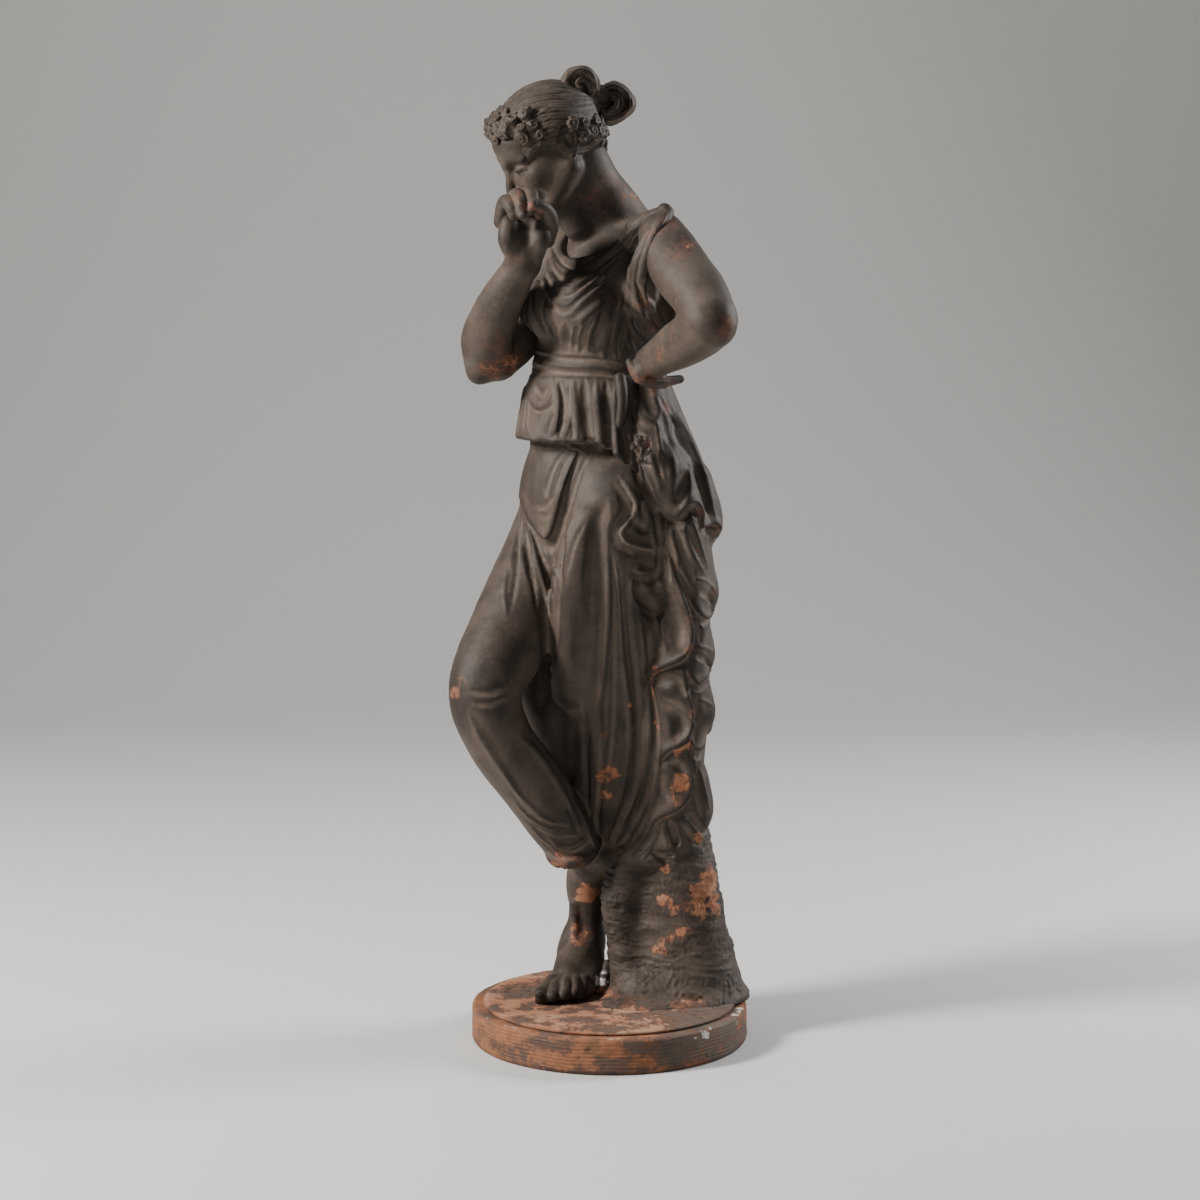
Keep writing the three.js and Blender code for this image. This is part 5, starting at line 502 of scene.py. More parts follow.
    # edges and dents of the outer lobes
    groove(front([[68.8, 360.9], [75.5, 352.1], [84.7, 350.9]]), 2.4, 4.8, 1.0)
    lap(front([[65.4, 372.6], [72.1, 360.7], [80.9, 353.9], [87.7, 364.7]]), 8, 3.6)
    groove(front([[73.6, 377.3], [80.6, 372.8], [84.2, 365.4]]), 2.6, 4.8, 1.1)
    ridge(front([[65.3, 387.7], [75.2, 387.1], [83.2, 380.5], [88.4, 373.2]]), 1.6, 3.0, 0.6)
    groove(front([[64.3, 304.2], [72.7, 295.3], [82.3, 299.6]]), 2.2, 4.6, 1.0)
    lap(front([[64.2, 311], [71.8, 300.4], [79.5, 304.9], [85.5, 316.4]]), 8, 3.6)
    ridge(front([[68.2, 332.4], [77.5, 330], [86.3, 323.9]]), 1.5, 2.8, 0.6)
    groove(front([[69.9, 324.2], [78.4, 319.7], [82.9, 312.1]]), 2.2, 4.0, 1.0)
    groove(front([[66.4, 245], [74.3, 236.3], [82.9, 244.7]]), 2.2, 4.6, 1.0)
    lap(front([[66.4, 251.5], [73.3, 242.6], [80.3, 249.2], [86, 263.7]]), 8, 3.4)
    ridge(front([[72.8, 286.7], [79.6, 284], [85.7, 278.8]]), 1.5, 2.8, 0.6)
    groove(front([[71.4, 353.8], [73.9, 343.8], [74.8, 333.8]]), 1.8, 2.9, 1.0)
    groove(front([[72.7, 291.8], [70.2, 269], [66.4, 249.8]]), 2.2, 4.4, 1.0)
    ridge(front([[73.5, 229.5], [78.6, 212.3], [82.9, 190]]), 1.8, 3.0, 0.8)
    groove(front([[69.8, 227.8], [74.3, 206.2], [77, 185.7]]), 2.2, 4.4, 1.0)
    # ---- apron of cloth over the belly
    lap(front([[-75.2, 450.9], [-68, 436.1], [-60.4, 425.4], [-52.9, 418.6], [-47.8, 422.4], [-42.8, 437.8], [-37.8, 456.8], [-31.3, 476.2], [-24, 493.1]]), 11, 3.6)
    groove(front([[-71.6, 436.9], [-63.9, 424.7], [-54.6, 412.3], [-47.1, 412.2], [-40.4, 425.4], [-34.6, 445.5], [-28, 465.1], [-19.9, 484.4]]), 3.4, 5.8, 1.9)
    groove(front([[-35.4, 490.4], [-43.6, 480.5], [-49.3, 467.5], [-52.6, 454.4]]), 3, 3.4, 1.6)
    ridge(front([[-30.5, 493.8], [-38.7, 482.3], [-44.4, 466.2], [-48.5, 451.4]]), 2.6, 2.3, 1.3)
    groove(front([[-61.9, 444.6], [-56, 444.3], [-50.1, 448.1], [-44.3, 455]]), 2.2, 1.8, 1.1)
    groove(front([[-58.5, 438.3], [-52.7, 436.3], [-46.8, 440.2]]), 1.8, 1.4, 1.0)
    # ---- folds fanning from the hip of the bent leg
    ridge(front([[-73.4, 443.2], [-76, 423.1], [-79.7, 406.2], [-80.9, 391.2]]), 1.6, 3.0, 0.6)
    groove(front([[-72.6, 431.6], [-74.7, 409.5], [-75.9, 391.4], [-80.2, 362.6]]), 2, 4.1, 0.8)
    ridge(front([[-73.4, 443.2], [-73.3, 419.4], [-71.1, 400.6], [-66.7, 382.4]]), 1.6, 3.4, 0.6)
    groove(front([[-69, 425.6], [-67.1, 406.8], [-62.6, 385.4], [-59.2, 360.4]]), 2, 4.4, 0.8)
    ridge(front([[-71.3, 441], [-64.7, 419.6], [-59.6, 400.8], [-52.8, 378.8], [-50.2, 364.9]]), 1.6, 3.2, 0.6)
    groove(front([[-63.9, 424.4], [-56.3, 405.6], [-49.6, 384.9], [-46, 366.1]]), 2, 4.4, 0.8)
    ridge(front([[-51.3, 412.3], [-47.2, 399.5], [-43.5, 387.7], [-43.5, 373]]), 2.2, 3.0, 0.8)
    groove(front([[-36.3, 430.4], [-40.2, 411.9], [-43.4, 387.9], [-46.1, 346.1], [-49.5, 298.3]]), 4.4, 7.4, 2.7)
    ridge(front([[-28.8, 443], [-35.3, 423.7], [-39.4, 403.6], [-41.9, 380.9], [-44.4, 355.7]]), 1.8, 3.0, 0.8)
    groove(front([[-2.9, 453.6], [-9.4, 429.2], [-12.6, 396.7], [-14.3, 355.1]]), 5, 4.6, 4.0)
    groove(front([[-19, 437.2], [-29.5, 414.7], [-35.2, 388.5]]), 1.6, 1.4, 1.0)
    ridge(front([[-83.5, 394], [-85.4, 376.1], [-83.3, 356.6]]), 1.6, 2.1, 0.8)
    groove(front([[-52.7, 369.5], [-50.3, 336.8], [-52.8, 298.3], [-57.8, 273.1]]), 5, 4.6, 3.2)
    # ---- tight cloth behind the bent knee and down the shin
    groove(front([[-114.1, 299.7], [-99.5, 298.5], [-85.2, 301]]), 2.4, 2.1, 1.6)
    groove(front([[-110.8, 290.2], [-96.3, 288.8], [-82, 292.6]]), 2.2, 1.6, 1.6)
    ridge(front([[-72.7, 262.6], [-56.8, 243.3], [-40.6, 216.8], [-29.2, 193.6]]), 3.4, 3.0, 1.9)
    ridge(front([[-112.5, 283.5], [-100, 256.6], [-82.6, 226.9], [-66.7, 201.7]]), 3.4, 2.3, 1.9)
    ridge(front([[-90.4, 241.4], [-74.6, 214.7], [-55.3, 193.6], [-40.7, 183.2]]), 2, 2.5, 1.0)
    groove(front([[-81.3, 213.9], [-66.8, 196], [-50.5, 186.3], [-32.5, 180.8]]), 1.8, 2.8, 0.8)
    ridge(front([[-76.6, 202.8], [-62, 188.8], [-44, 179.8]]), 1.6, 2.3, 0.7)
    groove(front([[-70.3, 189.7], [-55.6, 177.7], [-39.1, 172.4], [-24.3, 172.8]]), 1.8, 3.0, 0.8)
    ridge(front([[-63.8, 180.7], [-50.7, 168.4], [-35.9, 163.1]]), 1.8, 2.3, 0.8)
    groove(front([[-57.4, 169.4], [-44.2, 158], [-31, 157.3], [-19.4, 163.3]]), 1.8, 2.3, 0.8)
    ridge(front([[-28.4, 202.7], [-21, 186.7], [-16.1, 172.6], [-11.1, 159.4]]), 2.4, 3.0, 1.1)
    groove(front([[-35.7, 204.9], [-29.2, 187.1], [-23.5, 171]]), 2, 2.8, 1.0)
    # worn rolled end of the shin's cloth
    limb([[-49.5, 8, 158.5, 5], [-46.1, 0, 152.6, 6], [-37.7, -5, 148.6, 6.4], [-26.9, -6, 150.5, 6.8], [-16.9, 0, 155.1, 6.4], [-11.9, 10, 162.3, 6]], 2)
    groove(front([[-50.7, 168.7], [-40.9, 160.2], [-29.3, 158.8], [-17.7, 164.7], [-12.8, 169.7]]), 2.2, 3.4, 0.8)
    ridge(front([[-53.1, 175.7], [-42.4, 167.8], [-30.9, 166.5], [-20.2, 172]]), 1.8, 3.0, 0.7)
    hole(front([[-44.3, 144.3], [-36, 142.1], [-26, 144.4]]), 3.4, 0.6, 1)
    # ---- pleats of the standing leg, swept toward the other foot
    groove(front([[-7.8, 404.6], [-6.1, 363.4], [-8.6, 312.3], [-11.9, 268.9]]), 2.6, 3.4, 1.6)
    ridge(front([[-1.3, 417], [0.3, 371.8], [-2.9, 321], [-6.1, 282], [-4.5, 251.7]]), 2.4, 3.4, 1.1)
    groove(front([[1.9, 408.1], [4.4, 363.5], [4.5, 312.4], [3, 260.3], [-1.9, 207.9]]), 2.6, 5.8, 1.1)
    ridge(front([[5.2, 404.8], [8.5, 363.4], [11.9, 320.7], [16.2, 285.6], [18.7, 251.2], [16.3, 217.2], [8.9, 189.5], [-1.9, 160.8]]), 2, 4.8, 0.8)
    groove(front([[13.3, 391.6], [18.4, 337.6], [24.4, 285.3], [25.4, 243], [21.3, 209], [12.2, 181.4], [1.4, 156.4]]), 3, 6.9, 1.3)
    ridge(front([[24.8, 362.5], [29.2, 323.6], [33.5, 285.4], [33.6, 247.6], [28.7, 215.2], [18.9, 190], [2.3, 159.6]]), 2, 4.6, 0.8)
    groove(front([[33.4, 302.1], [38.4, 269.1], [38.5, 235.8], [32.1, 204], [20.5, 178.3], [7.3, 155.6]]), 3, 6.4, 1.3)
    ridge(front([[41.8, 225.7], [38.6, 201.6], [30.5, 178.9], [18.9, 161.5], [5.6, 149.2]]), 2, 4.4, 0.8)
    groove(front([[42.1, 180.9], [32.2, 165.2], [20.5, 151.9]]), 2.4, 4.1, 1.0)
    ridge(front([[45.3, 183.2], [35.5, 162.1], [27.2, 149.1]]), 1.8, 3.2, 0.8)
    groove(front([[-7.8, 256], [-7.8, 216.7], [-10.3, 181.2], [-9.4, 160]]), 2.6, 5.1, 1.3)
    ridge(front([[-15.2, 260.1], [-14.4, 216.5], [-14.4, 181.5]]), 2.8, 3.0, 1.4)
    groove(front([[-22.6, 286], [-20.2, 242.4], [-17.8, 198.8]]), 3, 3.2, 1.6)
    # ---- skirt at the back: long flutes of uneven breadth
    for a, s in [[92, 1], [109, 0.75], [123, 1.1], [143, 0.85], [158, 1.25], [179, 0.8], [194, 1.15], [213, 0.9]]:
        ridge(around(34, 44, [[a - 7 * s, 404], [a + 5, 330], [a + 1, 240], [a - 5 * s, 133]]), 4.6 * s, 5 * s, 2.4)
        groove(around(34, 44, [[a + 4, 384], [a + 12 * s, 320], [a + 9, 230], [a + 4, 129]]), 3.4 * s, 4 * s, 2)
    # ---- folds behind the bent leg
    for a, s in [[0, 1], [12, 0.8], [26, 1.1]]:
        ridge(around(-30, 60, [[200 + a, 410], [204 + a, 340], [212 + a, 270], [220 + a, 220]]), 4 * s, 3 * s, 2.6)
        groove(around(-30, 60, [[206 + a, 400], [210 + a, 330], [219 + a, 262]]), 3 * s, 2.6 * s, 2)


def bodice():
    "waist, chest, bodice and its short overfold"
    # ---- waist and chest
    stack([[470,-14,34,50,44,50],[490,-14,35,56,49,50],[520,-11,33,58,47,50],[548,-12,33,57,50,51],[575,-9,33,56,50,53],[605,-3,33,60,50,55],[630,-3,34,61,48,56],[646,-3,35,57,44,56],[658,-1,36,53,39,56],[670,2,37,45,33,56],[683,5,38,34,27,56]], 6)
    # ---- breasts, shoulder blades and shoulders
    ell([-51, 10, 606.7], [24,21,23], 12, axes(55))
    ell([-22.2, -24, 606.9], [27,22,27], 18, axes(50))
    ell([34,62,622], [24,16,30], 14, axes(55))
    ell([-12,88,622], [22,14,28], 14, axes(55))
    ell([47.6, 6, 601.9], [15,16,28], 8, axes(0))
    ell([-39.5, 70, 657.9], [22,20,18], 10, axes(55))
    limb([[43.3, -30, 683.1, 5.5], [35.5, -22, 677.8, 8], [24.4, -12, 668.5, 13]], 8)
    limb([[45.6, -34, 682.2, 5], [39.8, -43, 671.7, 7.5], [32.7, -45, 655.9, 9.5], [27.3, -38, 637.1, 12], [25.1, -26, 614.9, 14]], 6)
    ell([43.2, -33, 686.1], [5,4,4], 1.5, axes(40))
    limb([[36,42,636,16],[46,14,648,13],[50,-2,652,10]], 8)
    ell([-32,74,612], [20,18,32], 16, axes(55))
    limb([[-38,76,634,19],[-26,70,642,17],[-10,56,648,16],[14,40,646,16],[34,20,644,14]], 12)
    # the opening at the neck
    ell([-12,14,688], [39,50,45], 1.2, axes(56), 1)
    # ---- peplum, and the bloused cloth round the waist
    stack([[425,2,34,66,66,50],[460,0,34,70,68,50],[498,-8,35,70,70,50],[512,-8,35,67,67,50],[535,-9,34,66,60,50],[552,-10,33,58,54,50]], 1.5, 3, [-8, 0.85, 62, 499])
    # the hollow under the hem
    ell([-12,36,468], [58,58,18], 3, axes(50), 1)
    # ---- peplum: flutes, puffs and the hollows between them
    ridge(front([[-70.8, 545.6], [-71.4, 531.1], [-74.9, 514.3], [-77.4, 500.3]]), 2.4, 3.2, 1.1)
    groove(front([[-67.9, 537.9], [-69.4, 521.8], [-71.7, 504]]), 2.4, 3.8, 1.0)
    ridge(front([[-67, 538], [-66.7, 523.7], [-67.5, 511.6], [-64.8, 503.1]]), 1.8, 2.0, 0.8)
    ridge(front([[-45.9, 550.4], [-40.9, 536.9], [-40.9, 523.4], [-43.3, 510.5], [-48.2, 503.2]]), 2.4, 3.8, 1.0)
    groove(front([[-40.2, 548.9], [-37.6, 531.5], [-38.4, 515.5], [-40.9, 502.7]]), 3, 7.5, 1.3)
    ridge(front([[-66.9, 534.9], [-62.5, 528.8], [-56.6, 526], [-50, 531.1], [-45.9, 542.4]]), 2.2, 3.2, 1.0)
    groove(front([[-61.8, 543.3], [-55.8, 535.6], [-50, 543.8]]), 3.6, 4.5, 1.3)
    groove(front([[-63.3, 524], [-56.5, 522.8], [-48.3, 526.3], [-44.2, 532.9]]), 1.8, 2.2, 0.6)
    ridge(front([[-45.8, 524.8], [-50.7, 513.5], [-52.3, 503.8]]), 1.8, 2.2, 0.8)
    groove(front([[-52.4, 522.9], [-56.5, 513.2], [-59.8, 505]]), 1.6, 1.2, 0.8)
    ridge(front([[-28.8, 549.1], [-27.9, 533.2], [-26.3, 517.3], [-25.5, 500.6]]), 2.4, 3.8, 1.0)
    groove(front([[-32.8, 545.9], [-32.8, 529.2], [-34.4, 513.2]]), 2.4, 2.8, 1.0)
    ridge(front([[-30.3, 523.6], [-33.6, 510.8], [-37.6, 501.2]]), 1.8, 2.5, 0.8)
    groove(front([[-30.3, 514.1], [-29.5, 506.1], [-31.9, 501.3]]), 1.2, 2.0, 0.6)
    groove(front([[-20.7, 549.2], [-19, 528.6], [-17.4, 509.4], [-14.2, 489.2]]), 3.6, 8.0, 1.6)
    ridge(front([[-10.2, 549.3], [-9.4, 529.4], [-7.8, 509.5], [-6.1, 487.6]]), 2.8, 3.2, 1.1)
    groove(front([[-14.2, 546.1], [-13.4, 527], [-11.8, 509.5], [-10.2, 490.9]]), 1.8, 2.0, 0.8)
    groove(front([[-2.9, 549.3], [-1.3, 527.1], [0.3, 503.1], [2, 481]]), 2.8, 6.2, 1.3)
    ridge(front([[5.1, 550.8], [5.1, 533.4], [5.1, 509.4], [8.5, 477.5]]), 2, 4.0, 0.8)
    groove(front([[10, 546.1], [9.9, 525.4], [12.4, 501.4], [16.7, 472.4]]), 3.2, 4.2, 1.1)
    ridge(front([[15.6, 542.8], [15.6, 525.3], [17.2, 509.2]]), 1.8, 2.0, 0.8)
    # the hem's edge
    ridge(front([[-79, 498.7], [-73.5, 501.4], [-67.4, 500.5], [-59.8, 500.2], [-54, 502.2], [-46.6, 500], [-37.6, 501.2], [-31.3, 495.4], [-24, 493.2], [-15.9, 487.6], [-7.8, 484.3], [-4.5, 489.3], [1.2, 481.8], [10.1, 475], [21.3, 470.8]]), 1.6, 2.2, 0.6)
    # ---- bodice: neckline, cowl and the folds between the breasts
    lap(front([[27.4, 680.1], [16.3, 669], [5.1, 658.9], [-7.8, 649.3], [-19, 641.3], [-29.6, 637.4], [-38.7, 641.5], [-44.7, 650.6], [-49.2, 660.9]]), 8, 2.2)
    ridge(front([[-47.5, 657.5], [-46.3, 649], [-41.1, 639.1], [-31.9, 633.3], [-19.8, 637.3], [-7.8, 646.1], [3.5, 655.7], [15.5, 665.1], [26.6, 675.3]]), 1.8, 2.4, 0.9)
    groove(front([[-49.6, 654.3], [-47.9, 642.5], [-41, 631.8], [-31.7, 628.4], [-18.9, 632.4], [-6.2, 642.1], [5.1, 650.9], [16.3, 660.4]]), 1.8, 2.6, 0.9)
    ridge(front([[-51.3, 652.7], [-50, 639.3], [-42.5, 626.1], [-30.9, 622.9], [-15.8, 632.4], [-1.3, 642.9], [13.2, 654.9]]), 1.8, 2.8, 0.9)
    groove(front([[-53.5, 649.4], [-52.2, 634.4], [-43.9, 619.7], [-32.4, 616.5], [-17.3, 627.6], [-2.9, 637.3]]), 2.0, 3.0, 1.0)
    ridge(front([[-55.3, 646.2], [-53.3, 629.4], [-46.3, 614.9], [-35.6, 609.4], [-24.4, 618.1], [-11.7, 628.4], [1.9, 639.6], [11.5, 648.5]]), 1.9, 2.8, 1.0)
    groove(front([[-57.1, 641.3], [-54.7, 624.5], [-48, 610.1], [-35.6, 603.1], [-23.6, 613.4], [-10.9, 624.5], [1.9, 634.1]]), 2.0, 2.8, 1.0)
    ridge(front([[-37.3, 597.5], [-26.8, 608.7], [-12.5, 619.7], [3.5, 631.7]]), 2, 2.4, 1.2)
    groove(front([[-31.7, 596], [-20.5, 606.3], [-7.8, 615.8]]), 2, 2.2, 1.2)
    ridge(front([[-26.9, 592], [-15.7, 602.4], [-3, 611.8]]), 2, 1.8, 1.2)
    # fan of small folds from the shoulder clasp
    ridge(front([[-2.9, 651.7], [6.7, 661.3], [16.3, 671.5], [25.1, 681.8]]), 1.3, 1.8, 0.6)
    groove(front([[1.1, 651.7], [9.9, 661.2], [18.6, 670.6]]), 1.2, 1.6, 0.6)
    ridge(front([[2.1, 650.5], [10.9, 661.2], [19.3, 671.9], [27, 681.7]]), 1.3, 1.8, 0.6)
    groove(front([[6.2, 650.5], [14.1, 661.2], [21.7, 671.1]]), 1.2, 1.6, 0.6)
    ridge(front([[7.2, 649.4], [15.1, 661.2], [22.4, 672.4], [28.9, 681.6]]), 1.3, 1.8, 0.6)
    groove(front([[11.2, 649.4], [18.3, 661.1], [24.8, 671.6]]), 1.2, 1.6, 0.6)
    ridge(front([[12.3, 648.3], [19.3, 661.1], [25.4, 673], [30.9, 681.6]]), 1.3, 1.8, 0.6)
    groove(front([[16.3, 648.3], [22.5, 661.1], [27.8, 672.2]]), 1.2, 1.6, 0.6)
    ridge(front([[17.3, 647.2], [23.5, 661.1], [28.5, 673.5], [32.8, 681.5]]), 1.3, 1.8, 0.6)
    groove(front([[20.9, 646.8], [26.2, 660.6], [30.9, 672.7]]), 1.2, 1.6, 0.6)
    ridge(front([[16.4, 643.7], [14.5, 630.8], [17.7, 618.1]]), 2, 2, 1.2)
    # the edge of the armhole, from the side up to the clasp
    lap(front([[32.3, 603.8], [29.6, 621.3], [31, 638.6], [35.7, 655.8], [40.4, 668.4], [45.3, 679.5]]), 9, 2.8)
    ridge(front([[24, 621.3], [26.3, 638.6], [31.7, 657.3], [38.8, 673]]), 1.8, 2.4, 0.9)
    groove(front([[20.9, 622.9], [23.1, 641.7], [28.6, 658.9], [35.7, 674.7]]), 1.8, 2.4, 1)
    ridge(front([[16.1, 622.9], [18.4, 643.4], [24.7, 660.6], [32.9, 676.8]]), 1.6, 2.2, 0.9)
    # ---- folds round the far breast, gathered at the girdle
    ridge(front([[-57.1, 638], [-60.4, 621.3], [-60.3, 605.2], [-51.7, 582.5]]), 1.8, 3.4, 0.7)
    groove(front([[-59.2, 629.4], [-63.6, 614.9], [-62.8, 602], [-55.1, 582.4]]), 1.6, 3.1, 0.7)
    ridge(front([[-62.2, 624.5], [-66.1, 611.7], [-65.4, 598.8], [-57.8, 580.6]]), 1.8, 3.1, 0.7)
    groove(front([[-65.3, 614.9], [-68.6, 605.2], [-68.1, 593.8], [-61.6, 580.2]]), 1.6, 2.9, 0.7)
    ridge(front([[-68.6, 610], [-72.2, 601.9], [-70.7, 590.5], [-64.9, 578.6]]), 1.8, 2.9, 0.7)
    groove(front([[-70.5, 598.7], [-72.4, 590.5], [-67.8, 578.9]]), 1.4, 2.3, 0.7)
    ridge(front([[-48.8, 616.5], [-51.3, 600.5], [-45.9, 582.6]]), 2, 3.1, 0.8)
    groove(front([[-51.4, 619.7], [-55.4, 603.7], [-49.2, 582.5]]), 1.6, 2.9, 0.7)
    groove(front([[-43, 599], [-45.8, 589.2], [-41, 577.8]]), 2, 2.9, 0.8)
    ridge(front([[-34.9, 595.9], [-38.4, 584.5], [-38.6, 571.4]]), 2.4, 2.9, 1.1)
    groove(front([[-30.9, 592.8], [-33.5, 581.3], [-33.7, 569.9]]), 1.8, 2.1, 1.0)
    # ---- folds under the near breast
    ridge(front([[1.8, 613.4], [-1.4, 595.9], [-4.5, 577.3], [-4.5, 565.3]]), 2.4, 3.9, 1.1)
    ridge(front([[12.2, 614.9], [9.1, 595.8], [5.1, 577.3], [6, 563.6]]), 2.2, 4.2, 1.0)
    groove(front([[7.5, 610.2], [4.3, 595.8], [1.1, 577.3]]), 2, 4.7, 1.0)
    groove(front([[17, 608.6], [14, 590.9], [10, 571.6]]), 2.4, 5.2, 1.1)
    ridge(front([[-7.8, 603.9], [-14.1, 588], [-17.4, 571.7]]), 2.4, 2.9, 1.1)
    groove(front([[-3, 605.5], [-8.6, 588], [-11, 570.1]]), 2.2, 2.9, 1.0)
    groove(front([[-14.1, 600.8], [-20.5, 584.8], [-23.1, 570]]), 2.2, 2.6, 1.1)
    groove(front([[-23.7, 597.6], [-27, 584.8], [-28.8, 571.6]]), 2, 2.1, 1.1)
    # ---- folds from the armpit round the side
    ridge(front([[18.4, 632.3], [22.5, 613.4], [31, 597.3], [40.9, 585.9]]), 1.8, 3.9, 0.8)
    groove(front([[21.6, 629.2], [26.5, 611.8], [35.9, 594.8]]), 1.6, 3.4, 0.7)
    ridge(front([[25.5, 629.2], [30.5, 613.4], [39.2, 599.6], [45.7, 591.6]]), 1.8, 3.4, 0.7)
    groove(front([[30.4, 626], [35.4, 613.4], [42.4, 602.8]]), 1.6, 2.9, 0.7)
    groove(front([[16.1, 619.7], [19.5, 602.2], [27.8, 586], [32.8, 577]]), 2, 3.9, 0.8)
    ridge(front([[14.6, 608.6], [19.6, 592.5], [27.9, 578.7]]), 1.8, 3.4, 0.8)
    groove(front([[14.8, 598.9], [18, 586.1], [24.6, 573.1]]), 1.8, 3.1, 0.7)
    ridge(front([[13.2, 595.7], [15.6, 582.9], [20.5, 569.9]]), 1.8, 3.1, 0.8)
    # ---- girdle: two cords and the puffs over them
    groove(front([[-67.4, 571.2], [-52.7, 567.8], [-32, 565.9], [-7.8, 565.3], [13.2, 560.3]]), 2.4, 3, 1.2)
    ridge(front([[-66.5, 572.8], [-52.7, 570.2], [-32, 568.3], [-7.8, 567.6], [11.6, 563.6]]), 1.8, 2.6, 0.8)
    ridge(front([[-67.4, 563.8], [-52.7, 561.3], [-32, 559.4], [-7.8, 558.8], [13.2, 553.9]]), 1.8, 2.8, 0.8)
    groove(front([[-67.4, 558.8], [-52.6, 556.5], [-32, 554.6], [-7.8, 554], [11.6, 549.2]]), 1.8, 2.2, 1)
    # ---- peplum flutes round the back
    for a, s in [[98, 1], [121, 0.8], [146, 1.15], [166, 0.8], [190, 1], [214, 1.15], [233, 0.75], [254, 1]]:
        ridge(around(-6, 35, [[a, 550], [a + 3, 525], [a - 2, 462 + (38 if a > 165 else 0)]]), 3.4 * s, 3.6 * s, 1.8)
        groove(around(-6, 35, [[a + 9, 544], [a + 12, 520], [a + 9, 454 + (42 if a > 165 else 0)]]), 3 * s, 3.6 * s, 1.6)
    # ---- back of the bodice: soft folds from the shoulders to the girdle
    for a, s in [[108, 1], [130, 1.1], [156, 0.9], [180, 1.15], [204, 1]]:
        ridge(around(0, 34, [[a + 8, 640], [a + 1, 605], [a, 560]]), 3 * s, 2.8 * s, 2)
        groove(around(0, 34, [[a + 15, 632], [a + 11, 600], [a + 9, 560]]), 2.6 * s, 2.6 * s, 1.8)
    ridge(around(-6, 34, [[84, 557], [120, 555], [160, 554], [200, 555], [240, 557], [284, 562]]), 1.8, 2.4, 0.8)
    ridge(around(-6, 34, [[84, 548], [120, 546], [160, 545], [200, 546], [240, 548], [284, 553]]), 1.8, 2.4, 0.8)


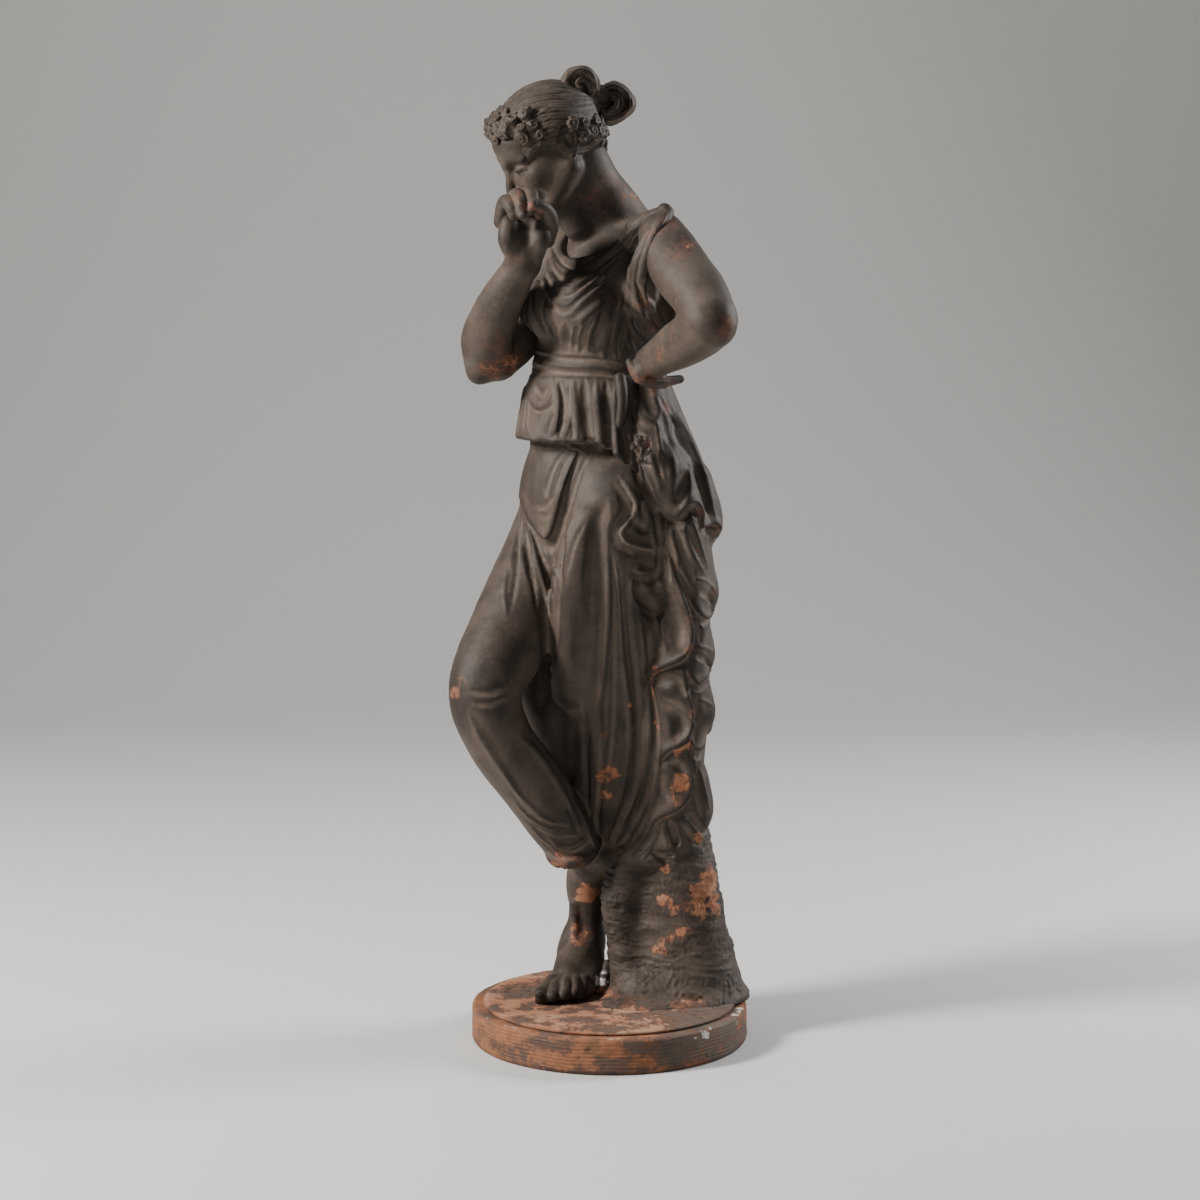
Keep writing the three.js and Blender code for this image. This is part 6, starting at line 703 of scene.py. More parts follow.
def skin():
    "face, neck, arms and hands"
    # ---- neck and upper chest
    limb([[5.4, 40, 665.6, 34], [-5.3, 33, 686.6, 29.5], [-14.3, 26, 704.2, 25], [-23.2, 15, 724.6, 22.5]], 8)
    stack([[618,-6,32,44,34,56],[640,-4,33,50,36,56],[655,-1,34,47,33,56],[668,2,36,38,27,56],[678,4,37,28,23,56]], 7)
    limb([[-36.1, 66, 662.8, 12], [-16, 32, 663.8, 7], [11.7, 4, 671.3, 7], [34, -16, 675.5, 9]], 8)
    limb([[-33.6, -2, 725.4, 6], [-23.9, 4, 706.5, 6], [-15.9, 12, 687.6, 5]], 12)
    limb([[-25.7, 14, 673.1, 12], [-33.8, 10, 687.5, 13], [-38.6, 6, 701.8, 12]], 10)
    # ---- skull and face
    ell(hd(0,-4,9), [33,42,37], 4, HA)
    ell(hd(0,10,-16), [28.5,31,32], 6, HA)
    ell(hd(0,22,15), [28,21,20], 5, HA)
    limb([hd(28,0,-22,10), hd(21,18,-36,9), hd(8,33,-44,8), hd(-8,33,-44,8), hd(-21,18,-36,9), hd(-28,0,-22,10)], 6)
    ell(hd(18,27,-15), [9.5,9,9], 7, HA)
    ell(hd(-18,27,-15), [9.5,9,9], 7, HA)
    ell(hd(21,14,-18), [9,15,17], 9, HA)
    ell(hd(-21,14,-18), [9,15,17], 9, HA)
    limb([hd(-24,31,4,3), hd(-15,38.5,6.5,3.2), hd(-6,41,4,3), hd(0,41.5,2,3), hd(6,41,4,3), hd(15,38.5,6.5,3.2), hd(24,31,4,3)], 5)
    ell(hd(15.5,42,-3), [8.6,5.2,5.2], 6, HA, 1)
    ell(hd(-15.5,42,-3), [8.6,5.2,5.2], 6, HA, 1)
    ell(hd(15.2,30.6,-3.4), [8.2,8,6.6], 1.4, HA)
    ell(hd(-15.2,30.6,-3.4), [8.2,8,6.6], 1.4, HA)
    for s in [1, -1]:
        limb([hd(7.5*s,36.4,-5.4,0.9), hd(11*s,38.8,-4.2,1.5), hd(16.5*s,38.8,-3.8,1.6), hd(23*s,33.2,-5.2,1.0)], 1.2)
        limb([hd(8*s,36.2,-6.4,0.8), hd(12*s,37.8,-8.6,1.1), hd(17.5*s,37.2,-8.4,1.1), hd(23*s,33,-5.8,0.8)], 1.2)
        limb([hd(7.6*s,37.4,-5.6,0.4), hd(12*s,40,-6.4,0.7), hd(17*s,39.6,-6.3,0.7), hd(23*s,34.4,-5.6,0.5)], 0.6, 1)
        limb([hd(8.4*s,37.4,-0.6,0.5), hd(12*s,39.6,1.1,0.7), hd(17*s,39.2,1.2,0.7), hd(23.5*s,33.2,-2.4,0.5)], 1.0, 1)
    limb([hd(0,40.5,3,3.2), hd(0,43.8,-7,3.3), hd(0,47.6,-15,3.5), hd(0,49.6,-20.5,3.7)], 5)
    for s in [1, -1]:
        ell(hd(4.2*s,44.6,-21.8), [2.7,4.4,2.8], 2.2, HA)
        ell(hd(2.5*s,47.4,-25.4), [1.1,1.9,1.3], 0.7, HA, 1)
    ell(hd(0,37,-34), [13,8.5,9.5], 4, HA)
    limb([hd(-8.6,40.6,-34.8,1.0), hd(-3.6,44.4,-32.7,2.0), hd(0,44.8,-33.5,1.7), hd(3.6,44.4,-32.7,2.0), hd(8.6,40.6,-34.8,1.0)], 1.8)
    limb([hd(-7.4,41,-37,1.2), hd(-2.6,44.2,-38.2,2.2), hd(2.6,44.2,-38.2,2.2), hd(7.4,41,-37,1.2)], 1.8)
    limb([hd(-9.4,41.4,-35.5,0.6), hd(-4,46.2,-35.2,0.8), hd(0,47,-35.8,0.8), hd(4,46.2,-35.2,0.8), hd(9.4,41.4,-35.5,0.6)], 0.8, 1)
    limb([hd(-6,43.6,-42.2,1.2), hd(6,43.6,-42.2,1.2)], 3, 1)
    ell(hd(0,38.5,-47.5), [8.5,7.2,6.6], 5, HA)
    # ---- ears
    for s in [1, -1]:
        ell(hd(34*s,-8,-3), [4,7.5,11], 2, HA)
        limb([hd(36*s,-2,1,1.2), hd(37.5*s,-4,8,1.6), hd(38.5*s,-10,11,1.8), hd(39*s,-16,6,1.8), hd(38.5*s,-15,-3,1.7), hd(37*s,-10,-11,1.5), hd(36*s,-6,-14,2.3)], 0.9)
        limb([hd(37.5*s,-6,5,0.9), hd(38*s,-11,5,1.1), hd(38*s,-12,-2,1.2), hd(37*s,-8,-8,1)], 0.7)
        ell(hd(39.5*s,-8,0), [3.4,3,7], 1, HA, 1)
    # ---- right arm, raised
    limb([[-36.2, 70, 659.6, 20], [-52.8, 60, 621.4, 20.5], [-74.9, 42, 583.5, 19.5], [-92.7, 28, 565.6, 19]], 6, 0, 14)
    limb([[-100.7, 22, 567.4, 19.5], [-100.2, 12, 582.3, 21], [-90.3, -8, 606.8, 18.5], [-79.2, -22, 626.1, 15.5], [-69.2, -32, 643.5, 13.4], [-66.7, -35, 656.1, 14]], 5, 0, 12)
    ell([-107.3, 20, 553.6], [9,9,9], 8, axes(60))
    # ---- right hand, loosely closed in front of the mouth
    limb([[-68.4, -33, 643.5, 13], [-69.2, -33, 653, 14], [-69.2, -32, 660.9, 15]], 6)
    ell([-68.4, -30, 672], [20,11,22], 5, axes(12))
    limb([[-77.7, -42, 648.1, 5], [-80.7, -46, 660.6, 8], [-79.9, -44, 673.2, 7]], 5)
    limb([[-57, -42, 649.7, 5], [-54.5, -45, 662.2, 7.5], [-53, -42, 673.3, 6.5]], 5)
    ell([-66.9, -56, 665.1], [6.5,9,14], 3, axes(8), 1)
    limb([[-86.9, -26, 675.3, 6], [-85, -32, 686.2, 6], [-82.2, -44, 691.3, 5.4], [-77.9, -55, 686.2, 5], [-75.5, -57, 679.2, 4.4]], 1.2)
    limb([[-79.7, -24, 683.3, 6.4], [-77, -32, 692.5, 6.2], [-73.5, -44, 696, 5.6], [-70, -56, 690.1, 5.2], [-69.1, -59, 681.4, 4.6]], 1.2)
    limb([[-70.1, -24, 686.4, 6.4], [-66.7, -32, 694.8, 6], [-63.2, -43, 697.6, 5.4], [-61.4, -54, 691.7, 5], [-62.1, -58, 683.8, 4.5]], 1.2)
    limb([[-60.5, -24, 684.8, 6], [-57.1, -32, 692.5, 5.6], [-54.5, -42, 693.7, 5], [-54.3, -51, 687.1, 4.6], [-55.9, -54, 680, 4]], 1.2)
    limb([[-50, -36, 660.8, 6.4], [-46.6, -42, 671.7, 6], [-48.1, -49, 681.7, 5.4], [-54.2, -56, 687, 4.8], [-59.6, -60, 688.4, 4.2]], 1.4)
    ell([-60.3, -65, 689], [3,1.6,2.6], 0.5, axes(20))
    ell([-68.2, -63.5, 679], [3,1.4,2.6], 0.5, axes(5))
    # ---- left arm, hand set back on the hip
    limb([[41.8, -28, 664.2, 19], [47.1, -40, 652.9, 22], [56.9, -58, 635.4, 23.5], [70.2, -84, 616.6, 22.5], [77.3, -104, 599.8, 20.5]], 6, 0, 14)
    limb([[78, -106, 596.7, 20], [70.1, -92, 588.8, 20.5], [56, -70, 579.1, 19], [42.3, -50, 570, 15.5], [33, -40, 564.2, 13.2]], 5, 0, 12)
    ell([84.8, -110, 590.6], [9,9,10], 8, axes(0))
    limb([[32.2, -38, 562.5, 11], [28.2, -40, 557, 8]], 4)
    ell([27.4, -42, 557.8], [8,9,6], 3, axes(30))
    limb([[26.6, -42, 553.1, 5], [36.2, -40, 549.8, 5], [46.8, -34, 548.8, 4.4], [56.6, -28, 550.2, 3.4]], 3)
    limb([[19.4, -42, 559.4, 4.4], [24.1, -45, 551.6, 4.2], [33, -42, 546.7, 3.6], [43.5, -36, 545.7, 3]], 1.6)
    limb([[16.2, -38, 564.1, 3.6], [19.4, -42, 556.3, 3.8], [22.6, -42, 549.9, 3]], 1.4)
    limb([[30.5, -48, 553.3, 1.6], [40.1, -44, 550.7, 1.6], [49.9, -38, 550.5, 1.4]], 1, 1)


def hair():
    "combed hair, curls and the bow"
    global SK, KN, KX, KW, KA, KB
    # ---- cap of combed hair
    SK = hd(0,-4,10)
    ell(SK, [36.5,45,39], 3, HA)
    ell(hd(0,-31,-12), [24,14,16], 8, HA)
    limb([hd(0,-34,-14,10), hd(0,-33,-26,8), hd(0,-32,-36,5)], 8)
    ell(hd(0,56,-14), [40,30,42], 6, HA, 1)
    ell(hd(40,16,-20), [17,24,25], 4, HA, 1)
    ell(hd(42,-7,-3), [9,9,12], 2, HA, 1)
    ell(hd(-40,16,-20), [17,24,25], 4, HA, 1)
    ell(hd(-42,-7,-3), [9,9,12], 2, HA, 1)
    # ---- roll of hair round the brow and temples, and along the nape
    limb([hd(35,-2,15,3.5), hd(33,10,20,5), hd(25,23,28,6), hd(13,31,33,6), hd(0,33,34,6), hd(-13,31,33,6), hd(-25,23,28,6), hd(-33,10,20,5), hd(-35,-2,15,3.5)], 4)
    limb([hd(34,-22,0,5), hd(28,-32,-8,6), hd(14,-39,-14,6), hd(0,-41,-16,6), hd(-14,-39,-14,6), hd(-28,-32,-8,6), hd(-34,-22,0,5)], 4)
    # ---- locks laid over the ears
    def side(y, z):
        return 36.5 * math.sqrt(max(0.05, 1 - ((y + 4) / 45.0)**2 - ((z - 10) / 39.0)**2))
    for s in [1, -1]:
        for k in range(6):
            o = 3.1 * k
            limb([hd((side(22,5+o)+0.4)*s, 22, 5+o, 1.7), hd((side(12,10+o)+1.3)*s, 12, 10+o, 2.2), hd((side(1,14+o)+1.9)*s, 1, 14+o, 2.5), hd((side(-10,14+o)+1.9)*s, -10, 14+o, 2.5), hd((side(-20,8+o)+1.3)*s, -20, 8+o, 2.2), hd((side(-28,1+o)+0.4)*s, -28, 1+o, 1.6)], 0.9)
    # ---- knot, drawn up behind the crown
    KN = [-10.2, 22, 775.6]
    KA = [-22.3, 8, 786.5]
    KB = [2.8, 26, 772.6]
    ell(KN, [12,12,12], 6)
    # ---- locks drawn back to the knot from every side
    KX = [(KN[j] - SK[j]) / 52 for j in range(3)]
    KW = [HA[2][j] + 0.2 * HA[1][j] for j in range(3)]
    def lock(an, th):
        an = an + 0.35 * math.sin(1.6 * th)
        return [SK[j] + 60 * (-math.cos(th) * KX[j] + math.sin(th) * (math.cos(an) * HA[0][j] + math.sin(an) * KW[j])) for j in range(3)]
    for i in range(34):
        an = 6.2832 * (i + 0.5) / 34
        groove(press(SK, [lock(an, 0.7), lock(an, 1.1), lock(an, 1.6), lock(an, 2.1), lock(an, 2.6), lock(an, 2.9)], 4), 1.0, 1.1 + 0.5 * math.sin(3.7 * i), 0.5)
    # ---- the two loops of the bow of hair, laid up of strands
    limb([[-11, 14, 781.4, 4], [-11.8, 10, 788.2, 4], [-16.6, 8, 794.4, 4], [-23.9, 6, 796.2, 4], [-30.3, 5, 794.2, 4], [-33.6, 5, 789, 3.8], [-32, 6, 783.9, 3.4]], 2)
    limb([[-4.5, 22, 776.4, 5], [-2.1, 22, 782.8, 4.6], [3.6, 24, 784.5, 4.6], [10.2, 26, 782.3, 4.8], [14.2, 26, 775.9, 5], [14.2, 26, 769.4, 5], [10.2, 26, 764.6, 4.8], [4.5, 26, 762.2, 4.6], [-2.9, 24, 761.3, 5]], 2)
    for i in range(9):
        w = (i - 4) * 2.1; o = 3.4 * math.cos(1.5 * (i - 4) / 4) ; r = 2.1 + 0.4 * math.sin(5.0 * i)
        limb([[-11, 14+w, 781.4, r], [-11.8 + 0.81 * (0-o*0.2), 10+w, 788.2 - 0.81 * (0-o*0.3), r], [-16.2, 8+w, 794 - 0.81 * (0-o*0.9), r], [-23.5, 6+w, 796.2 - 0.81 * (0-o), r], [-30.7 + 0.81 * (0-o*0.6), 5+w, 794.2 - 0.81 * (0-o*0.6), r], [-34.4 + 0.81 * (0-o), 5+w, 789.4, r], [-33.2 + 0.81 * (0-o), 6+w, 784.7, r]], 0.9)
        limb([[-4.5, 22+w, 776.4, r], [-2.9 + 0.81 * (0-o*0.3), 22+w, 782.8 - 0.81 * (0-o*0.5), r], [3.6, 24+w, 785.3 - 0.81 * (0-o), r], [11 + 0.81 * (0+o*0.5), 26+w, 782.3 - 0.81 * (0-o*0.7), r], [15.9 + 0.81 * (0+o), 26+w, 775.9, r], [16.7 + 0.81 * (0+o), 26+w, 769.4, r], [11.8 + 0.82 * (0+o*0.5), 26+w, 763.8 - 0.82 * (0+o*0.5), r], [5.3, 26+w, 760.6 - 0.82 * (0+o), r], [-2.9, 24+w, 759.7 - 0.81 * (0+o), r], [-6.1, 22+w, 766.8, r]], 0.9)
    for i in range(4):
        w = (i - 1.5) * 2.6
        limb([[-14.2, 8+w, 780.1, 2.4], [-15, 6+w, 787.9, 2.5], [-19.8, 5+w, 792.6, 2.5], [-26.3, 4+w, 793.3, 2.4], [-30.3, 4+w, 789.3, 2.3], [-28.7, 5+w, 784.7, 2.2]], 0.9)
        limb([[-2.1, 21+w, 762.7, 3], [4.4, 22+w, 765.1, 3], [10.1, 23+w, 770, 3], [10.1, 23+w, 775.6, 3], [6.1, 22+w, 779.6, 2.8], [0.4, 21+w, 779.5, 2.6]], 0.9)
    ell([-22.3, 8, 788.1], [10,6,8], 2, axes(10))
    limb([[-16.6, 3, 780.5, 2.2], [-18.2, 0, 787.5, 2.3], [-23, -2, 789.7, 2.3], [-26.2, -2, 786.5, 2], [-23.8, -2, 783.3, 1.8]], 0.7)
    ell([3.7, 30, 771.3], [11,8,11], 3, axes(10))
    limb([[-1.3, 13, 765.3, 2.4], [4.4, 12, 768.5, 2.4], [6, 12, 773.3, 2.2], [2, 12, 775.6, 2]], 0.7)
    ell([-5.3, 9, 774.6], [5,7,5], 0.8, axes(20), 1)
    # ---- curls framing the face, in two uneven rows
    for i in range(13):
        a = (i - 6) * 0.27 + 0.05*math.sin(5.3*i); s = math.sin(a); c = math.cos(a)
        if abs(a) < 1.25: curl(SK, hd(46*s, -6 + 50*c - 6*s*s, 9 + 21*c + 3.4*math.sin(4.1*i)), 5.2 + 1.5*math.sin(2.3*i), 1.8 + 0.3*math.sin(3.9*i), 0.8, (1 - 2*(i % 2)) * (1 + 0.2*math.sin(1.7*i)), 1.9*i, 0.4 + 0.5*math.sin(2.9*i)**2)
    for i in range(14):
        a = (i - 6.5) * 0.26 + 0.06*math.sin(4.7*i); s = math.sin(a); c = math.cos(a)
        if abs(a) < 1.1: curl(SK, hd(47*s, -8 + 42*c - 4*s*s, 20 + 24*c + 3*math.sin(3.3*i)), 5.6 + 1.5*math.sin(3.1*i), 1.9 + 0.4*math.sin(2.2*i), 0.8, (2*(i % 2) - 1) * (1 + 0.25*math.sin(2.9*i)), 2.7*i, 0.5 + 0.7*math.sin(1.9*i)**2)
    for i in range(11):
        a = (i - 5) * 0.29 + 0.07*math.sin(3.7*i); s = math.sin(a); c = math.cos(a)
        if abs(a) < 0.98: curl(SK, hd(47*s, -9 + 36*c - 4*s*s, 26 + 22*c + 2.4*math.sin(5.3*i)), 4.6 + 1.2*math.sin(4.1*i), 1.6, 0.8, (1 - 2*(i % 2)) * (1 + 0.2*math.sin(3.1*i)), 2.1*i, 0.3)
    for i in range(12):
        a = (i - 5.5) * 0.23 + 0.04*math.sin(3.1*i); s = math.sin(a); c = math.cos(a)
        if abs(a) < 1.2: curl(SK, hd(46.5*s, -7 + 47*c - 5*s*s, 14 + 22.5*c + 2*math.sin(2.7*i)), 4.8 + 1.0*math.sin(4.7*i), 1.7, 0.8, (1 - 2*(i % 2)) * (1 + 0.2*math.sin(2.3*i)), 1.3*i, 0.3 + 0.4*math.sin(1.3*i)**2)
    # ---- curls along the nape, and the short ones down the neck
    for i in range(15):
        a = (i - 7) * 0.2; s = math.sin(a); c = math.cos(a)
        curl(SK, hd(48*s, -12 - 40*c, 5 - 22*c + 2*math.sin(3.7*i)), 5.2 + 1.0*math.sin(2.9*i), 1.6, 0.6, 1 - 2*(i % 2), 2.1*i)
        if i % 2 == 0:
            curl(SK, hd(46*s, -13 - 37*c, 14 - 20*c), 4.8 + 0.8*math.sin(2*i), 1.5, 0.6, 2*(i % 2) - 1, 1.7*i)
            curl(SK, hd(44*s, -14 - 34*c, -3 - 28*c), 3.4, 1.1, 0.6, 1, 2.9*i)
    for a, b, c, r, t in [[4,-33,-30,2.9,1],[9,-31,-35,2.6,-1],[-3,-32,-35,2.6,1],[3,-31,-41,2.4,-1]]:
        curl(hd(0,-10,c), hd(a,b,c), r, 1.1, 0.5, t, a * 0.4)


def foot():
    "ankle and foot"
    # ---- bare ankle and foot of the standing leg
    limb([[-10.3, 50, 156.4, 20], [-19.7, 56, 120.3, 17], [-18.9, 58, 98, 15.4], [-20.6, 59, 75.9, 16], [-24.9, 54, 55.2, 18]], 6)
    limb([[-24.9, 54, 63.1, 17], [-28.2, 38, 55, 17], [-33.9, 18, 46.3, 14.5], [-38, 4, 38.9, 10.5]], 8)
    limb([[-21.5, 54, 56.1, 15], [-16.3, 40, 47.5, 13], [-17.9, 18, 42, 10], [-22, 6, 38.3, 8.5]], 8)
    ell([-18.1, 72, 33.8], [14,17,16], 8, axes(14))
    ell([-31.7, 52, 74.1], [5,7,8], 8, axes(14))
    ell([-9.5, 62, 68.1], [5,7,8], 8, axes(14))
    ell([-35.4, 3, 36.6], [21,16,8.5], 6, axes(14))
    limb([[-29.9, 46, 100.9, 3], [-29.9, 42, 80.1, 3], [-33.2, 30, 61.4, 3], [-39.8, 14, 50.8, 2.6]], 5)
    limb([[-47.1, 2, 43.7, 8.4], [-51.9, -10, 40.9, 8], [-56.7, -20, 39.4, 7.4]], 3)
    limb([[-40.4, 2, 45.4, 6], [-43.6, -12, 44.9, 6], [-46.7, -23, 40.2, 5.2]], 1.6)
    limb([[-33.7, 2, 46.3, 5.8], [-36.1, -11, 46.3, 5.8], [-37.6, -21, 40.5, 5]], 1.6)
    limb([[-27.9, 4, 45.7, 5.5], [-28.6, -7, 46.1, 5.5], [-29.4, -16, 40.9, 4.8]], 1.6)
    limb([[-21.2, 6, 45.2, 5.4], [-22, -1, 44.5, 5.2], [-22.8, -8, 40.4, 4.6]], 1.6)
    ell([-58.2, -27, 42.2], [3.6,1.6,2.8], 0.6, axes(14))


def trunk():
    "the tree trunk"
    # ---- trunk behind the standing leg, flaring into a root
    stack([[28,60,24,60,46,24],[42,58,24,56,42,26],[60,55,27,53,39,28],[100,51,30,49,36,30],[150,47,34,43,34,30],[185,45,38,36,32,30]], 4, 8)
    limb([[19.1, 20, 154.2, 18], [12.4, 14, 126.4, 17], [8.2, 12, 109.8, 15], [13.3, 14, 83.6, 16], [17.5, 12, 47.9, 16]], 10)
    limb([[25.7, -4, 38.5, 13], [52.2, -12, 32.1, 14], [77.5, -6, 27.9, 14], [91.8, 14, 28.4, 15]], 16)
    limb([[88.6, 24, 67.2, 13], [92.6, 34, 38.6, 15], [93.2, 46, 22.2, 15]], 14)
    limb([[74,58,36,15],[54,68,34,14],[24,66,34,13]], 22)
    ell([52,18,28], [62,58,13], 12, axes(0))
    ell([22,-18,28], [34,26,10], 10, axes(0))
    # the broken recess beside the foot
    limb([[12.1, -24, 72.7, 15], [25.3, -26, 69.8, 15], [35.2, -26, 64.8, 11]], 5, 1)
    limb([[25.2, -26, 138.9, 9], [30.2, -24, 117.4, 10], [33.5, -24, 96.4, 11]], 6, 1)
    # knots and shallow dents
    ell([75, -18, 116], [11,6,16], 7, axes(-20), 1)
    ell([48.2, -30, 123.1], [8,5,10], 5, axes(-10), 1)
    limb([[41.7, -26, 96.9, 3], [54.9, -28, 92.3, 4], [69.9, -24, 96.4, 3]], 4, 1)
    limb([[32, -22, 49.3, 2.4], [51.7, -30, 45.5, 3], [74.9, -28, 38.2, 2.4]], 3, 1)
    # ---- fill between the foot and the trunk
    limb([[-1.8, 24, 56.9, 2.4], [-3.5, 20, 47.5, 3.6], [-6.1, 14, 39.6, 3.6], [-9.4, 9, 35.8, 2.4]], 4)


# where the paint has flaked to the clay, as found on the piece: x, y, z, reach, amount
WORN = [
    [2, 7, 705.8, 12, 0.4], [10.1, 11, 699.6, 12, 0.5], [-6.1, 2.7, 693.7, 12, 0.4], [20, 18.6, 694.2, 9, 0.4], [-15.9, 1.2, 689.6, 12, 0.3],
    [46.1, -47.1, 674.7, 13, 0.4], [63.1, -60.7, 660.4, 12, 0.5], [51.7, -75, 650.8, 12, 0.4], [35.6, -56, 663.6, 8, 0.3],
    [92, -121, 592.3, 9, 0.5], [86, -118.6, 581.6, 7, 0.4], [39.3, -78.1, 574.5, 9, 0.4], [48.2, -95, 586.5, 8, 0.4], [47.2, -10, 603.6, 5, 0.4],
    [30.5, -40.7, 611.8, 8, 0.4], [34.3, -12.5, 595.6, 9, 0.4], [-88.7, -11, 581.1, 14, 0.4], [-81.4, 11.9, 564.4, 13, 0.6], [-97.7, 7.5, 554.8, 11, 0.6],
    [-74.6, -57.9, 691.6, 6, 0.5], [-62.7, -63.3, 687.5, 6, 0.6], [-80.8, -45.1, 644.9, 6.9, 0.4], [-55, -57.8, 679.9, 5.2, 0.4],
    [32.1, -46.1, 553.2, 8, 0.4], [48.3, -38.1, 549, 7, 0.4], [17.8, -46, 554.8, 7, 0.4], [36.6, -23.6, 539.6, 7, 0.4], [45.6, -19.5, 529, 8, 0.4],
    [32, -58.2, 498.9, 4.3, 0.6], [24, -61.4, 503.1, 3.4, 0.4], [73.1, -28.6, 443, 4.3, 0.5], [87.1, -6.4, 424.7, 6, 0.4], [85.7, -6.3, 375.3, 6, 0.4],
    [65.5, -27, 330.1, 5.2, 0.5], [37.3, -14.1, 311.8, 4.3, 0.6], [63.1, -11.2, 249, 4.3, 0.6], [54.9, -11.7, 243.2, 4.3, 0.6], [58.3, -11.4, 215.6, 8.6, 0.9],
    [56.7, -11.3, 203, 5.2, 0.6], [75.5, 2, 168.2, 6.9, 0.7], [46.3, -2.6, 142.9, 4, 0.6], [65.3, -29.9, 355.1, 5.2, 0.5], [67.7, -18.2, 274.3, 5.2, 0.5],
    [-125.9, -43.8, 298.1, 6.9, 0.7], [-119.2, -48.2, 308.6, 5.2, 0.4], [-1.1, 5.3, 220.8, 8.6, 0.8], [-1.9, 7.9, 203.5, 6, 0.7], [-2.8, -3.7, 256.1, 4.3, 0.6],
    [17, -6.3, 281.6, 3.4, 0.7], [21.2, -0.9, 261.5, 3.4, 0.5], [-31.9, 9.9, 253.8, 3.4, 0.5], [-40.9, -10.3, 150.6, 10.3, 0.6], [-24.3, -11.4, 147.5, 7.7, 0.5],
    [-44.1, -16.1, 166.2, 6, 0.3], [-18.8, 40.4, 112.6, 9.5, 0.8], [-23.1, 43.3, 95.4, 6.9, 0.4], [-26.5, 38.4, 76.6, 8.6, 0.6], [-14.6, 44, 79.6, 6, 0.4],
    [80.6, 0.4, 127.8, 11, 0.9], [85.9, 7.9, 134.6, 8, 0.7], [73.8, -5, 118.9, 9, 0.8], [65.4, -7.6, 113.6, 6, 0.6], [87.4, 1.7, 111.4, 8.6, 0.8], [72.9, -7.2, 107.5, 7.7, 0.7], [44.7, -4.8, 117.2, 4.6, 0.7], [50.5, -6.5, 115, 3.6, 0.6], [54.6, -7.8, 109.4, 5.2, 0.6],
    [60.4, -10.8, 89.7, 5.6, 0.7], [68.7, -10.4, 92.2, 4.4, 0.6], [52.1, -9.9, 86.1, 4.6, 0.6], [43.9, -7.6, 83, 4, 0.6], [38.9, -6.3, 75, 4.2, 0.6], [45.5, -9, 74.8, 3.4, 0.6], [84.2, 8.4, 141.4, 6, 0.6], [16.6, 15.9, 766.3, 6, 0.4]]
# pale filling
WHITE = [[-3.5, 17.4, 50, 5, 0.5], [-6.1, 12, 42.7, 5, 0.6]]


# ---------------------------------------------------------------- from field to mesh
def build(name, faces, move=None, ratio=None):
    """skins the current field and thins it to about the number of triangles"""
    pts, tri, quad = skin_of()
    me = bpy.data.meshes.new(name)
    n4 = len(quad)
    me.vertices.add(len(pts))
    me.vertices.foreach_set('co', (pts / 1000).astype(f32).ravel())
    me.loops.add(4 * n4)
    me.loops.foreach_set('vertex_index', quad[:, ::-1].astype(np.int32).ravel())
    me.polygons.add(n4)
    me.polygons.foreach_set('loop_start', np.arange(0, 4 * n4, 4, dtype=np.int32))
    me.update(calc_edges=True)
    ob = bpy.data.objects.new(name, me)
    bpy.context.scene.collection.objects.link(ob)
    have = 2 * n4
    say(name, 'skinned', have)
    if have > faces:
        mod = ob.modifiers.new('thin', 'DECIMATE')
        mod.ratio = faces / have
        dg = bpy.context.evaluated_depsgraph_get()
        new = bpy.data.meshes.new_from_object(ob.evaluated_get(dg))
        ob.modifiers.clear()
        ob.data = new
        bpy.data.meshes.remove(me)
        me = new
        me.name = name
    me.polygons.foreach_set('use_smooth', np.ones(len(me.polygons), bool))
    say(name, 'thinned', len(me.polygons))
    return ob


def points(ob):
    n = len(ob.data.vertices)
    a = np.empty(3 * n, f32)
    ob.data.vertices.foreach_get('co', a)
    return a.reshape(n, 3).astype(float) * 1000


def normals(ob):
    n = len(ob.data.vertices)
    a = np.empty(3 * n, f32)
    ob.data.vertex_normals.foreach_get('vector', a)
    return a.reshape(n, 3).astype(float)


def set_points(ob, p):
    ob.data.vertices.foreach_set('co', (p / 1000).astype(f32).ravel())
    ob.data.update()


def value(ob, name, v):
    at_ = ob.data.attributes.new(name, 'FLOAT', 'POINT')
    at_.data.foreach_set('value', np.asarray(v, f32))


def edges(ob):
    e = np.empty(2 * len(ob.data.edges), np.int32)
    ob.data.edges.foreach_get('vertices', e)
    return e.reshape(-1, 2)


def spread(e, n, v, times):
    "averages a value over neighbouring points"
    cnt = np.bincount(e[:, 0], minlength=n) + np.bincount(e[:, 1], minlength=n) + 1.0
    for _ in range(times):
        v = (v + np.bincount(e[:, 0], weights=v[e[:, 1]], minlength=n) + np.bincount(e[:, 1], weights=v[e[:, 0]], minlength=n)) / cnt
    return v


def crest(ob):
    "how far each point stands out of its neighbours, in millimetres: + on crests, - in hollows"
    p, nr, e = points(ob), normals(ob), edges(ob)
    n = len(p)
    out = []
    q = p.copy()
    done = 0
    for steps in (4, 24):
        for _ in range(steps - done):
            cnt = np.bincount(e[:, 0], minlength=n) + np.bincount(e[:, 1], minlength=n) + 1.0
            q = np.stack([(q[:, i] + np.bincount(e[:, 0], weights=q[e[:, 1], i], minlength=n)
                           + np.bincount(e[:, 1], weights=q[e[:, 0], i], minlength=n)) / cnt for i in range(3)], 1)
        done = steps
        out.append(((p - q) * nr).sum(1))
    return out


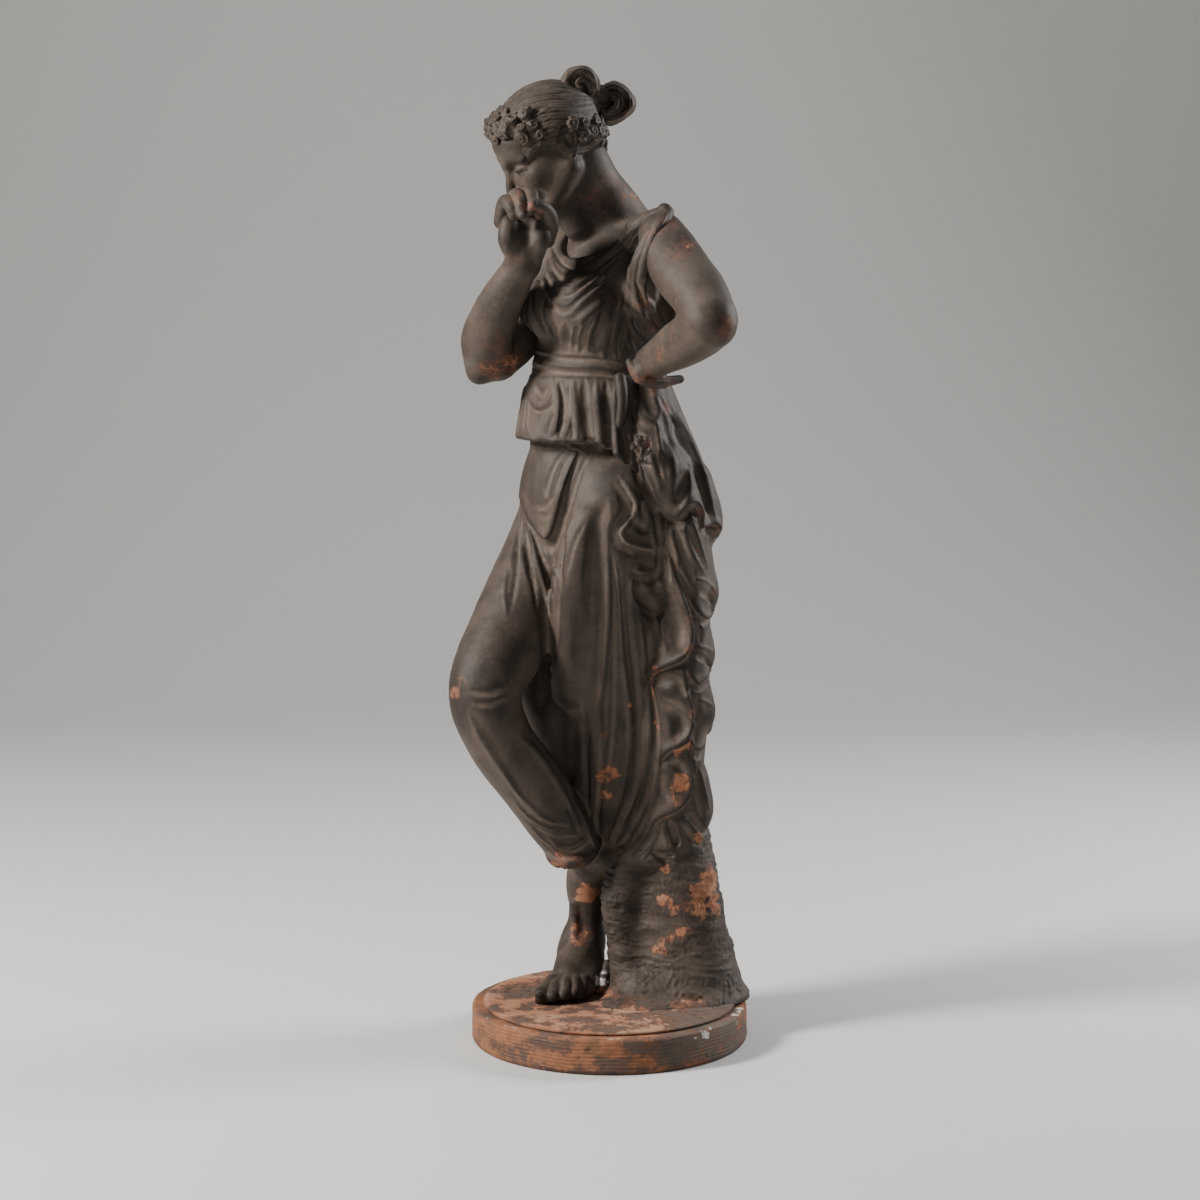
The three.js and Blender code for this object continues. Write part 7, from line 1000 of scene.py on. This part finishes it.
# ---------------------------------------------------------------- noise, the same on every run
def noise(p, seed=0):
    "smooth value noise from -1 to 1, one unit a cell"
    i = np.floor(p).astype(np.int64)
    f = p - i
    f = f * f * f * (f * (f * 6 - 15) + 10)

    def h(a, b, c):
        n = (a * 374761393 + b * 668265263 + c * 2147483647 + seed * 974634777) & 0xffffffff
        n = ((n ^ (n >> 13)) * 1274126177) & 0xffffffff
        n = ((n ^ (n >> 16)) * 2246822519) & 0xffffffff
        return (n & 0xffff) / 32767.5 - 1
    x, y, z = i[:, 0], i[:, 1], i[:, 2]
    u, v, w = f[:, 0], f[:, 1], f[:, 2]
    a = h(x, y, z) * (1 - u) + h(x + 1, y, z) * u
    b = h(x, y + 1, z) * (1 - u) + h(x + 1, y + 1, z) * u
    c = h(x, y, z + 1) * (1 - u) + h(x + 1, y, z + 1) * u
    d = h(x, y + 1, z + 1) * (1 - u) + h(x + 1, y + 1, z + 1) * u
    return (a * (1 - v) + b * v) * (1 - w) + (c * (1 - v) + d * v) * w


def cloud(p, size, octaves=3, seed=0):
    v, amp, tot = 0, 1.0, 0.0
    for o in range(octaves):
        v = v + amp * noise(p / size * 2 ** o + 17.3 * o, seed + o)
        tot += amp
        amp *= 0.5
    return v / tot


def ease(x, a, b):
    t = np.clip((x - a) / (b - a), 0, 1)
    return t * t * (3 - 2 * t)


# ---------------------------------------------------------------- materials
class Nodes:
    "a small helper for wiring a material's nodes"
    def __init__(self, name):
        self.mat = bpy.data.materials.new(name)
        self.mat.use_nodes = True
        self.t = self.mat.node_tree
        self.t.nodes.clear()
        self.out = self.t.nodes.new('ShaderNodeOutputMaterial')
        self.bsdf = self.t.nodes.new('ShaderNodeBsdfPrincipled')
        self.t.links.new(self.bsdf.outputs[0], self.out.inputs[0])

    def link(self, a, b):
        if hasattr(a, 'is_output') or isinstance(a, bpy.types.NodeSocket):
            self.t.links.new(a, b)
        else:
            b.default_value = a

    def attr(self, name):
        n = self.t.nodes.new('ShaderNodeAttribute')
        n.attribute_name = name
        return n.outputs['Fac']

    def math(self, op, a, b=0.0, clamp=False):
        n = self.t.nodes.new('ShaderNodeMath')
        n.operation = op
        n.use_clamp = clamp
        self.link(a, n.inputs[0])
        self.link(b, n.inputs[1])
        return n.outputs[0]

    def step(self, v, a, b):
        "0 below a, 1 above b"
        n = self.t.nodes.new('ShaderNodeMapRange')
        n.interpolation_type = 'SMOOTHSTEP'
        self.link(v, n.inputs['Value'])
        n.inputs['From Min'].default_value = a
        n.inputs['From Max'].default_value = b
        return n.outputs['Result']

    def noise(self, scale, detail=4.0, rough=0.55, stretch=(1, 1, 1), distortion=0.0):
        tc = self.t.nodes.new('ShaderNodeTexCoord')
        mp = self.t.nodes.new('ShaderNodeMapping')
        mp.inputs['Scale'].default_value = stretch
        self.t.links.new(tc.outputs['Object'], mp.inputs['Vector'])
        n = self.t.nodes.new('ShaderNodeTexNoise')
        n.inputs['Scale'].default_value = scale
        n.inputs['Detail'].default_value = detail
        n.inputs['Roughness'].default_value = rough
        n.inputs['Distortion'].default_value = distortion
        self.t.links.new(mp.outputs[0], n.inputs['Vector'])
        return n.outputs['Fac']

    def mix(self, f, a, b):
        n = self.t.nodes.new('ShaderNodeMix')
        n.data_type = 'RGBA'
        self.link(f, n.inputs[0])
        self.link(a, n.inputs[6])
        self.link(b, n.inputs[7])
        return n.outputs[2]


PAINT_DARK = (0.036, 0.026, 0.020, 1)
PAINT_MID = (0.078, 0.058, 0.045, 1)
PAINT_PALE = (0.21, 0.165, 0.130, 1)
CLAY = (0.30, 0.122, 0.064, 1)
CLAY_PALE = (0.37, 0.185, 0.110, 1)
CLAY_DARK = (0.19, 0.075, 0.038, 1)
CLAY_BROWN = (0.17, 0.085, 0.045, 1)
CLAY_CREAM = (0.31, 0.215, 0.150, 1)
# the next two colours: painted shade laid in the hollows, on bare clay and on paint; the paint one also colours the
# dark specks
CLAY_SHADE = (0.055, 0.026, 0.015, 1)
PAINT_SHADE_AND_SPECKS = (0.014, 0.009, 0.007, 1)
STAIN = (0.125, 0.056, 0.037, 1)
FILL = (0.52, 0.51, 0.50, 1)


def surface(name, worn_bias, rough=0.62, pale=False, brown=False):
    m = Nodes(name)
    worn, hollow, dust_and_highlight, white = m.attr('worn'), m.attr('hollow'), m.attr('dust_and_highlight'), m.attr('white')
    big = m.noise(14.0, 4.0, 0.6)
    mid = m.noise(55.0, 5.0, 0.65)
    fine = m.noise(260.0, 4.0, 0.7)
    specks = m.noise(620.0, 2.0, 0.5)
    # paint: mottled grey-brown, with painted shade in the hollows, and paler on upward faces and crests, partly from
    # dust and partly a painted highlight
    tone = m.math('ADD', m.math('MULTIPLY', big, 0.6), m.math('MULTIPLY', mid, 0.4))
    paint = m.mix(m.step(tone, 0.36, 0.62), PAINT_DARK, PAINT_MID)
    paint = m.mix(m.math('MULTIPLY', m.step(fine, 0.52, 0.78), 0.22), paint, PAINT_PALE)
    paint = m.mix(m.math('MULTIPLY', dust_and_highlight, 0.45), paint, PAINT_PALE)
    paint = m.mix(m.math('MULTIPLY', hollow, 0.72), paint, PAINT_SHADE_AND_SPECKS)
    # bare clay where the paint has flaked: worn amount broken up by noise
    clay = m.mix(m.step(mid, 0.35, 0.7), CLAY_BROWN if brown else CLAY, CLAY if brown else CLAY_PALE)
    if pale:
        clay = m.mix(m.math('MULTIPLY', m.step(tone, 0.42, 0.66), 0.6), clay, CLAY_CREAM)
    clay = m.mix(m.math('MULTIPLY', m.step(fine, 0.4, 0.75), 0.4), clay, CLAY_DARK)
    # painted shade on the bare clay in the hollows
    clay = m.mix(m.math('MULTIPLY', hollow, 0.55), clay, CLAY_SHADE)
    ragged = m.math('ADD', m.math('MULTIPLY', mid, 0.55), m.math('MULTIPLY', fine, 0.45))
    amount = m.math('ADD', m.math('ADD', worn, worn_bias), m.math('MULTIPLY', m.math('SUBTRACT', ragged, 0.5), 2.2))
    bare = m.step(amount, 0.58, 0.72)
    paint = m.mix(m.math('MULTIPLY', m.step(amount, 0.22, 0.6), 0.7), paint, STAIN)
    col = m.mix(bare, paint, clay)
    pale_fill = m.step(m.math('ADD', white, m.math('MULTIPLY', m.math('SUBTRACT', ragged, 0.5), 1.2)), 0.45, 0.62)
    col = m.mix(m.math('MULTIPLY', pale_fill, 0.8), col, FILL)
    col = m.mix(m.math('MULTIPLY', m.step(specks, 0.66, 0.74), 0.5), col, PAINT_SHADE_AND_SPECKS)
    m.link(col, m.bsdf.inputs['Base Color'])
    r = m.math('ADD', m.math('MULTIPLY', bare, 0.22), rough)
    m.link(m.math('ADD', r, m.math('MULTIPLY', m.math('SUBTRACT', fine, 0.5), 0.2), True), m.bsdf.inputs['Roughness'])
    m.bsdf.inputs['Specular IOR Level'].default_value = 0.26
    bump = m.t.nodes.new('ShaderNodeBump')
    bump.inputs['Strength'].default_value = 0.25
    bump.inputs['Distance'].default_value = 0.0006
    m.link(m.math('SUBTRACT', m.math('ADD', m.math('MULTIPLY', fine, 0.7), m.math('MULTIPLY', mid, 0.5)), m.math('MULTIPLY', bare, 0.5)), bump.inputs['Height'])
    m.t.links.new(bump.outputs[0], m.bsdf.inputs['Normal'])
    return m.mat


def plain(name, col, rough=0.8):
    m = Nodes(name)
    m.bsdf.inputs['Base Color'].default_value = (*col, 1)
    m.bsdf.inputs['Roughness'].default_value = rough
    return m.mat


# ---------------------------------------------------------------- camera, floor, light
def studio():
    sc = bpy.context.scene
    cam = bpy.data.cameras.new('camera')
    cam.lens, cam.sensor_width, cam.sensor_fit = 78.75, 36.0, 'HORIZONTAL'
    co = bpy.data.objects.new('camera', cam)
    co.location = (-0.00776, -2.1454, 0.620)
    co.rotation_euler = (math.radians(90 - 6.70), 0, 0)
    sc.collection.objects.link(co)
    sc.camera = co

    # one sweep: floor, a wide curve, and a wall behind
    prof = [(-3.0, 0.0), (1.6, 0.0)]
    for i in range(1, 13):
        a = math.radians(90 * i / 12)
        prof.append((1.6 + 1.2 * math.sin(a), 1.2 - 1.2 * math.cos(a)))
    prof.append((2.8, 4.0))
    v = [(x, y, z) for y, z in prof for x in (-6.0, 6.0)]
    f = [(2 * i, 2 * i + 1, 2 * i + 3, 2 * i + 2) for i in range(len(prof) - 1)]
    me = bpy.data.meshes.new('floor')
    me.from_pydata(v, [], f)
    for p in me.polygons:
        p.use_smooth = True
    floor = bpy.data.objects.new('floor', me)
    me.materials.append(plain('floor', FLOOR, 0.9))
    sc.collection.objects.link(floor)
    floor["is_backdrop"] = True

    w = bpy.data.worlds.new('studio')
    w.use_nodes = True
    w.node_tree.nodes['Background'].inputs[0].default_value = (1, 1, 1, 1)
    w.node_tree.nodes['Background'].inputs[1].default_value = WORLD
    sc.world = w

    def area(name, loc, to, size, power, col=(1, 1, 1)):
        l = bpy.data.lights.new(name, 'AREA')
        l.shape, l.size, l.size_y = 'RECTANGLE', size[0], size[1]
        l.energy, l.color = power, col
        o = bpy.data.objects.new(name, l)
        o.location = loc
        o.rotation_euler = (Vector(to) - Vector(loc)).to_track_quat('-Z', 'Y').to_euler()
        sc.collection.objects.link(o)
    for a in LIGHTS:
        area(*a)


FLOOR = (0.56, 0.555, 0.54)
WORLD = 0.05
LIGHTS = [
    ('key', (-1.65, -0.60, 1.40), (0, 0, 0.42), (0.40, 0.6), 92, (1.0, 0.97, 0.93)),
    ('rim', (1.55, 0.55, 1.15), (0, 0, 0.42), (0.5, 0.9), 42),
    ('fill', (0.7, -2.5, 1.1), (0, 0, 0.40), (1.2, 1.2), 6),
    ('top', (-0.3, 0.3, 2.3), (0, 0, 0.5), (0.9, 0.8), 10),
]
# ---------------------------------------------------------------- finishing a skinned piece
def near(p, rows, seed=0):
    "how strongly each point lies within a set of ragged round patches"
    v = np.zeros(len(p))
    rag = cloud(p * [0.8, 0.8, 1.5], 8.0, 4, seed) * 0.9 + cloud(p * [0.7, 0.7, 1.6], 2.6, 2, seed + 2) * 0.45
    for x, y, z, r, a in rows:
        d = np.sqrt((p[:, 0] - x) ** 2 + (p[:, 1] - y) ** 2 + (p[:, 2] - z) ** 2) / r
        v = np.maximum(v, a * ease(1.35 - d + rag, 0, 0.7))
    return v


def pits(p, count, lo, hi, r, deep, seed, long=1.0):
    "small dents scattered over a box: their depth at each point"
    rng = np.random.default_rng(seed)
    out = np.zeros(len(p))
    c = rng.uniform(lo, hi, (count, 3))
    s = rng.uniform(0.5, 1.0, count) * r
    for i in range(count):
        m = np.nonzero(np.abs(p - c[i]).max(1) < s[i] * 1.5)[0]
        if len(m):
            d = np.sqrt(((p[m] - c[i]) ** 2).sum(1)) / s[i]
            out[m] = np.maximum(out[m], deep * np.clip(1 - d, 0, 1) ** 0.7)
    return out


def finish_piece(ob, name, mat, rough=0.25, extra=0.0, seed=1, worn_gain=1.0, sharp=0.45, low=0.0):
    "fine unevenness, chipped crests, and the values that the colours are worked out from"
    p, nr = points(ob), normals(ob)
    c1, c2 = crest(ob)
    edge = ease(c1, 0.10, sharp)
    chip = edge * ease(cloud(p, 7.0, 3, seed), 0.12, 0.35)
    d = rough * cloud(p, 3.2, 2, seed + 5) + 0.35 * cloud(p, 16.0, 2, seed + 9) - 0.55 * chip + extra
    p2 = p + nr * np.asarray(d).reshape(-1, 1)
    p2[:, 2] = np.maximum(p2[:, 2], 29.8)
    set_points(ob, p2)
    big = cloud(p, 34.0, 3, seed + 20)
    zone = 0.35 + 0.85 * ease(p[:, 0], 14, 34) * ease(520 - p[:, 2], 0, 40)
    worn = (ease(c1, 0.16, sharp + 0.12) * (0.18 + 0.46 * ease(big, -0.25, 0.35)) + 0.30 * chip) * zone * worn_gain
    patch = near(p, WORN, seed)
    value(ob, 'worn', np.clip(np.maximum(worn, patch) + low, 0, 1))
    value(ob, 'white', near(p, WHITE, seed + 3))
    # painted shade: darker in hollows, creases and the deepest grooves of the fine surface
    value(ob, 'hollow', np.clip(ease(-c2, 0.12, 1.5) + 0.4 * ease(-c1, 0.05, 0.35) + 0.55 * ease(-np.asarray(extra), 0.08, 0.55), 0, 1))
    # paler on upward faces and on crests: partly dust, partly a painted highlight
    value(ob, 'dust_and_highlight', np.clip(ease(nr[:, 2], 0.1, 0.9) * 0.5 + 0.55 * ease(c1, 0.03, 0.45) + 0.2 * ease(c2, 0.2, 1.5), 0, 1))
    ob.data.materials.clear()
    ob.data.materials.append(mat)
    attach(ob, 'root')
    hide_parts(name)
    say(ob.name, len(ob.data.polygons))


def strands(p):
    "fine combed lines of the hair: lines from the brow to the knot"
    q = p - np.asarray(SK)
    kx = np.asarray(KX) / np.linalg.norm(KX)
    kw = np.asarray(HA[2]) + 0.2 * np.asarray(HA[1])
    kw = kw - kx * (kw @ kx)
    kw /= np.linalg.norm(kw)
    kl = np.cross(kx, kw)
    kl *= np.sign(kl @ np.asarray(HA[0]))
    th = np.arccos(np.clip(-(q @ kx) / (np.linalg.norm(q, axis=1) + 1e-6), -1, 1))
    an = np.arctan2(q @ kw, q @ kl) - 0.35 * np.sin(1.6 * th)
    w = 0.5 * cloud(p, 14.0, 2, 77)
    lines = np.sin(an * 74 + 5 * w) * 0.6 + np.sin(an * 131 + 9 * w) * 0.4
    cap = ease(1.22 - np.abs(np.linalg.norm(q, axis=1) / 41.0 - 0.85), 0.9, 1.1) * ease(np.sin(th), 0.15, 0.4)
    d1 = np.hypot(p[:, 0] - KA[0], p[:, 2] - KA[2])
    d2 = np.hypot(p[:, 0] - KB[0], p[:, 2] - KB[2])
    loops = np.sin(np.minimum(d1, d2) * 2.6 + 3.0 * cloud(p, 9.0, 2, 78)) * ease(np.linalg.norm(q, axis=1), 46, 50)
    return 0.34 * lines * cap * (1 - ease(np.linalg.norm(q, axis=1), 46, 50)) + 0.30 * loops


def turned(name, prof, steps):
    "a closed body turned from rows of radius, height, from the lower middle out and round to the upper middle"
    n = len(prof)
    a = 2 * np.pi * np.arange(steps) / steps
    R = np.array([r for r, z in prof])[:, None]
    Z = np.array([z for r, z in prof])[:, None]
    v = np.stack([R * np.cos(a), R * np.sin(a), Z + 0 * a], -1).reshape(-1, 3)
    v = np.vstack([v, [[0, 0, prof[0][1]], [0, 0, prof[-1][1]]]])
    i, j = np.meshgrid(np.arange(n - 1), np.arange(steps), indexing='ij')
    k = (j + 1) % steps
    quads = np.stack([i * steps + j, i * steps + k, (i + 1) * steps + k, (i + 1) * steps + j], -1).reshape(-1, 4)
    j = np.arange(steps)
    k = (j + 1) % steps
    f = [tuple(int(q) for q in r) for r in quads]
    f += [(int(n * steps), int(b), int(a_)) for a_, b in zip(j, k)]
    f += [(int(n * steps + 1), int((n - 1) * steps + a_), int((n - 1) * steps + b)) for a_, b in zip(j, k)]
    me = bpy.data.meshes.new(name)
    me.from_pydata((v / 1000).tolist(), [], f)
    me.polygons.foreach_set('use_smooth', np.ones(len(me.polygons), bool))
    ob = bpy.data.objects.new(name, me)
    bpy.context.scene.collection.objects.link(ob)
    return ob


def gouges(p, count, seed, rmax, ang, length, deep, wide=0.7):
    "short scratches on the flat top, most of them running one way: their depth at each point"
    rng = np.random.default_rng(seed)
    out = np.zeros(len(p))
    for i in range(count):
        r, t = rmax * math.sqrt(rng.uniform()), rng.uniform(0, 2 * math.pi)
        c = np.array([r * math.cos(t), r * math.sin(t)])
        al = math.radians(ang + rng.normal(0, 22))
        ll = length * rng.uniform(0.35, 1.2)
        u = np.array([math.cos(al), math.sin(al)])
        q = p[:, :2] - c
        m = np.nonzero((np.abs(q[:, 0]) < ll + 2) & (np.abs(q[:, 1]) < ll + 2))[0]
        s = np.clip(q[m] @ u, -ll / 2, ll / 2)
        d = np.sqrt(((q[m] - s[:, None] * u) ** 2).sum(1)) / (wide * rng.uniform(0.7, 1.5))
        e = 1 - (np.abs(s) / (ll / 2 + 0.1)) ** 2 * 0.7
        out[m] = np.maximum(out[m], deep * rng.uniform(0.4, 1) * e * np.clip(1 - d, 0, 1))
    return out


# ---------------------------------------------------------------- the object
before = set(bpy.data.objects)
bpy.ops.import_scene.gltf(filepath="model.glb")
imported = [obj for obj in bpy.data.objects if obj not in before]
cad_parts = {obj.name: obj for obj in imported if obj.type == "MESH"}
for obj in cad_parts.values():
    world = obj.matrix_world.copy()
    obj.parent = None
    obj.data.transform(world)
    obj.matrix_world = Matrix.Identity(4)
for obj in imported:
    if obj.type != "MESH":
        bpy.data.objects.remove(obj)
record_size = [[float(v) for v in c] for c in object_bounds()]
K = 1.0
N = 1.0
paint = surface('painted_terracotta', 0.0)
paint_hair = surface('painted_hair', 0.02)
bark = surface('painted_trunk', 0.06)

lattice([-135, -70, 108], [118, 118, 566], 1.25 * K)
skirt()
say('skirt field')
finish_piece(build('skirt_and_mantle', int(192000 * N)), 'dancer_figure', paint, 0.22, seed=11)

lattice([-100, -70, 418], [80, 118, 690], 1.05 * K)
bodice()
say('bodice field')
finish_piece(build('bodice', int(150000 * N)), 'dancer_figure', paint, 0.22, seed=23)

lattice([-135, -165, 480], [112, 118, 775], 0.9 * K)
skin()
say('skin field')
ob = build('head_and_arms', int(170000 * N))
finish_piece(ob, 'dancer_figure', paint, 0.16, seed=37)

lattice([-112, -52, 678], [54, 76, 815], 0.62 * K)
hair()
say('hair field')
ob = build('hair', int(130000 * N))
finish_piece(ob, 'dancer_figure', paint_hair, 0.12, strands(points(ob)), seed=41, worn_gain=0.8)

lattice([-62, -40, 29.8], [12, 96, 190], 0.75 * K)
foot()
level(30.4)
say('foot field')
finish_piece(build('foot', int(36000 * N)), 'dancer_figure', paint, 0.15, seed=53)

lattice([-22, -70, 29.8], [120, 118, 215], 1.1 * K)
trunk()
level(30.4)
say('trunk field')
ob = build('trunk', int(84000 * N))
p = points(ob)
tilt = p[:, 2] + 0.10 * p[:, 0] + 3.0 * cloud(p, 30.0, 2, 4)
rasp = 1.05 * cloud(np.stack([p[:, 0] * 0.11, p[:, 1] * 0.11, tilt], 1), 1.9, 3, 5) + 0.12 * np.sin(tilt * 2.3 + 2.5 * cloud(p, 18.0, 2, 6))
rasp = rasp - 0.75 * ease(cloud(p * [0.4, 0.4, 1.5], 10.0, 4, 12), 0.08, 0.15)
rootz = ease(62 - p[:, 2], 0, 16)
comb = -0.8 * ease(cloud(np.stack([np.arctan2(p[:, 1] - 24, p[:, 0] - 52) * 40 + 0.8 * np.hypot(p[:, 1] - 24, p[:, 0] - 52), np.hypot(p[:, 1] - 24, p[:, 0] - 52) * 0.3, p[:, 2] * 0.3], 1), 2.6, 3, 8), 0.05, 0.25) * ease(cloud(p, 12.0, 2, 9), -0.3, 0.1) + 0.35 * cloud(p, 3.4, 2, 10)
rough_left = ease(18 - p[:, 0] + 0 * p[:, 1], 0, 12) * ease(150 - p[:, 2], 0, 20) * ease(p[:, 2] - 78, 0, 12)
finish_piece(ob, 'dancer_figure', bark, 0.25, rasp * (1 - rootz) + comb * rootz + rough_left * 1.2 * cloud(p, 4.0, 3, 15), seed=61, worn_gain=0.7,
             low=0.6 * ease(46 - p[:, 2], 0, 10) * ease(cloud(p, 16.0, 3, 18), -0.3, 0.2) * ease(96 - p[:, 0], 0, 40))

# the thin ground plate under the figure
PLATE_R, PLATE_LOW, PLATE_TOP = 105.2, 29.8, 33.0
rings = int(100 / K)
prof = [(PLATE_R * i / 12, PLATE_LOW) for i in range(1, 12)] + [(PLATE_R - 0.6, PLATE_LOW), (PLATE_R, PLATE_LOW + 0.9), (PLATE_R, PLATE_LOW + 1.8), (PLATE_R - 0.5, PLATE_TOP - 0.5), (PLATE_R - 1.6, PLATE_TOP)]
prof += [(PLATE_R - 1.6 - (PLATE_R - 2.6) * (i / rings), PLATE_TOP) for i in range(1, rings)] + [(0.9, PLATE_TOP)]
ob = turned('ground_plate', prof, int(360 / K))
p, nr = points(ob), normals(ob)
top = ease(p[:, 2], 31.6, 32.6)
r = np.hypot(p[:, 0], p[:, 1])
cut = gouges(p, 420, 7, 100, 152, 9.0, 1.5, 1.0) + gouges(p, 220, 9, 104, 20, 5.0, 1.0, 0.9)
wave = 0.35 * cloud(p, 22.0, 3, 3) + 0.16 * cloud(p, 3.0, 2, 4)
rim = ease(r, PLATE_R - 5, PLATE_R - 0.5)
d = top * (wave - cut) - 0.5 * rim * top - 0.7 * ease(cloud(p, 9.0, 3, 31), 0.25, 0.5) * rim
p2 = p + np.stack([0 * d, 0 * d, np.where(p[:, 2] > 30.2, d, 0)], 1)
p2[:, 2] = np.maximum(p2[:, 2], 29.8)
set_points(ob, p2)
value(ob, 'worn', np.clip(0.50 + 0.6 * cloud(p * [1, 1.5, 1], 26.0, 4, 71) + 0.2 * rim - 0.25 * ease(cut, 0.1, 0.8) - 0.5 * ease(p[:, 0] - 0.3 * p[:, 1], 62, 96), 0, 1))
value(ob, 'white', 0.10 * ease(cloud(p, 16.0, 3, 72), 0.1, 0.45) + 0.25 * near(p, [[88, -44, 33, 18, 1.0]]))
# painted shade in the scratches and round the rim
value(ob, 'hollow', np.clip(ease(cut, 0.15, 0.8) + 0.5 * ease(r, PLATE_R - 2.0, PLATE_R), 0, 1))
value(ob, 'dust_and_highlight', 0.6 + 0 * d)
ob.data.materials.append(surface('ground_clay', 0.20, pale=True))
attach(ob, 'root')
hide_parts('dancer_figure')

# the turned round base
BASE_R, BASE_H = 114.8, 29.5
side = int(44 / K)
prof = [(BASE_R * i / 10, 0.0) for i in range(1, 10)] + [(BASE_R - 2.4, 0.0), (BASE_R - 1.2, 0.5), (BASE_R - 0.3, 1.6)]
prof += [(BASE_R, 2.2 + (BASE_H - 4.4) * i / side) for i in range(side + 1)]
prof += [(BASE_R - 0.3, BASE_H - 1.3), (BASE_R - 1.2, BASE_H - 0.4), (BASE_R - 2.4, BASE_H)]
topn = int(26 / K)
prof += [(BASE_R - 2.4 - 34 * i / topn, BASE_H) for i in range(1, topn + 1)] + [(60.0, BASE_H), (30.0, BASE_H), (6.0, BASE_H)]
ob = turned('round_base', prof, int(720 / K))
p, nr = points(ob), normals(ob)
th = np.arctan2(p[:, 1], p[:, 0])
zz = p[:, 2]
ring = np.stack([np.cos(th) * 8, np.sin(th) * 8, zz * 0.9], 1)
lines = 0.30 * cloud(ring, 1.0, 2, 81) + 0.16 * np.sin(zz * 2.1 + 2 * cloud(p, 30.0, 2, 82))
sidem = ease(np.hypot(p[:, 0], p[:, 1]), BASE_R - 3, BASE_R - 0.5) * ease(zz, 0.5, 3)
chips = 1.3 * ease(cloud(p, 8.0, 3, 83), 0.30, 0.55) * np.maximum(ease(zz, 26.0, 29.0), ease(4.5 - zz, 0, 2.5)) * sidem
dent = pits(p, 240, [-118, -118, 2], [118, 118, 28], 2.4, 0.8, 84)
topm = ease(zz, 29.0, 29.4) * (1 - sidem)
rough = 0.22 * cloud(p, 4.0, 2, 85) + 0.5 * cloud(p, 40.0, 2, 86)
d = sidem * (lines - dent + rough) - chips + 0 * topm
p2 = p + nr * np.where(zz > 0.3, np.minimum(d, 0.9), 0)[:, None]
p2[:, 2] = np.clip(p2[:, 2], 0, 29.5)
set_points(ob, p2)
front_right = ease(p[:, 0], 20, 80) * ease(-p[:, 1], 0, 60)
value(ob, 'worn', np.clip(0.60 + 0.65 * cloud(p * [1, 1, 2.2], 24.0, 4, 87) - 0.45 * front_right + 0.5 * chips, 0, 1))
value(ob, 'white', 0.6 * ease(cloud(p, 13.0, 3, 88), 0.25, 0.5) * front_right + 0.45 * ease(zz, 28.4, 29.4) * ease(cloud(p, 20.0, 2, 89), -0.1, 0.4))
# painted shade in the dents and turning lines and along the bottom edge
value(ob, 'hollow', np.clip(ease(dent, 0.1, 0.6) + 0.4 * ease(-lines, 0.1, 0.35) + 0.5 * ease(5.0 - zz, 0, 4), 0, 1))
# paler toward the top: partly dust, partly a painted highlight
value(ob, 'dust_and_highlight', 0.3 + 0.4 * ease(zz, 20, 29))
ob.data.materials.append(surface('base_clay', 0.10, brown=True))
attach(ob, 'root')
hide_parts('round_base')

studio()
now_size = [[float(v) for v in c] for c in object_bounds()]
say('done', record_size, now_size)
